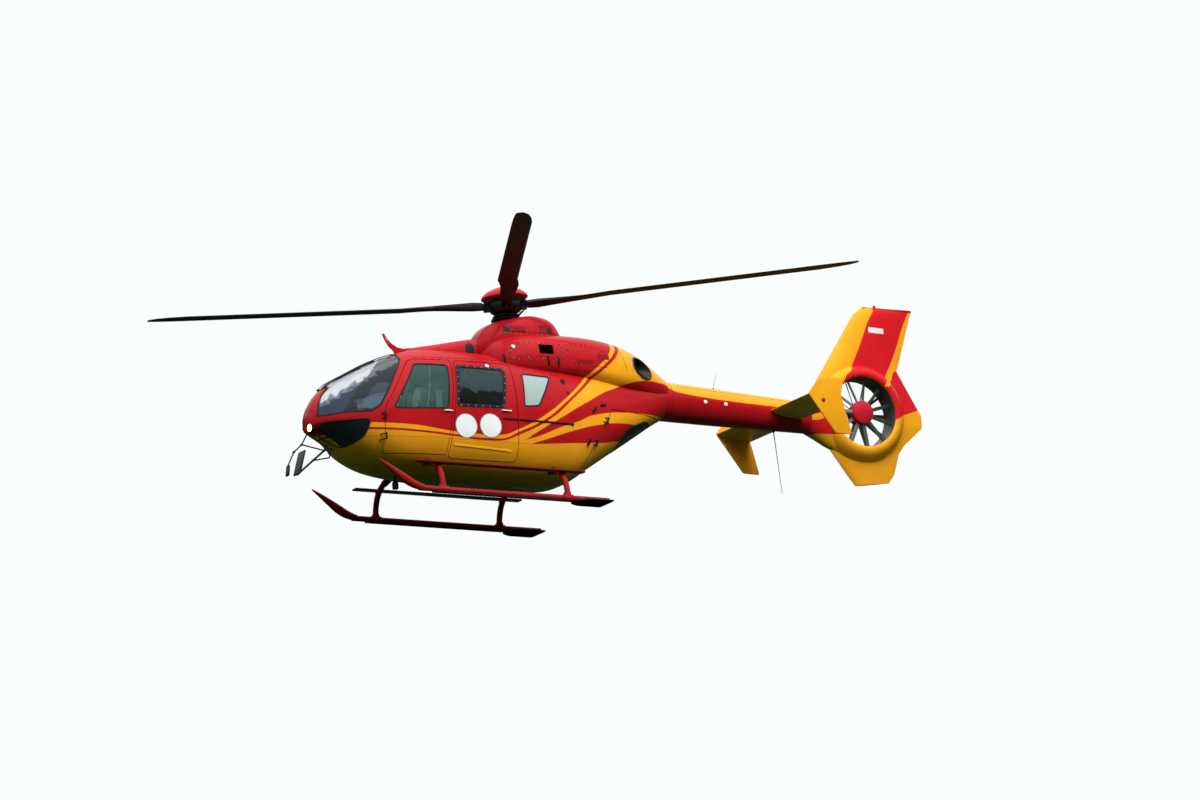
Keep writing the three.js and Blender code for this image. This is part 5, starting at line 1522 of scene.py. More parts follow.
vane_ends = (STATOR["hub"] - 0.02, DUCT["radius"] + 0.004)
vane = spoke("vane", *vane_ends, STATOR["chord"], 0.006, STATOR["y"], STATOR["pitch"], STATOR["pitch"])
vanes = ring_of("stator_vanes", vane, STATOR["vanes"], DUCT_CENTRE, ACROSS, fan_metal)
y0, y1 = FAN["y"] + FAN["half"], STATOR["y"]
stator_hub = duct_axis("stator_hub", [
    (0, y0 + TOUCH), (0.045, y0 + TOUCH), (0.045, y0 + 0.008), (0.152, y0 + 0.008), (0.168, y0 + 0.014),
    (0.172, y0 + 0.03), (0.172, y1 + 0.04), (0.166, y1 + 0.052), (0.12, y1 + 0.075), (0.06, y1 + 0.083),
    (0, y1 + 0.085)], 64)
cover_bolt = rod("bolt", (0.142, y1 + 0.058, 0), (0.142, y1 + 0.068, 0), 0.006, 6)
cover_bolts = ring_of("stator_bolts", cover_bolt, 10, DUCT_CENTRE, ACROSS, bare_metal)
shaft_ends = [(DUCT["x"] + reach, y1, DUCT["z"]) for reach in (DUCT["radius"] + 0.01, 0.1)]
shaft = rod("fan_shaft", *shaft_ends, 0.038, 32)
piece(stator_hub, plain_enamel("enamel_hub", (0.55, 0.012, 0.03)), slot="paint_red", replaces="fan_stator")
piece(vanes, fan_metal)
piece(cover_bolts, bare_metal)
piece(shaft, trim_grey, slot="metal_dark")
print("fan and stator:", {n: triangles[n] for n in ("fan_blades", "stator_vanes", "fan_hub", "stator_hub")})

# %% [markdown]
# The main rotor has no hinges: each blade is held by a flexible arm inside a stiff cuff. The whole head
# leans forward with the mast, so it is drawn upright first and tilted by one matrix at the end. The blades
# rise by a small coning angle. Each blade carries two attributes, along and across, and its finish uses
# them for the metal strip on the leading edge.

# %% Rotor head
MAST_TILT, BLADE_CONE, BLADE_ANGLE, BLADES = math.radians(2.8), math.radians(2.5), math.radians(-25), 4
TO_MAST, FROM_MAST = Matrix.Translation((mast_x, 0, 0)), Matrix.Translation((-mast_x, 0, 0))
HEAD = Matrix.Translation((mast_x, 0, hub_z)) @ Matrix.Rotation(MAST_TILT, 4, "Y") @ FROM_MAST
ROOT_R = 0.33
UP = (0.0, 0.0, 1.0)
# Profiles as [radius, height] from the rotor head. The swashplate's two rings are closed loops.
HUB = [(0, -0.70), (0.055, -0.70), (0.056, -0.13), (0.12, -0.118), (0.2, -0.095), (0.226, -0.07),
       (0.235, -0.04), (0.235, 0.03), (0.228, 0.055), (0.205, 0.072), (0.12, 0.08), (0, 0.08)]
CAP = [(0, 0.0803), (0.11, 0.0803), (0.14, 0.106), (0.3, 0.101), (0.322, 0.104), (0.335, 0.118),
       (0.334, 0.13), (0.318, 0.158), (0.285, 0.188), (0.24, 0.216), (0.19, 0.238), (0.145, 0.258),
       (0.1, 0.27), (0.05, 0.277), (0, 0.2799)]
TURNING_RING = [(0.05, -0.163), (0.18, -0.163), (0.195, -0.158), (0.195, -0.145), (0.18, -0.14),
                (0.05, -0.14), (0.05, -0.163)]
STILL_RING = [(0.07, -0.2), (0.155, -0.2), (0.165, -0.195), (0.165, -0.174), (0.157, -0.169),
              (0.07, -0.169), (0.07, -0.2)]
LUG_BOLT = [(0, -0.07), (0.02, -0.07), (0.02, 0.074), (0.013, 0.084), (0, 0.084)]
CAP_SCREW = [(0, 0), (0.009, 0), (0.009, 0.004), (0.005, 0.006), (0, 0.006)]
# Paths along an arm, each with a radius for every point.
ARM = [(0.15, 0, 0.0), (0.24, 0, 0.008), (0.36, 0, 0.014)], [0.062, 0.056, 0.046]
HORN = [(0.31, 0.02, -0.012), (0.305, 0.08, -0.024), (0.3, 0.13, -0.03)], [0.022, 0.017, 0.014]
LINK = [(0.14, 0.12, -0.15), (0.182, 0.123, -0.12), (0.19, 0.1235, -0.115), (0.25, 0.127, -0.065),
        (0.258, 0.1275, -0.06), (0.3, 0.13, -0.03)], [0.009, 0.009, 0.014, 0.014, 0.009, 0.009]


def on_head(obj):
    obj.data.transform(HEAD)
    return obj


def around_mast(name, part, material, count=BLADES, first=BLADE_ANGLE):
    """One part for every blade, or in another count, as one piece of the rotor."""
    parts = ring_of(name, part, count, (0, 0, 0), UP, material, first)
    return piece(on_head(parts), material, "main_rotor")


piece(on_head(turned("rotor_hub_body", HUB)), dark_metal, "main_rotor", "rotor_hub")
dome = turned("rotor_cap_dome", CAP, sides=96)
piece(on_head(dome), paint_red, "main_rotor", "rotor_cap")
around_mast("rotor_arms", tube("arm", *ARM, 24), dark_metal)
lug = block("lug", (0.2, -0.075, -0.055), (0.31, 0.075, -0.02))
join(lug, block("lug_top", (0.2, -0.075, 0.03), (0.31, 0.075, 0.062)))
around_mast("rotor_lugs", lug, dark_metal)
lug_bolt = turned("lug_bolt", LUG_BOLT, (0.27, 0, 0), sides=16)
around_mast("rotor_lug_bolts", lug_bolt, bare_metal)
around_mast("pitch_horns", tube("horn", *HORN, 12), dark_metal)
# The pitch links and the two rings of the swashplate take the dark metal: painted shade for the shade they
# sit in under the head.
around_mast("pitch_links", tube("link", *LINK, 12), dark_metal)
piece(on_head(turned("swash_ring", TURNING_RING)), dark_metal, "main_rotor")
piece(on_head(turned("swashplate_fixed", STILL_RING)), dark_metal, "airframe", "swashplate")
cap_screw = turned("cap_screw", CAP_SCREW, (0.262, 0, 0.2015), sides=10)
around_mast("cap_screws", cap_screw, bare_metal, 12, 0.0)
head_pieces = [name for name in triangles if name.startswith(("rotor", "pitch", "swash", "cap"))]
print("rotor head:", sum(triangles[name] for name in head_pieces), "triangles")

# %% Main blades
# Sections of a blade: r, chord, half thickness, how far the leading edge is moved back.
BLADE_CHORD = 0.289
BLADE = [
    (ROOT_R, 0.160, 0.058, 0.0), (0.48, 0.240, 0.062, 0.0), (0.8, 0.225, 0.046, 0.0),
    (1.15, 0.265, 0.026, 0.0), (1.5, 0.289, 0.017, 0.0), (4.55, 0.289, 0.015, 0.0),
    (4.8, 0.255, 0.012, 0.030), (4.98, 0.200, 0.009, 0.075), (5.1, 0.110, 0.006, 0.150),
]


def composite_blade(name):
    """Dark painted composite with a worn metal strip on the leading edge."""
    finish = Finish(name, roughness=0.6, Specular_IOR_Level=0.2)
    across = finish.node("ShaderNodeAttribute", attribute_name="across").outputs["Fac"]
    along = finish.node("ShaderNodeAttribute", attribute_name="along").outputs["Fac"]
    cloud = finish.spread(finish.noise(4.0, 5.0), 0.75, 1.2)
    toned = finish.toned((0.018, 0.016, 0.024), cloud)
    strip = finish.node("ShaderNodeMapRange", {0: across, 1: 0.085, 2: 0.075, 3: 0.0, 4: 1.0}).outputs[0]
    outer = finish.node("ShaderNodeMapRange", {0: along, 1: 0.2, 2: 0.21, 3: 0.0, 4: 1.0}).outputs[0]
    strip = finish.times(strip, outer)
    colour = finish.mix(strip, toned, (0.14, 0.14, 0.15))
    finish.set(finish.shader, {
        "Base Color": colour,
        "Metallic": finish.times(strip, 0.8),
        "Roughness": finish.spread(finish.noise(40.0, 3.0), 0.55, 0.7),
    })
    finish.bump(finish.noise(300.0, 2.0), 0.2, 0.0004)
    return finish.material


blade_finish = composite_blade("composite_blade")
FOIL_POINTS = 18
ROOT_ENDS, ROOT_BLEND = 1.15, 0.35
ROOT_LEAD, BLADE_LEAD = 0.45, 0.28
spans = []
for row, after in zip(BLADE, BLADE[1:]):
    steps = 10 if after[0] - row[0] > 1 else 5
    for t in np.linspace(0, 1, steps, endpoint=False):
        spans.append([a + (b - a) * t for a, b in zip(row, after)])
spans.append(list(BLADE[-1]))
rings = []
for r, chord, half, sweep in spans:
    # The root has its leading edge at 45% of the chord, and the blade proper at 28%.
    blend = np.clip((r - ROOT_ENDS) / ROOT_BLEND, 0, 1)
    lead = (chord * ROOT_LEAD) * (1 - blend) + (BLADE_CHORD * BLADE_LEAD - sweep) * blend
    rings.append(foil((r, lead, 0), (r, lead - chord, 0), half, UP, FOIL_POINTS))
t = (1 - np.cos(np.linspace(0, math.pi, FOIL_POINTS))) / 2
blade_values = {
    "across": np.tile(np.concatenate([t, t[::-1][:-1]]), len(spans)),
    "along": np.repeat([span[0] / BLADE[-1][0] for span in spans], len(rings[0])),
}
for i in range(BLADES):
    blade = loft(f"main_blade_{i + 1}", rings)
    for label, values in blade_values.items():
        attribute = blade.data.attributes.new(label, "FLOAT", "POINT")
        attribute.data.foreach_set("value", values.astype(np.float32))
    heading = Matrix.Rotation(BLADE_ANGLE + i * math.tau / BLADES, 4, "Z")
    blade.data.transform(TO_MAST @ heading @ Matrix.Rotation(-BLADE_CONE, 4, "Y") @ FROM_MAST)
    piece(on_head(blade), blade_finish, "main_rotor", f"blade_{i + 1}", "blade_grey", math.radians(40))
print("blades:", triangles["main_blade_1"], "triangles each")
# %% [markdown]
# The skids are round tubes that turn up at the front into pointed toes. Each carries a wear shoe under it
# and a flat pad at the back, which keeps the aircraft from sinking into snow. Two bowed cross tubes join
# them under the cabin floor. A tube with a radius at every point draws all of these from a few rows.

# %% Skids, shoes and pads
SKID_Y = 1.0
# Rows of a skid: station, height of the middle, radius.
SKID = [(-0.94, 0.054, 0.040), (1.85, 0.054, 0.040), (2.05, 0.064, 0.046), (2.2, 0.103, 0.058),
        (2.33, 0.170, 0.062), (2.45, 0.248, 0.050), (2.59, 0.340, 0.032), (2.74, 0.432, 0.009)]
SKID_Z = SKID[0][1]
SHOE = 0.014
PAD = [(-0.38, -0.12), (-0.54, -0.22), (-0.925, -0.22), (-0.925, 0.22), (-0.54, 0.22), (-0.38, 0.12)]


def softened(obj, width, segments=3, limit=math.radians(30)):
    """Rounds the hard edges of a mesh."""
    modifier = obj.modifiers.new("soft", "BEVEL")
    modifier.width = width
    modifier.segments = segments
    modifier.limit_method = "ANGLE"
    modifier.angle_limit = limit
    modifier.harden_normals = False
    return settle(obj)


skid_line = smooth_path(SKID, 0.03)
skid_points = np.stack([skid_line[:, 0], np.full(len(skid_line), SKID_Y), skid_line[:, 1]], 1)
skid_radius = np.maximum(skid_line[:, 2], 0.008)
pair(tube("skid", skid_points, skid_radius, 28), "skid_tube", paint_gear, replaces="skid_{}")
SKID_CAP = [(0, 0), (0.03, 0), (0.036, 0.004), (0.0385, 0.012), (0.0385, 0.03), (0, 0.03)]
cap = turned("cap", SKID_CAP, (-0.951, SKID_Y, SKID_Z), (1, 0, 0), 32)
pair(cap, "skid_cap", rubber)
shoe = softened(block("shoe", (-0.39, SKID_Y - 0.03, 0.0), (1.9, SKID_Y + 0.03, SHOE + 0.006)), 0.004)
pair(shoe, "skid_shoe", dark_metal)

pad_outline = rounded([(x, y + SKID_Y) for x, y in PAD], 0.05, 5)
pad = softened(flat_prism("pad", pad_outline, 0.001, SHOE + 0.004), 0.004)
rib_low, rib_high = (-0.90, SKID_Y - 0.185, SHOE + 0.002), (-0.885, SKID_Y + 0.185, SHOE + 0.016)
pad_rib = softened(block("rib", rib_low, rib_high), 0.003)
ribs = row_of("pad_ribs", pad_rib, 7, (0.062, 0, 0), rubber)
pair(pad, "skid_pad", rubber)
pair(ribs, "skid_pad_ribs", rubber)
print("skids:", triangles["skid_tube_left"], "triangles each")

# %% Cross tubes and saddles
SADDLE = [(0.0405, -0.075), (0.052, -0.075), (0.054, -0.07), (0.054, 0.07), (0.052, 0.075),
          (0.0405, 0.075), (0.0405, -0.075)]
for which in ("front", "rear"):
    x = CROSS[which]
    cross = cross_tube(x)
    cross.name = f"cross_tube_bow_{which}"
    piece(cross, paint_gear, replaces=f"cross_tube_{which}")
    foot = turned("foot", SADDLE, (x, SKID_Y, SKID_Z), (1, 0, 0), 32)
    join(foot, rod("socket", (x, SKID_Y, SKID_Z + 0.02), (x, 0.992, 0.135), 0.052, 32))
    pair(foot, f"saddle_{which}", paint_gear)
    bolt_x = x - 0.055
    bolt = rod("bolt", (bolt_x, SKID_Y, SKID_Z - 0.052), (bolt_x, SKID_Y, SKID_Z + 0.064), 0.007, 8)
    bolts = row_of("bolts", bolt, 2, (0.11, 0, 0), bare_metal)
    pair(bolts, f"saddle_bolts_{which}", bare_metal)
    boot = rod("boot", (x, 0.70, 0.513), (x, 0.56, 0.546), CROSS["r"] + 0.009, 32)
    cut(boot, pod_clear(), cross_tube(x, TUBE_GAP))
    pair(boot, f"belly_boot_{which}", rubber)
print("cross tubes:", triangles["cross_tube_bow_front"], "triangles each")

# %% [markdown]
# A boarding step runs over each skid on brackets from the cross tubes. Its top is covered with grit tape,
# held down by a row of rivets that the row tree repeats.

# %% Boarding steps
STEP = {"y": 0.93, "width": 0.12, "z": 0.446, "thick": 0.028, "front": 2.1, "rear": -0.6}
low = (STEP["rear"], STEP["y"] - STEP["width"] / 2, STEP["z"])
high = (STEP["front"], STEP["y"] + STEP["width"] / 2, STEP["z"] + STEP["thick"])
board = softened(block("board", low, high), 0.009, 4)
for x in (CROSS["front"], CROSS["rear"]):
    bracket_high = (x + 0.03, STEP["y"], STEP["z"] + 0.005)
    join(board, block("bracket", (x - 0.03, STEP["y"] - 0.03, 0.372), bracket_high))
cut(board, *tube_cutters())
# The board takes the dark step enamel, a painted shade.
pair(board, "step_board", paint_step_shade, replaces="boarding_step_{}")
top = STEP["z"] + STEP["thick"]
tape_low = (STEP["rear"] + 0.05, STEP["y"] - 0.04, top - 0.001)
tape_high = (STEP["front"] - 0.05, STEP["y"] + 0.04, top + 0.002)
pair(softened(block("tape", tape_low, tape_high), 0.001, 2), "step_grit", rubber)
RIVET = [(0, 0), (0.006, 0), (0.005, 0.002), (0, 0.003)]
rivet = turned("rivet", RIVET, (STEP["rear"] + 0.03, STEP["y"] - 0.05, top), sides=10)
rivets = row_of("rivets", rivet, 38, (0.0715, 0, 0), bare_metal)
pair(rivets, "step_rivets", bare_metal)
print("steps:", triangles["step_board_left"], "triangles each")

# %% [markdown]
# The stabiliser is one wing through the boom with a plate at each end. The plates steady the aircraft in
# forward flight. Each is thin with soft edges and carries a position lamp, red on port, green on starboard.

# %% Stabilisers
STAB = {"lead": (-4.15, 1.755), "trail": (-4.68, 1.665), "half": 0.03, "y": 1.318, "plate": 0.024}
END_PLATE = [(-4.14, 1.76), (-4.32, 1.99), (-4.74, 2.02), (-4.68, 1.77), (-4.83, 1.195), (-4.56, 1.2)]
(lead_x, lead_z), (trail_x, trail_z) = STAB["lead"], STAB["trail"]
wing = [foil((lead_x, y, lead_z), (trail_x, y, trail_z), STAB["half"], UP, 20)
        for y in np.linspace(0.15, STAB["y"] + 0.002, 14)]
stabiliser = cut(loft("stabiliser", wing), body("boom_clear", BOOM, -TOUCH))
pair(stabiliser, "stabiliser_wing", paint_yellow, replaces="stabiliser_{}")
plate = softened(prism("plate", rounded(END_PLATE, 0.03, 5), STAB["y"], STAB["y"] + STAB["plate"]), 0.008, 4)
pair(plate, "end_plate", paint_yellow)
LAMP_STUB = [(0, 0), (0.028, 0), (0.028, 0.006), (0.02, 0.012), (0, 0.012)]
LAMP_DOME = [(0, 0.011), (0.017, 0.011), (0.016, 0.02), (0.011, 0.027), (0, 0.03)]
lamp_at = (-4.38, STAB["y"] + STAB["plate"] - 0.001, 1.674)
pair(turned("stub", LAMP_STUB, lamp_at, ACROSS, 32), "position_lamp_base", dark_metal)
port_lens = turned("position_lens_left", LAMP_DOME, lamp_at, ACROSS, 24)
starboard_lens = mirrored(port_lens, "position_lens_right")
piece(port_lens, lens_red)
piece(starboard_lens, lens_green)
print("stabilisers:", triangles["stabiliser_wing_left"], "triangles each")
# %% [markdown]
# Rubber holds every pane, and a soft seal fills the gap round every door. These thin dark lines do a lot
# for the scale of the aircraft, so each is a real strip that follows the skin. The windscreen's path is
# the only hard one: along the bottom, up beside the door, over the roof, down the middle post and the nose.

# %% Window rubbers
def seal(name, outline, width, top, rides=FIXED):
    band = ribbon(name, POD, on_side(POD, outline), width, top, -PANE_SET - 0.003)
    return pair(band, name, rubber, rides)


seal("chin_seal", grown(CHIN_WINDOW, 0.004), 0.024, 0.004)
seal("pilot_window_seal", PILOT_WINDOW, 0.022, 0.004, PILOT_BODIES)
seal("sliding_window_seal", grown(SLIDING_WINDOW, -0.012), 0.05, 0.005)
seal("side_window_seal", SIDE_WINDOW, 0.024, 0.004)

side_part = on_side(POD, WINDSCREEN_LOW + WINDSCREEN_REAR, closed=False)
(rear_x, rear_z), (over_x, over_z) = WINDSCREEN_REAR[-1], WINDSCREEN_ROOF[0]
roof_x = lambda z: rear_x + (over_x - rear_x) * (z - rear_z) / (over_z - rear_z)
widest = side_y(POD, rear_x, rear_z)[0] - 0.01
roof_edge = [(roof_x(top_z(POD, rear_x, y)[0]), y) for y in np.linspace(widest, POST, 12)]
stations_ahead = np.linspace(POD[0][0], 2.9, 400)
strip_start = next(x for x in stations_ahead if top_z(POD, x, POST)[0] >= NOSE_STRIP["top"])
post_part = on_top(POD, roof_edge + [(strip_start, POST), (strip_start - 0.005, NOSE_STRIP["half"])])
strip_x = lambda z: next(x for x in stations_ahead if side_y(POD, x, z)[0] >= NOSE_STRIP["half"])
front_x = lambda z: np.interp(z, *zip(*[(p[1], p[0]) for p in WINDSCREEN_FRONT[::-1]]))
strip_heights = np.linspace(NOSE_STRIP["top"] - 0.01, WINDSCREEN_FRONT[2][1], 14)
strip_part = [(strip_x(z), NOSE_STRIP["half"], z) for z in strip_heights]
strip_part = np.array([p for p in strip_part if p[0] <= front_x(p[2])])
nose_part = on_side(POD, WINDSCREEN_FRONT[-2:] + WINDSCREEN_LOW[:1], closed=False)[:-1]
screen_path = evened(np.concatenate([side_part, post_part, strip_part, nose_part]), True, 0.02)
screen_seal = ribbon("windscreen_seal", POD, screen_path, 0.03, 0.004, -0.009)
pair(screen_seal, "windscreen_seal", rubber)

clam_path = on_side(POD, grown(CLAM_WINDOW, 0.006))
clam_path = clam_path[clam_path[:, 1] > CLAM_WINDOW_FROM + 0.02]
clam_seal = ribbon("clamshell_window_seal", POD, clam_path, 0.03, 0.004, -0.008)
pair(clam_seal, "clamshell_window_seal", rubber, CLAM_BODIES)
print("rubbers:", sorted(n for n in triangles if n.endswith("seal_left")))

# %% Post cover and door seals
post_line = on_top(POD, [(1.97, 0.0), (strip_start + 0.01, 0.0)])
cover = ribbon("windscreen_post_cover", POD, post_line, 0.078, 0.006, -0.002, closed=False)
piece(cover, black_paint)
clam_edge = rounded([(-2.2, 1.5), CLAM_TOP, CLAM_LOW], 0.05)[9:-9]
# Seals in the gaps of the doors: name, outline, whether it closes.
LINERS = [("pilot_door_liner", PILOT_DOOR, True), ("sliding_door_liner", SLIDING_DOOR, True),
          ("clamshell_liner", clam_edge, False)]
for name, outline, closed in LINERS:
    liner = ribbon(name, POD, on_side(POD, outline, closed), 0.034, -0.013, -0.024, closed)
    pair(liner, name, rubber)
print("liners:", sorted(n for n in triangles if n.endswith("liner_left")))

# %% [markdown]
# Small fasteners hold the rubber of the sliding window. They follow its outline, so a path tree places
# them: the outline becomes a curve, the curve is resampled to an even pitch, and a fastener stands on each
# point along a stored normal.

# %% A tree for fasteners along a path
def path_tree():
    tree, group_in, group_out = new_tree("parts_on_path", [
        ("Part", "NodeSocketObject"), ("Pitch", "NodeSocketFloat"), ("Material", "NodeSocketMaterial")])
    curve = tree.nodes.new("GeometryNodeMeshToCurve")
    even = tree.nodes.new("GeometryNodeResampleCurve")
    even.mode = "LENGTH"
    facing = tree.nodes.new("GeometryNodeInputNamedAttribute")
    facing.data_type = "FLOAT_VECTOR"
    facing.inputs["Name"].default_value = "facing"
    align = tree.nodes.new("FunctionNodeAlignRotationToVector")
    align.axis = "Z"
    place = tree.nodes.new("GeometryNodeInstanceOnPoints")
    for start, end in (
        (group_in.outputs["Geometry"], curve.inputs[0]),
        (curve.outputs[0], even.inputs["Curve"]),
        (group_in.outputs["Pitch"], even.inputs["Length"]),
        (even.outputs[0], place.inputs["Points"]),
        (facing.outputs[0], align.inputs["Vector"]),
        (align.outputs[0], place.inputs["Rotation"]),
        (part_of(tree, group_in), place.inputs["Instance"]),
    ):
        tree.links.new(start, end)
    return finish_tree(tree, group_in, group_out, place.outputs[0])


PATH = path_tree()


def along_path(name, table, path, part, pitch, material, closed=True, lift=0.0):
    """Fasteners that are drawn at the frame's origin with +Z out, set along a path on a skin."""
    normal = skin_normals(table, path)
    count = len(path)
    edges = [(i, (i + 1) % count) for i in range(count if closed else count - 1)]
    mesh = bpy.data.meshes.new(name)
    mesh.from_pydata((path + normal * lift + datum).tolist(), edges, [])
    facing = mesh.attributes.new("facing", "FLOAT_VECTOR", "POINT")
    facing.data.foreach_set("vector", normal.astype(np.float32).ravel())
    host = bpy.data.objects.new(name, mesh)
    scene.collection.objects.link(host)
    part.data.transform(Matrix.Translation(-Vector(datum)))
    return grow(name, PATH, {"Part": part, "Pitch": pitch, "Material": material}, host)


def button(radius, height, sides=10):
    profile = [(0, -0.001), (radius, -0.001), (radius, height * 0.5), (radius * 0.7, height), (0, height)]
    return turned("button", profile, sides=sides)


seal_line = on_side(POD, grown(SLIDING_WINDOW, -0.012))
dots = along_path("dots", POD, seal_line, button(0.0055, 0.003), 0.12, white_film, lift=0.005)
pair(dots, "window_fasteners", white_film, slot="metal_bare")
print("fasteners on the window:", triangles["window_fasteners_left"], "triangles")

# %% [markdown]
# The seams of the cowlings are thin dark lines with a row of quarter-turn screws beside them. Service doors
# are opened far more often than they are painted, so their edges and latches are the first things that a
# viewer reads as a working machine.

# %% Seams and screws on the cowlings
SEAM_WIDTH = 0.008
SCREWS_BELOW = 0.022


def seam(name, table, outline, closed, screws):
    """A panel gap on both sides of the aircraft, with screws beside it where a pitch is given."""
    path = on_side(table, outline, closed)
    pair(ribbon(name, table, path, SEAM_WIDTH, 0.0012, -0.003, closed=closed), name, rubber)
    if screws:
        inner = path if closed else path - np.array([0, 0, SCREWS_BELOW])
        inner[:, 1] = side_y(table, inner[:, 0], inner[:, 2])
        head = button(0.006, 0.0016, 8)
        heads = along_path(name + "_screws", table, inner, head, screws, bare_metal, closed, 0.0005)
        pair(heads, name + "_screws", bare_metal)


engine_door = rounded([(0.30, 2.14), (-0.50, 2.14), (-0.56, 2.40), (0.22, 2.40)], 0.05)
gearbox_door = rounded([(-0.62, 2.14), (-1.28, 2.10), (-1.10, 2.42), (-0.62, 2.42)], 0.05)
# Seams: name, table, line, whether it closes, pitch of its screws.
SEAMS = [
    ("engine_door_seam", COWLING, engine_door, True, 0.09),
    ("gearbox_door_seam", COWLING, gearbox_door, True, 0.09),
    ("cowling_hoop_seam", COWLING, [(-1.62, 2.10), (-1.50, 2.50)], False, 0.0),
    ("fairing_seam", FAIRING, [(0.30, 2.60), (-0.72, 2.62)], False, 0.08),
    ("fairing_hoop_seam", FAIRING, [(-0.30, 2.62), (-0.30, 2.83)], False, 0.0),
    ("roof_seam", POD, [(1.85, 2.08), (0.2, 2.12), (-0.62, 2.06)], False, 0.12),
    ("boom_joint_seam", BOOM, [(-2.52, 1.60), (-2.52, 2.07)], False, 0.0),
    ("boom_panel_seam", BOOM, [(-2.60, 2.02), (-4.80, 1.91)], False, 0.10),
]
for row in SEAMS:
    seam(*row)
print("seams:", sum(1 for n in triangles if "seam" in n))
# %% [markdown]
# The small fittings come from short tables. Knobs, caps, film discs and domes all lie on a skin, so one
# helper turns a profile about the skin's normal. Each sliding door carries two plain white discs.

# %% Fittings on the skin
def knob(name, table, x, z, profile, sides=40, squash=1.0, closed=False):
    """A [radius, lift] profile turned about the skin's normal at (x, z) of the port side."""
    angle = np.linspace(0, 2 * math.pi, sides, endpoint=False)
    rings = []
    for r, lift in profile:
        px, pz = x + max(r, 1e-5) * np.cos(angle), z + max(r, 1e-5) * squash * np.sin(angle)
        at = np.stack([px, side_y(table, px, pz), pz], 1)
        rings.append(at + skin_normals(table, at) * lift)
    return loft(name, rings, closed)


def disc_profile(radius, lift, base=-0.002):
    grid = np.linspace(0, radius, 12)
    return [(r, lift) for r in grid] + [(radius, base)] + [(r, base) for r in grid[::-1][1:]]


DISCS = {"radius": 0.168, "at": ((1.178, 1.063), (0.785, 1.088))}
for number, (x, z) in enumerate(DISCS["at"], 1):
    r = DISCS["radius"]
    film = knob("film", POD, x, z, disc_profile(r, 0.003), 72)
    pair(film, f"white_disc_{number}", white_film)
    rim = [(r - 0.001, 0.0036), (r + 0.006, 0.0036), (r + 0.006, -0.002), (r - 0.001, -0.002)]
    rim = knob("edge", POD, x, z, rim, 72, closed=True)
    pair(rim, f"disc_edge_{number}", grey_film)

# The door bar's yellow is a brighter, cleaner copy of the body's yellow: painted light for the bar's lit top.
yellow_painted_light = plain_enamel("enamel_bright_yellow", (1.0, 0.52, 0.03), dirt=0.05)
# Strips along the side: name, path, width, height over the skin, finish, slot.
STRIPS = [
    ("upper_door_rail", [(0.318, 1.201), (-0.57, 1.201)], 0.026, 0.014, dark_metal, "metal_dark"),
    ("sliding_door_rail", [(0.60, 1.201), (0.345, 1.201)], 0.026, 0.010, dark_metal, "metal_dark"),
    ("door_bar", [(1.373, 0.786), (0.446, 0.749)], 0.028, 0.010, yellow_painted_light, "paint_yellow"),
]
for name, path, width, top, material, slot in STRIPS:
    pair(strip(name, POD, path, width, top), name, material, slot=slot)
RAIL_END = [(0, 0.02), (0.018, 0.02), (0.022, 0.014), (0.022, -0.003), (0, -0.003)]
rail_end = knob("rail_end", POD, -0.57, 1.2, RAIL_END, 20)
pair(rail_end, "door_rail_end", black_paint)

HANDLE_FOOT = [(0, 0.028), (0.009, 0.026), (0.011, 0.018), (0.012, -0.003), (0, -0.003)]
# Handles: name, station, height, half length, slope, finish, bodies.
HANDLES = [
    ("pilot_door_handle", 1.455, 1.262, 0.062, 0.0, white_film, PILOT_BODIES),
    ("sliding_door_handle", 0.521, 1.318, 0.075, 0.0, white_film, FIXED),
    ("clamshell_handle", -0.862, 0.972, 0.055, -1.5, black_paint, CLAM_BODIES),
    ("hatch_lever", -1.148, 1.545, 0.045, -0.25, black_paint, FIXED),
    ("side_lever", -0.985, 1.46, 0.05, -1.1, black_paint, FIXED),
]
for name, x, z, reach, slope, material, rides in HANDLES:
    run = np.array([1.0, slope]) / math.hypot(1.0, slope) * reach
    path = on_side(POD, [(x - run[0], z - run[1]), (x + run[0], z + run[1])], False, step=0.008)
    grip = ribbon("grip", POD, path[1:-1], 0.018, 0.030, 0.018, closed=False)
    ends = [knob("end", POD, p[0], p[2], HANDLE_FOOT, 16) for p in path[[1, -2]]]
    pair(gathered(name, [grip, *ends]), name, material, rides, slot="metal_bare")
    plate = ribbon("plate", POD, path, 0.036, 0.003, -0.003, closed=False)
    pair(plate, name + "_plate", black_paint, rides)

# Caps and domes: name, table, station, height, radius, height over the skin, finish.
CAPS = [
    ("fuel_cap", POD, -0.5, 1.84, 0.045, 0.006, dark_metal),
    ("ground_power_cap", POD, -0.544, 1.666, 0.03, 0.005, black_paint),
    ("oil_port", COWLING, 0.205, 2.34, 0.026, 0.004, white_film),
    ("door_top_cap", POD, 0.70, 2.0, 0.028, 0.005, white_film),
    ("boom_antenna_front", BOOM, -3.06, 1.80, 0.030, 0.014, white_film),
    ("boom_antenna_rear", BOOM, -3.40, 1.79, 0.030, 0.014, white_film),
]
for name, table, x, z, r, lift, material in CAPS:
    profile = [(0, lift), (r * 0.6, lift * 0.95), (r * 0.85, lift * 0.7), (r, 0.001),
               (r, -0.003), (0, -0.003)]
    pair(knob(name, table, x, z, profile, 32), name, material)
print("fittings:", len(STRIPS) + len(HANDLES) + len(CAPS) + 2, "pairs")
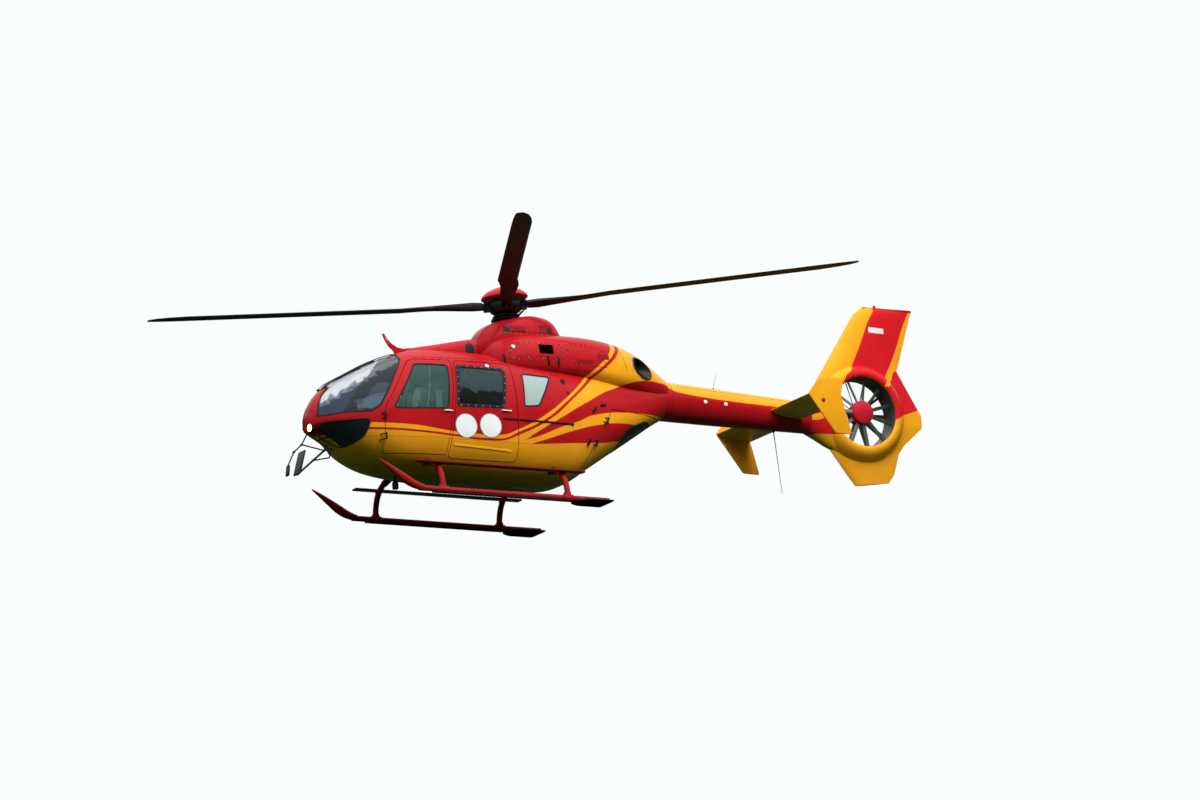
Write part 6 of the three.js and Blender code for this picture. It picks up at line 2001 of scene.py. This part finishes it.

# %% [markdown]
# Vents are a black strip behind a row of slats: painted shade for the dark opening of a vent. The strip is a
# wide ribbon, and the row tree repeats one slat down it. Catches stand along the edges of the engine doors.

# %% Vents, screens and catches
# Vents: name, table, station of the middle, top, bottom, half length, slats.
VENTS = [
    ("fairing_vent_front", FAIRING, 0.06, 2.70, 2.61, 0.18, 6),
    ("fairing_vent_rear", FAIRING, -0.46, 2.74, 2.62, 0.11, 7),
    ("cowling_vent_low", COWLING, -0.90, 2.20, 2.14, 0.14, 4),
    ("cowling_vent_rear", COWLING, -1.22, 2.30, 2.22, 0.09, 5),
]
for name, table, x, high, low, reach, slats in VENTS:
    middle = (high + low) / 2
    # A black ribbon on the skin, painted shade for the vent's opening.
    recess = strip("recess", table, [(x - reach, middle), (x + reach, middle)], high - low, 0.0015)
    pair(recess, name + "_recess", black_paint)
    first = on_side(table, [(x - reach, high - 0.008), (x + reach, high - 0.008)], False)
    last = on_side(table, [(x, low + 0.008), (x + 0.01, low + 0.008)], False)[0]
    step = (last - first[len(first) // 2]) / (slats - 1)
    slat = ribbon("slat", table, first, 0.010, 0.006, -0.002, closed=False)
    rows = row_of("slats", slat, slats, (0.0, step[1], step[2]), paint_red)
    pair(rows, name + "_slats", paint_red)

bar = rod("bar", (-0.395, 0.575, 2.246), (-0.395, 0.575, 2.379), 0.0025, 8)
pair(row_of("bars", bar, 9, (0.026, 0, 0), dark_metal), "intake_screen", dark_metal)

catch = block("catch", (-0.012, -0.008, 0.0), (0.012, 0.008, 0.004))
join(catch, block("hook", (-0.006, -0.016, 0.002), (0.006, 0.016, 0.008)))
low_edge = on_side(COWLING, [(0.22, 2.165), (-0.44, 2.165)], False)
catches = along_path("catches", COWLING, low_edge, catch, 0.21, bare_metal, closed=False)
pair(catches, "cowling_catches", bare_metal)
for number, x in enumerate((0.36, -0.30, -0.46), 1):
    bracket = strip("bracket", COWLING, [(x, 2.21), (x - 0.012, 2.08)], 0.034, 0.014, -0.003)
    pair(bracket, f"cowling_bracket_{number}", black_paint)
print("vents:", len(VENTS), "pairs")

# %% [markdown]
# The doors turn on small knuckle hinges that stand just outside the skin. Each hinge is drawn twice over:
# the fixed knuckles stay with the airframe and the middle one goes with the door, on the joint's own axis.

# %% Hinges
def hinge_parts(at, step, heights, pad, door, r=0.012, knuckle=0.022):
    fixed, swinging = [], []
    for z in heights:
        p = lambda offset: at(z + offset * step)
        swinging += [rod("k", p(-knuckle), p(knuckle), r, 24), rod("a", p(0), door(z), r * 0.7, 12)]
        for s in (-1, 1):
            middle = s * (knuckle + 0.015)
            fixed.append(rod("k", p(s * (knuckle + TOUCH)), p(s * (knuckle + 0.03)), r, 24))
            fixed.append(rod("a", p(middle), pad(z + middle * step), r * 0.7, 12))
    return gathered("fixed", fixed), gathered("swinging", swinging)


def on_skin(x, z, lift=-0.018):
    return (x, side_y(POD, x, z)[0] + lift, z)


CLAM_AXIS_Y = 0.672
clam_x = lambda z: CLAM_TOP[0] + (CLAM_LOW[0] - CLAM_TOP[0]) * (CLAM_TOP[1] - z) / (CLAM_TOP[1] - CLAM_LOW[1])
# Hinges: name, axis, its rise for each metre of its length, heights, feet of the fixed and the
# swinging arms, bodies.
HINGES = [
    ("pilot_door_hinge", lambda z: (HINGE["x"], HINGE["y"], z), 1.0, (0.85, 1.15),
     lambda z: on_skin(HINGE["x"] + 0.05, z), lambda z: on_skin(HINGE["x"] - 0.06, z), PILOT_BODIES),
    ("clamshell_hinge", lambda z: (clam_x(z) - DOOR_GAP / 2, CLAM_AXIS_Y, z), 0.865, (0.97, 1.31),
     lambda z: on_skin(clam_x(z) + 0.045, z + 0.028),
     lambda z: on_skin(clam_x(z) - 0.055, z - 0.03), CLAM_BODIES),
]
for name, at, step, heights, pad_at, door_at, rides in HINGES:
    fixed, swinging = hinge_parts(at, step, heights, pad_at, door_at)
    pair(fixed, name + "_fixed", dark_metal)
    pair(swinging, name + "_arm", dark_metal, rides)
print("hinges:", len(HINGES), "pairs")

# %% Bars behind the pilots' windows
WINDOW_BARS = [
    ("window_rail", [(2.14, 1.545), (1.395, 1.56)], 0.016, paint_red),
    ("window_latch", [(1.78, 1.80), (1.58, 1.805)], 0.016, paint_red),
    ("window_post", [(1.77, 1.30), (1.63, 1.94)], 0.022, grey_film),
]
for name, ends, width, material in WINDOW_BARS:
    pair(strip(name, POD, ends, width, -0.014, -0.024), name, material, PILOT_BODIES)
# A black disc on the roof fairing, painted shade for the intake's opening.
mouth = disc_profile(0.068, 0.006, -0.004)
scoop = knob("scoop", ROOF_FAIRING, 0.79, 2.315, mouth, 40, 1.3)
pair(scoop, "intake_mouth", black_paint)
print("window bars and intake mouths ready")
# %% [markdown]
# The nose carries the landing lamp, which is lit, and a light frame with two mirrors that let the pilots see
# the cargo hook. A search lamp hangs under the floor. Round pieces are turned from profiles, and struts are
# tubes between named points.

# %% Lamps
# The lamp's back and front on its own axis, a little to port of the nose's tip.
NOSE_LAMP = {"back": (3.22, 0.07, 1.052), "front": (3.338, 0.092, 1.044)}
lamp_axis = np.array(NOSE_LAMP["front"]) - np.array(NOSE_LAMP["back"])
# Profiles of the lamps, as [radius, height] on their own axes.
BEZEL = [(0.053, -0.085), (0.0605, -0.085), (0.0605, -0.006), (0.058, -0.001), (0.053, -0.004),
         (0.053, -0.085)]
DOME = [(0, -0.08), (0.0525, -0.08), (0.0525, -0.012), (0.045, -0.006), (0.025, -0.002), (0, -0.001)]
LAMP_SHELL = [(0.034, 0.008), (0.038, 0.002), (0.042, 0.006), (0.045, 0.03), (0.045, 0.085), (0.04, 0.105),
              (0.028, 0.12), (0.018, 0.128), (0.018, 0.192), (0.013, 0.192), (0.013, 0.12),
              (0.034, 0.075), (0.034, 0.008)]
LAMP_LENS = [(0, 0.016), (0.02, 0.013), (0.0335, 0.02), (0.0335, 0.03), (0, 0.03)]
BEACON_BASE = [(0, 0.02), (0.026, 0.02), (0.026, 0.056), (0.022, 0.06), (0, 0.06)]
BEACON_LENS = [(0, 0.06), (0.021, 0.06), (0.021, 0.084), (0.014, 0.094), (0, 0.098)]
LAMP, BEACON = (1.943, 0.0, 0.262), (-6.13, 0.0, 3.4)
bezel = cut(turned("landing_light_bezel", BEZEL, NOSE_LAMP["front"], lamp_axis), pod_clear())
piece(bezel, dark_metal)
glass_dome = cut(turned("landing_light_lens", DOME, NOSE_LAMP["front"], lamp_axis), pod_clear())
piece(glass_dome, lamp_lit, replaces="landing_light")
piece(turned("belly_lamp_shell", LAMP_SHELL, LAMP), black_paint)
piece(turned("belly_lamp_lens", LAMP_LENS, LAMP), lamp_off, replaces="belly_lamp")
fins = block("fin", (-0.0448, -0.002, LAMP[2] + 0.034), (-0.03, 0.002, LAMP[2] + 0.08))
fins = ring_of("belly_lamp_fins", fins, 20, (LAMP[0], 0, 0), UP, black_paint)
piece(fins, black_paint)
piece(turned("beacon_base", BEACON_BASE, BEACON), dark_metal)
piece(turned("beacon_lens", BEACON_LENS, BEACON), lens_red)

# %% Mirrors
# Joints of the frame, x and z in the middle plane. Pin and heel lie inside the nose.
JOINTS = {"nose": (3.305, 1.01), "joint": (3.417, 0.816), "elbow": (3.55, 0.70), "small": (3.668, 0.47),
          "low": (3.06, 0.755), "pin": (3.0, 0.865), "aft": (2.985, 0.655), "heel": (2.93, 0.83),
          "brace": (3.25, 0.597), "foot": (3.51, 0.38)}
STRUTS = [("nose", "joint", 0.010), ("joint", "low", 0.010), ("low", "foot", 0.015), ("aft", "brace", 0.010),
          ("joint", "elbow", 0.010), ("elbow", "small", 0.010), ("low", "pin", 0.012), ("aft", "heel", 0.010)]
CLAMP = [(0, -0.016), (0.017, -0.016), (0.018, 0), (0.017, 0.016), (0, 0.016)]
CLAMPED = ("joint", "elbow", "brace", "foot", "low")
MIRROR_FACE = 0.88
in_plane = lambda key: (JOINTS[key][0], 0, JOINTS[key][1])
struts = [rod("strut", in_plane(a), in_plane(b), r, 20) for a, b, r in STRUTS]
struts += [turned("clamp", CLAMP, in_plane(key), ACROSS, 20) for key in CLAMPED]
frame_tubes = gathered("mirror_struts", struts)
piece(frame_tubes, dark_metal, replaces="mirror_frame")


def mirror(name, x, z, rise, lean, reach):
    """A soft-edged shell with its glass facing back and up, towards the pilots."""
    size = math.hypot(lean, rise)
    run = np.array([-lean, rise]) / size
    out = np.array([run[1], -run[0]])

    def slab(label, share, near, far):
        """A plate over a share of the shell's size, from near to far along its normal."""
        ends = [(-1, near), (1, near), (1, far), (-1, far)]
        outline = [tuple(np.array([x, z]) + run * size * share * end + out * at) for end, at in ends]
        return prism(label, outline, -reach * share, reach * share)

    shell = softened(slab(name, 1.0, -0.006, 0.02), min(0.012, reach * 0.3), 4)
    piece(shell, black_paint)
    face = softened(slab(name + "_glass", MIRROR_FACE, -0.008, -0.004), 0.001, 2)
    piece(face, mirror_glass, slot="metal_bare")


mirror_glass = metal("mirror_glass", (0.75, 0.78, 0.80), 0.12, scale=4.0, depth=0.0, dirt=0.05)
mirror("mirror_large", 3.46, 0.545, 0.175, 0.052, 0.10)
mirror("mirror_small", 3.655, 0.42, 0.08, 0.012, 0.042)

# %% Wipers, wire cutter and antennas
WIPER_PIVOT = [(0, -0.01), (0.022, -0.01), (0.022, 0.02), (0.014, 0.03), (0, 0.03)]
for side, name in ((1, "left"), (-1, "right")):
    sweep = on_top(POD, [(3.04, 0.11 * side), (2.86, 0.15 * side), (2.62, 0.19 * side)], step=0.02)
    arm = ribbon(f"wiper_arm_{name}", POD, sweep, 0.016, 0.026, 0.016, closed=False)
    piece(arm, black_paint)
    sweep = on_top(POD, [(2.93, 0.115 * side), (2.30, 0.215 * side)], step=0.02)
    blade = ribbon(f"wiper_blade_{name}", POD, sweep, 0.012, 0.016, -0.004, closed=False)
    piece(blade, rubber)
    pivot = on_top(POD, [(3.04, 0.11 * side), (3.03, 0.11 * side)])[0]
    hub = turned(f"wiper_pivot_{name}", WIPER_PIVOT, pivot, skin_normals(POD, pivot[None])[0], 20)
    piece(hub, black_paint)

WIRE_CUTTER = [(1.4, 2.2), (1.4, 2.32), (1.577, 2.345), (1.70, 2.325), (1.79, 2.335), (1.885, 2.385),
               (1.96, 2.455), (2.0, 2.53), (2.03, 2.515), (1.99, 2.42), (1.93, 2.335), (1.86, 2.275),
               (1.83, 2.2)]
cutter = softened(cut(prism("wire_cutter_blade", WIRE_CUTTER, -0.009, 0.009), pod_clear()), 0.003, 3)
piece(cutter, paint_red, replaces="wire_cutter")
jaw = prism("wire_cutter_jaw", [(1.985, 2.455), (1.994, 2.448), (1.935, 2.352), (1.924, 2.36)], -0.012, 0.012)
piece(softened(jaw, 0.002, 2), bare_metal)
# Whips: name, points from the foot to the tip, radii, sides, finish, the solid it stands for.
WHIPS = [
    ("antenna_low_whip", [(-4.316, 0, 1.515), (-4.33, 0, 1.39), (-4.403, 0, 0.592)], [0.009, 0.006, 0.0035],
     16, black_paint, "antenna_low"),
    ("antenna_top_whip", [(-3.352, 0, 2.055), (-3.36, 0, 2.09), (-3.426, 0, 2.326)], [0.008, 0.004, 0.0018],
     12, grey_film, ()),
]
for name, path, radii, sides, material, node in WHIPS:
    piece(tube(name, path, radii, sides), material, replaces=node)
ANTENNA_BASE = [(0, -0.008), (0.026, -0.008), (0.024, 0.008), (0.012, 0.022), (0, 0.022)]
for name, x, z, up in (("antenna_low_base", -4.316, 1.512, -1), ("antenna_top_base", -3.352, 2.058, 1)):
    piece(turned(name, ANTENNA_BASE, (x, 0, z), (0, 0, up), 24), rubber)
BELLY_Z = 0.388
plate_low, plate_high = (-0.12, -0.11, BELLY_Z - 0.024), (0.12, 0.11, BELLY_Z + 0.01)
hook_plate = cut(softened(block("hook_plate", plate_low, plate_high), 0.006), pod_clear())
piece(hook_plate, bare_metal, replaces="cargo_plate")
PLATE_BOLT = [(0, 0), (0.009, 0), (0.009, 0.006), (0.006, 0.008), (0, 0.008)]
plate_bolt = turned("bolt", PLATE_BOLT, (0.085, 0, BELLY_Z - 0.0235), (0, 0, -1), 6)
plate_bolts = ring_of("hook_plate_bolts", plate_bolt, 8, (0, 0, 0), UP, dark_metal)
piece(plate_bolts, dark_metal)
fin_cap = [(-5.91, 3.436), (-5.93, 3.456), (-6.73, 3.456), (-6.745, 3.436)]
piece(softened(prism("fin_cap", fin_cap, -0.022, 0.022), 0.006), paint_red)
small = [name for name in triangles if name.startswith(("wiper", "mirror", "antenna", "belly", "landing"))]
print("nose and small pieces:", len(small))
# %% [markdown]
# Glass shows the cabin, so the cabin is furnished. The inside of the skin is lined in grey. A seat has a
# moulded shell and two cushions with a crowned top, sides that pull in between the corners, and sewn
# channels, which are pressed into the mesh where the thread would hold the cover down.

# %% Lining and upholstery
def lined(obj_name, material):
    """Gives the faces that look into the cabin a second finish."""
    obj = bpy.data.objects[obj_name]
    mesh = obj.data
    count = len(mesh.polygons)
    centre, normal = np.zeros(count * 3), np.zeros(count * 3)
    mesh.polygons.foreach_get("center", centre)
    mesh.polygons.foreach_get("normal", normal)
    outside = skin_normals(POD, centre.reshape(-1, 3) - datum)
    inward = np.sum(outside * normal.reshape(-1, 3), axis=1) < -0.3
    mesh.materials.append(material)
    mesh.polygons.foreach_set("material_index", inward.astype(np.int32))


for shell_name in ("cabin_skin", "pilot_door_skin_left", "pilot_door_skin_right", "sliding_door_skin_left",
                   "sliding_door_skin_right", "clamshell_skin_left", "clamshell_skin_right"):
    lined(shell_name, trim_grey)


def upholstery(name, colour, weave=900.0):
    finish = Finish(name, colour, 0.85, Sheen_Weight=0.4, Sheen_Roughness=0.5)
    waves = {"Vector": finish.place, "Scale": weave / 6, "Distortion": 0.6}
    warp = finish.node("ShaderNodeTexWave", waves, bands_direction="X")
    weft = finish.node("ShaderNodeTexWave", waves, bands_direction="Y")
    cloth = finish.times(warp.outputs["Fac"], weft.outputs["Fac"])
    worn = finish.spread(finish.noise(7.0, 4.0), 0.75, 1.15)
    finish.set(finish.shader, {"Base Color": finish.toned(colour, worn)})
    finish.bump(cloth, 0.5, 0.0006)
    return finish.material


fabric = upholstery("seat_fabric", (0.030, 0.034, 0.042))
mattress_cover = upholstery("mattress_cover", (0.45, 0.10, 0.02))
webbing = upholstery("webbing", (0.35, 0.02, 0.02), 1500.0)


def cushion(name, low, high, axis=2, crown=0.018, channels=0, square=0.28):
    """A padded box. axis is the direction that its crowned face looks to."""
    low, high = np.array(low, float), np.array(high, float)
    half, middle = (high - low) / 2, (high + low) / 2
    order = [i for i in range(3) if i != axis] + [axis]
    power = lambda v, e: np.sign(v) * np.abs(v) ** e
    theta = np.linspace(0, 2 * math.pi, 72, endpoint=False)
    rings = []
    for phi in np.linspace(-math.pi / 2, math.pi / 2, 37):
        flat = max(power(math.cos(phi), square), 1e-4)
        u, v = flat * power(np.cos(theta), square), flat * power(np.sin(theta), square)
        w = np.full(len(theta), power(math.sin(phi), square))
        # The sides pull in a little between the corners.
        pull = 1 - 0.035 * (1 - np.abs(w)) * (1 - np.abs(u * v))
        swell = crown * (1 - u ** 2) * (1 - v ** 2) * (w > 0)
        if channels:
            groove = sum(np.exp(-((v - c) / 0.05) ** 2) for c in np.linspace(-0.6, 0.6, channels))
            swell = swell - 0.010 * groove * (w > 0.5) * (1 - np.abs(u) ** 8)
        height = w * (half[axis] - crown) + swell
        local = np.stack([u * pull * half[order[0]], v * pull * half[order[1]], height], 1)
        points = np.zeros_like(local)
        points[:, order] = local
        rings.append(points + middle)
    return loft(name, rings)


def strap(name, path, width, thick=0.003, across=(0, 1, 0)):
    """Flat webbing along points."""
    path, across = smooth_path(path, 0.03), np.array(across, float)
    along = np.gradient(path, axis=0)
    out = np.cross(along, across)
    out /= np.linalg.norm(out, axis=1, keepdims=True)
    corners = [(-0.5, 0), (-0.5, 1), (0.5, 1), (0.5, 0)]
    return loft(name, np.stack([path + across * width * u + out * thick * v for u, v in corners], 1))


# %% Seats
# Seats: name, station, side, which way the back is, the plain solid that it stands for.
SEATS = [
    ("pilot_seat_port", 1.76, 0.35, 1, "pilot_seat_left"),
    ("pilot_seat_starboard", 1.76, -0.35, 1, "pilot_seat_right"),
    ("crew_seat", 0.95, 0.35, -1, "cabin_seat"),
]
FLOOR_TOP = 0.63
# Parts of a seat, from its own point with the back at -x: name, low and high corner, and for a pad
# its axis, crown, channels and fill, for a plate its rounding.
PADS = [
    ("cushion", (-0.15, -0.215, 0.945), (0.24, 0.215, 1.025), 2, 0.014, 3, 0.8),
    ("back", (-0.225, -0.2, 1.03), (-0.145, 0.2, 1.50), 0, 0.014, 3, 0.7),
    ("headrest", (-0.225, -0.12, 1.54), (-0.155, 0.12, 1.70), 0, 0.01, 0, 0.8),
]
PLATES = [
    ("pan", (-0.235, -0.225, 0.925), (0.235, 0.225, 0.948), 0.008),
    ("shell", (-0.24, -0.21, 0.93), (-0.228, 0.21, 1.71), 0.005),
    ("leg", (-0.17, -0.11, FLOOR_TOP), (0.17, -0.07, 0.93), 0.012),
    ("leg", (-0.17, 0.07, FLOOR_TOP), (0.17, 0.11, 0.93), 0.012),
]
LAP_BELT = [(-0.05, -0.19, 1.02), (-0.02, 0.0, 1.045), (-0.05, 0.19, 1.02)]
BUCKLE = [(0, 0), (0.03, 0), (0.028, 0.014), (0.018, 0.018), (0, 0.018)]
BELT_WIDTH = 0.045
for name, x, y, back, node in SEATS:
    at = lambda dx, dy, z: (x + dx * back, y + dy, z)
    ordered = lambda a, b: (tuple(np.minimum(a, b)), tuple(np.maximum(a, b)))
    for label, low, high, axis, crown, channels, fill in PADS:
        pad = cushion(f"{name}_{label}", *ordered(at(*low), at(*high)), axis, crown, channels)
        piece(pad, fabric, slot="seat_fabric", sharp=math.radians(60))
    plates = []
    for label, low, high, edge in PLATES:
        plates.append(softened(block(label, *ordered(at(*low), at(*high))), edge))
    piece(gathered(name + "_frame", plates), trim_dark, slot="trim_grey", replaces=node)
    belts = []
    for dy in (-0.1, 0.1):
        line = [at(-0.13, dy, 1.52), at(-0.128, dy, 1.25), at(-0.12, dy * 0.6, 1.07)]
        belts.append(strap("belt", line, BELT_WIDTH))
    belts.append(strap("lap", [at(*point) for point in LAP_BELT], BELT_WIDTH, across=(1, 0, 0)))
    piece(gathered(name + "_harness", belts), webbing, slot="seat_fabric")
    buckle = turned(name + "_buckle", BUCKLE, at(-0.02, 0, 1.045), UP, 24)
    piece(buckle, bare_metal)
print("seats:", len(SEATS))

# %% Stretcher and floor
mattress = cushion("stretcher_mattress", (-0.44, -0.55, 0.925), (1.24, -0.10, 0.995), crown=0.012)
piece(mattress, mattress_cover, slot="seat_fabric", sharp=math.radians(60))
deck = softened(block("deck", (-0.45, -0.56, 0.90), (1.25, -0.09, 0.925)), 0.006)
corners = [(x, y) for x in (-0.28, 1.04) for y in (-0.47, -0.22)]
legs = [block("leg", (x, y, FLOOR_TOP), (x + 0.04, y + 0.04, 0.905)) for x, y in corners]
# The rails as [x, z], and a strap as [y, z].
RAIL = [(-0.35, 0.93), (-0.33, 1.02), (1.1, 1.02), (1.12, 0.93)]
STRAP = [(-0.56, 0.95), (-0.5, 1.0), (-0.325, 1.004), (-0.15, 1.0), (-0.09, 0.95)]
rails = [tube("rail", smooth_path([(x, y, z) for x, z in RAIL], 0.04), 0.009, 12) for y in (-0.552, -0.098)]
frame_parts = gathered("stretcher_frame", [deck, *legs, *rails])
piece(frame_parts, bare_metal, replaces="stretcher")
straps = [strap("strap", [(x, y, z) for y, z in STRAP], 0.05, across=(1, 0, 0)) for x in (0.0, 0.75)]
piece(gathered("stretcher_straps", straps), webbing, slot="seat_fabric")

# %% Instrument panel
hood = [(2.42, 1.10), (2.44, 1.31), (2.50, 1.345), (2.72, 1.33), (2.86, 1.22), (2.86, 1.08)]
panel = softened(prism("panel_hood", rounded(hood, 0.03, 4), -0.33, 0.33), 0.012)
column = softened(block("column", (2.38, -0.11, FLOOR_TOP), (2.58, 0.11, 1.10)), 0.012)
room = body("room", POD, SKIN + 0.004, 4, 20)
within(panel, room)
piece(panel, trim_dark)
column.name = "panel_column"
piece(column, trim_dark, replaces="instrument_panel")
screen = Finish("display", (0.01, 0.012, 0.015), 0.12, Emission_Strength=0.35)
grid = screen.node("ShaderNodeTexBrick", {"Vector": screen.place, "Scale": 9.0, "Mortar Size": 0.02})
glow = screen.mix(grid.outputs["Fac"], (0.02, 0.07, 0.10), (0.10, 0.30, 0.22))
screen.set(screen.shader, {"Emission Color": glow})
display = softened(block("display", (2.425, -0.30, 1.14), (2.438, -0.13, 1.28)), 0.004, 2)
displays = row_of("panel_displays", display, 3, (0, 0.215, 0), screen.material)
piece(displays, screen.material, slot="paint_black")
for y, name in ((0.35, "port"), (-0.35, "starboard")):
    line = smooth_path([(2.2, y, FLOOR_TOP), (2.22, y, 0.8), (2.14, y, 0.98), (2.12, y, 1.07)], 0.03)
    stick = tube("stick", line, 0.013, 12)
    grip = cushion("grip", (2.095, y - 0.02, 1.05), (2.14, y + 0.02, 1.17), crown=0.0, square=0.6)
    piece(gathered(f"control_stick_{name}", [stick, grip]), trim_dark)

# %% Solids that keep their shape
KEPT = {"cabin_floor": trim_grey, "engine_left": cast_metal, "engine_right": cast_metal,
        "gearbox": cast_metal}
for node, material in KEPT.items():
    mesh = frame["nodes"][node].data
    mesh.materials.clear()
    mesh.materials.append(material)
left = [name for name, obj in frame["nodes"].items() if not obj.hide_render]
print("solids still shown:", left)
# %% [markdown]
# The last cell prints the number of triangles in all, and the largest piece.

# %% Triangles
print("triangles in all:", sum(triangles.values()), "most:", max(triangles.items(), key=lambda item: item[1]))
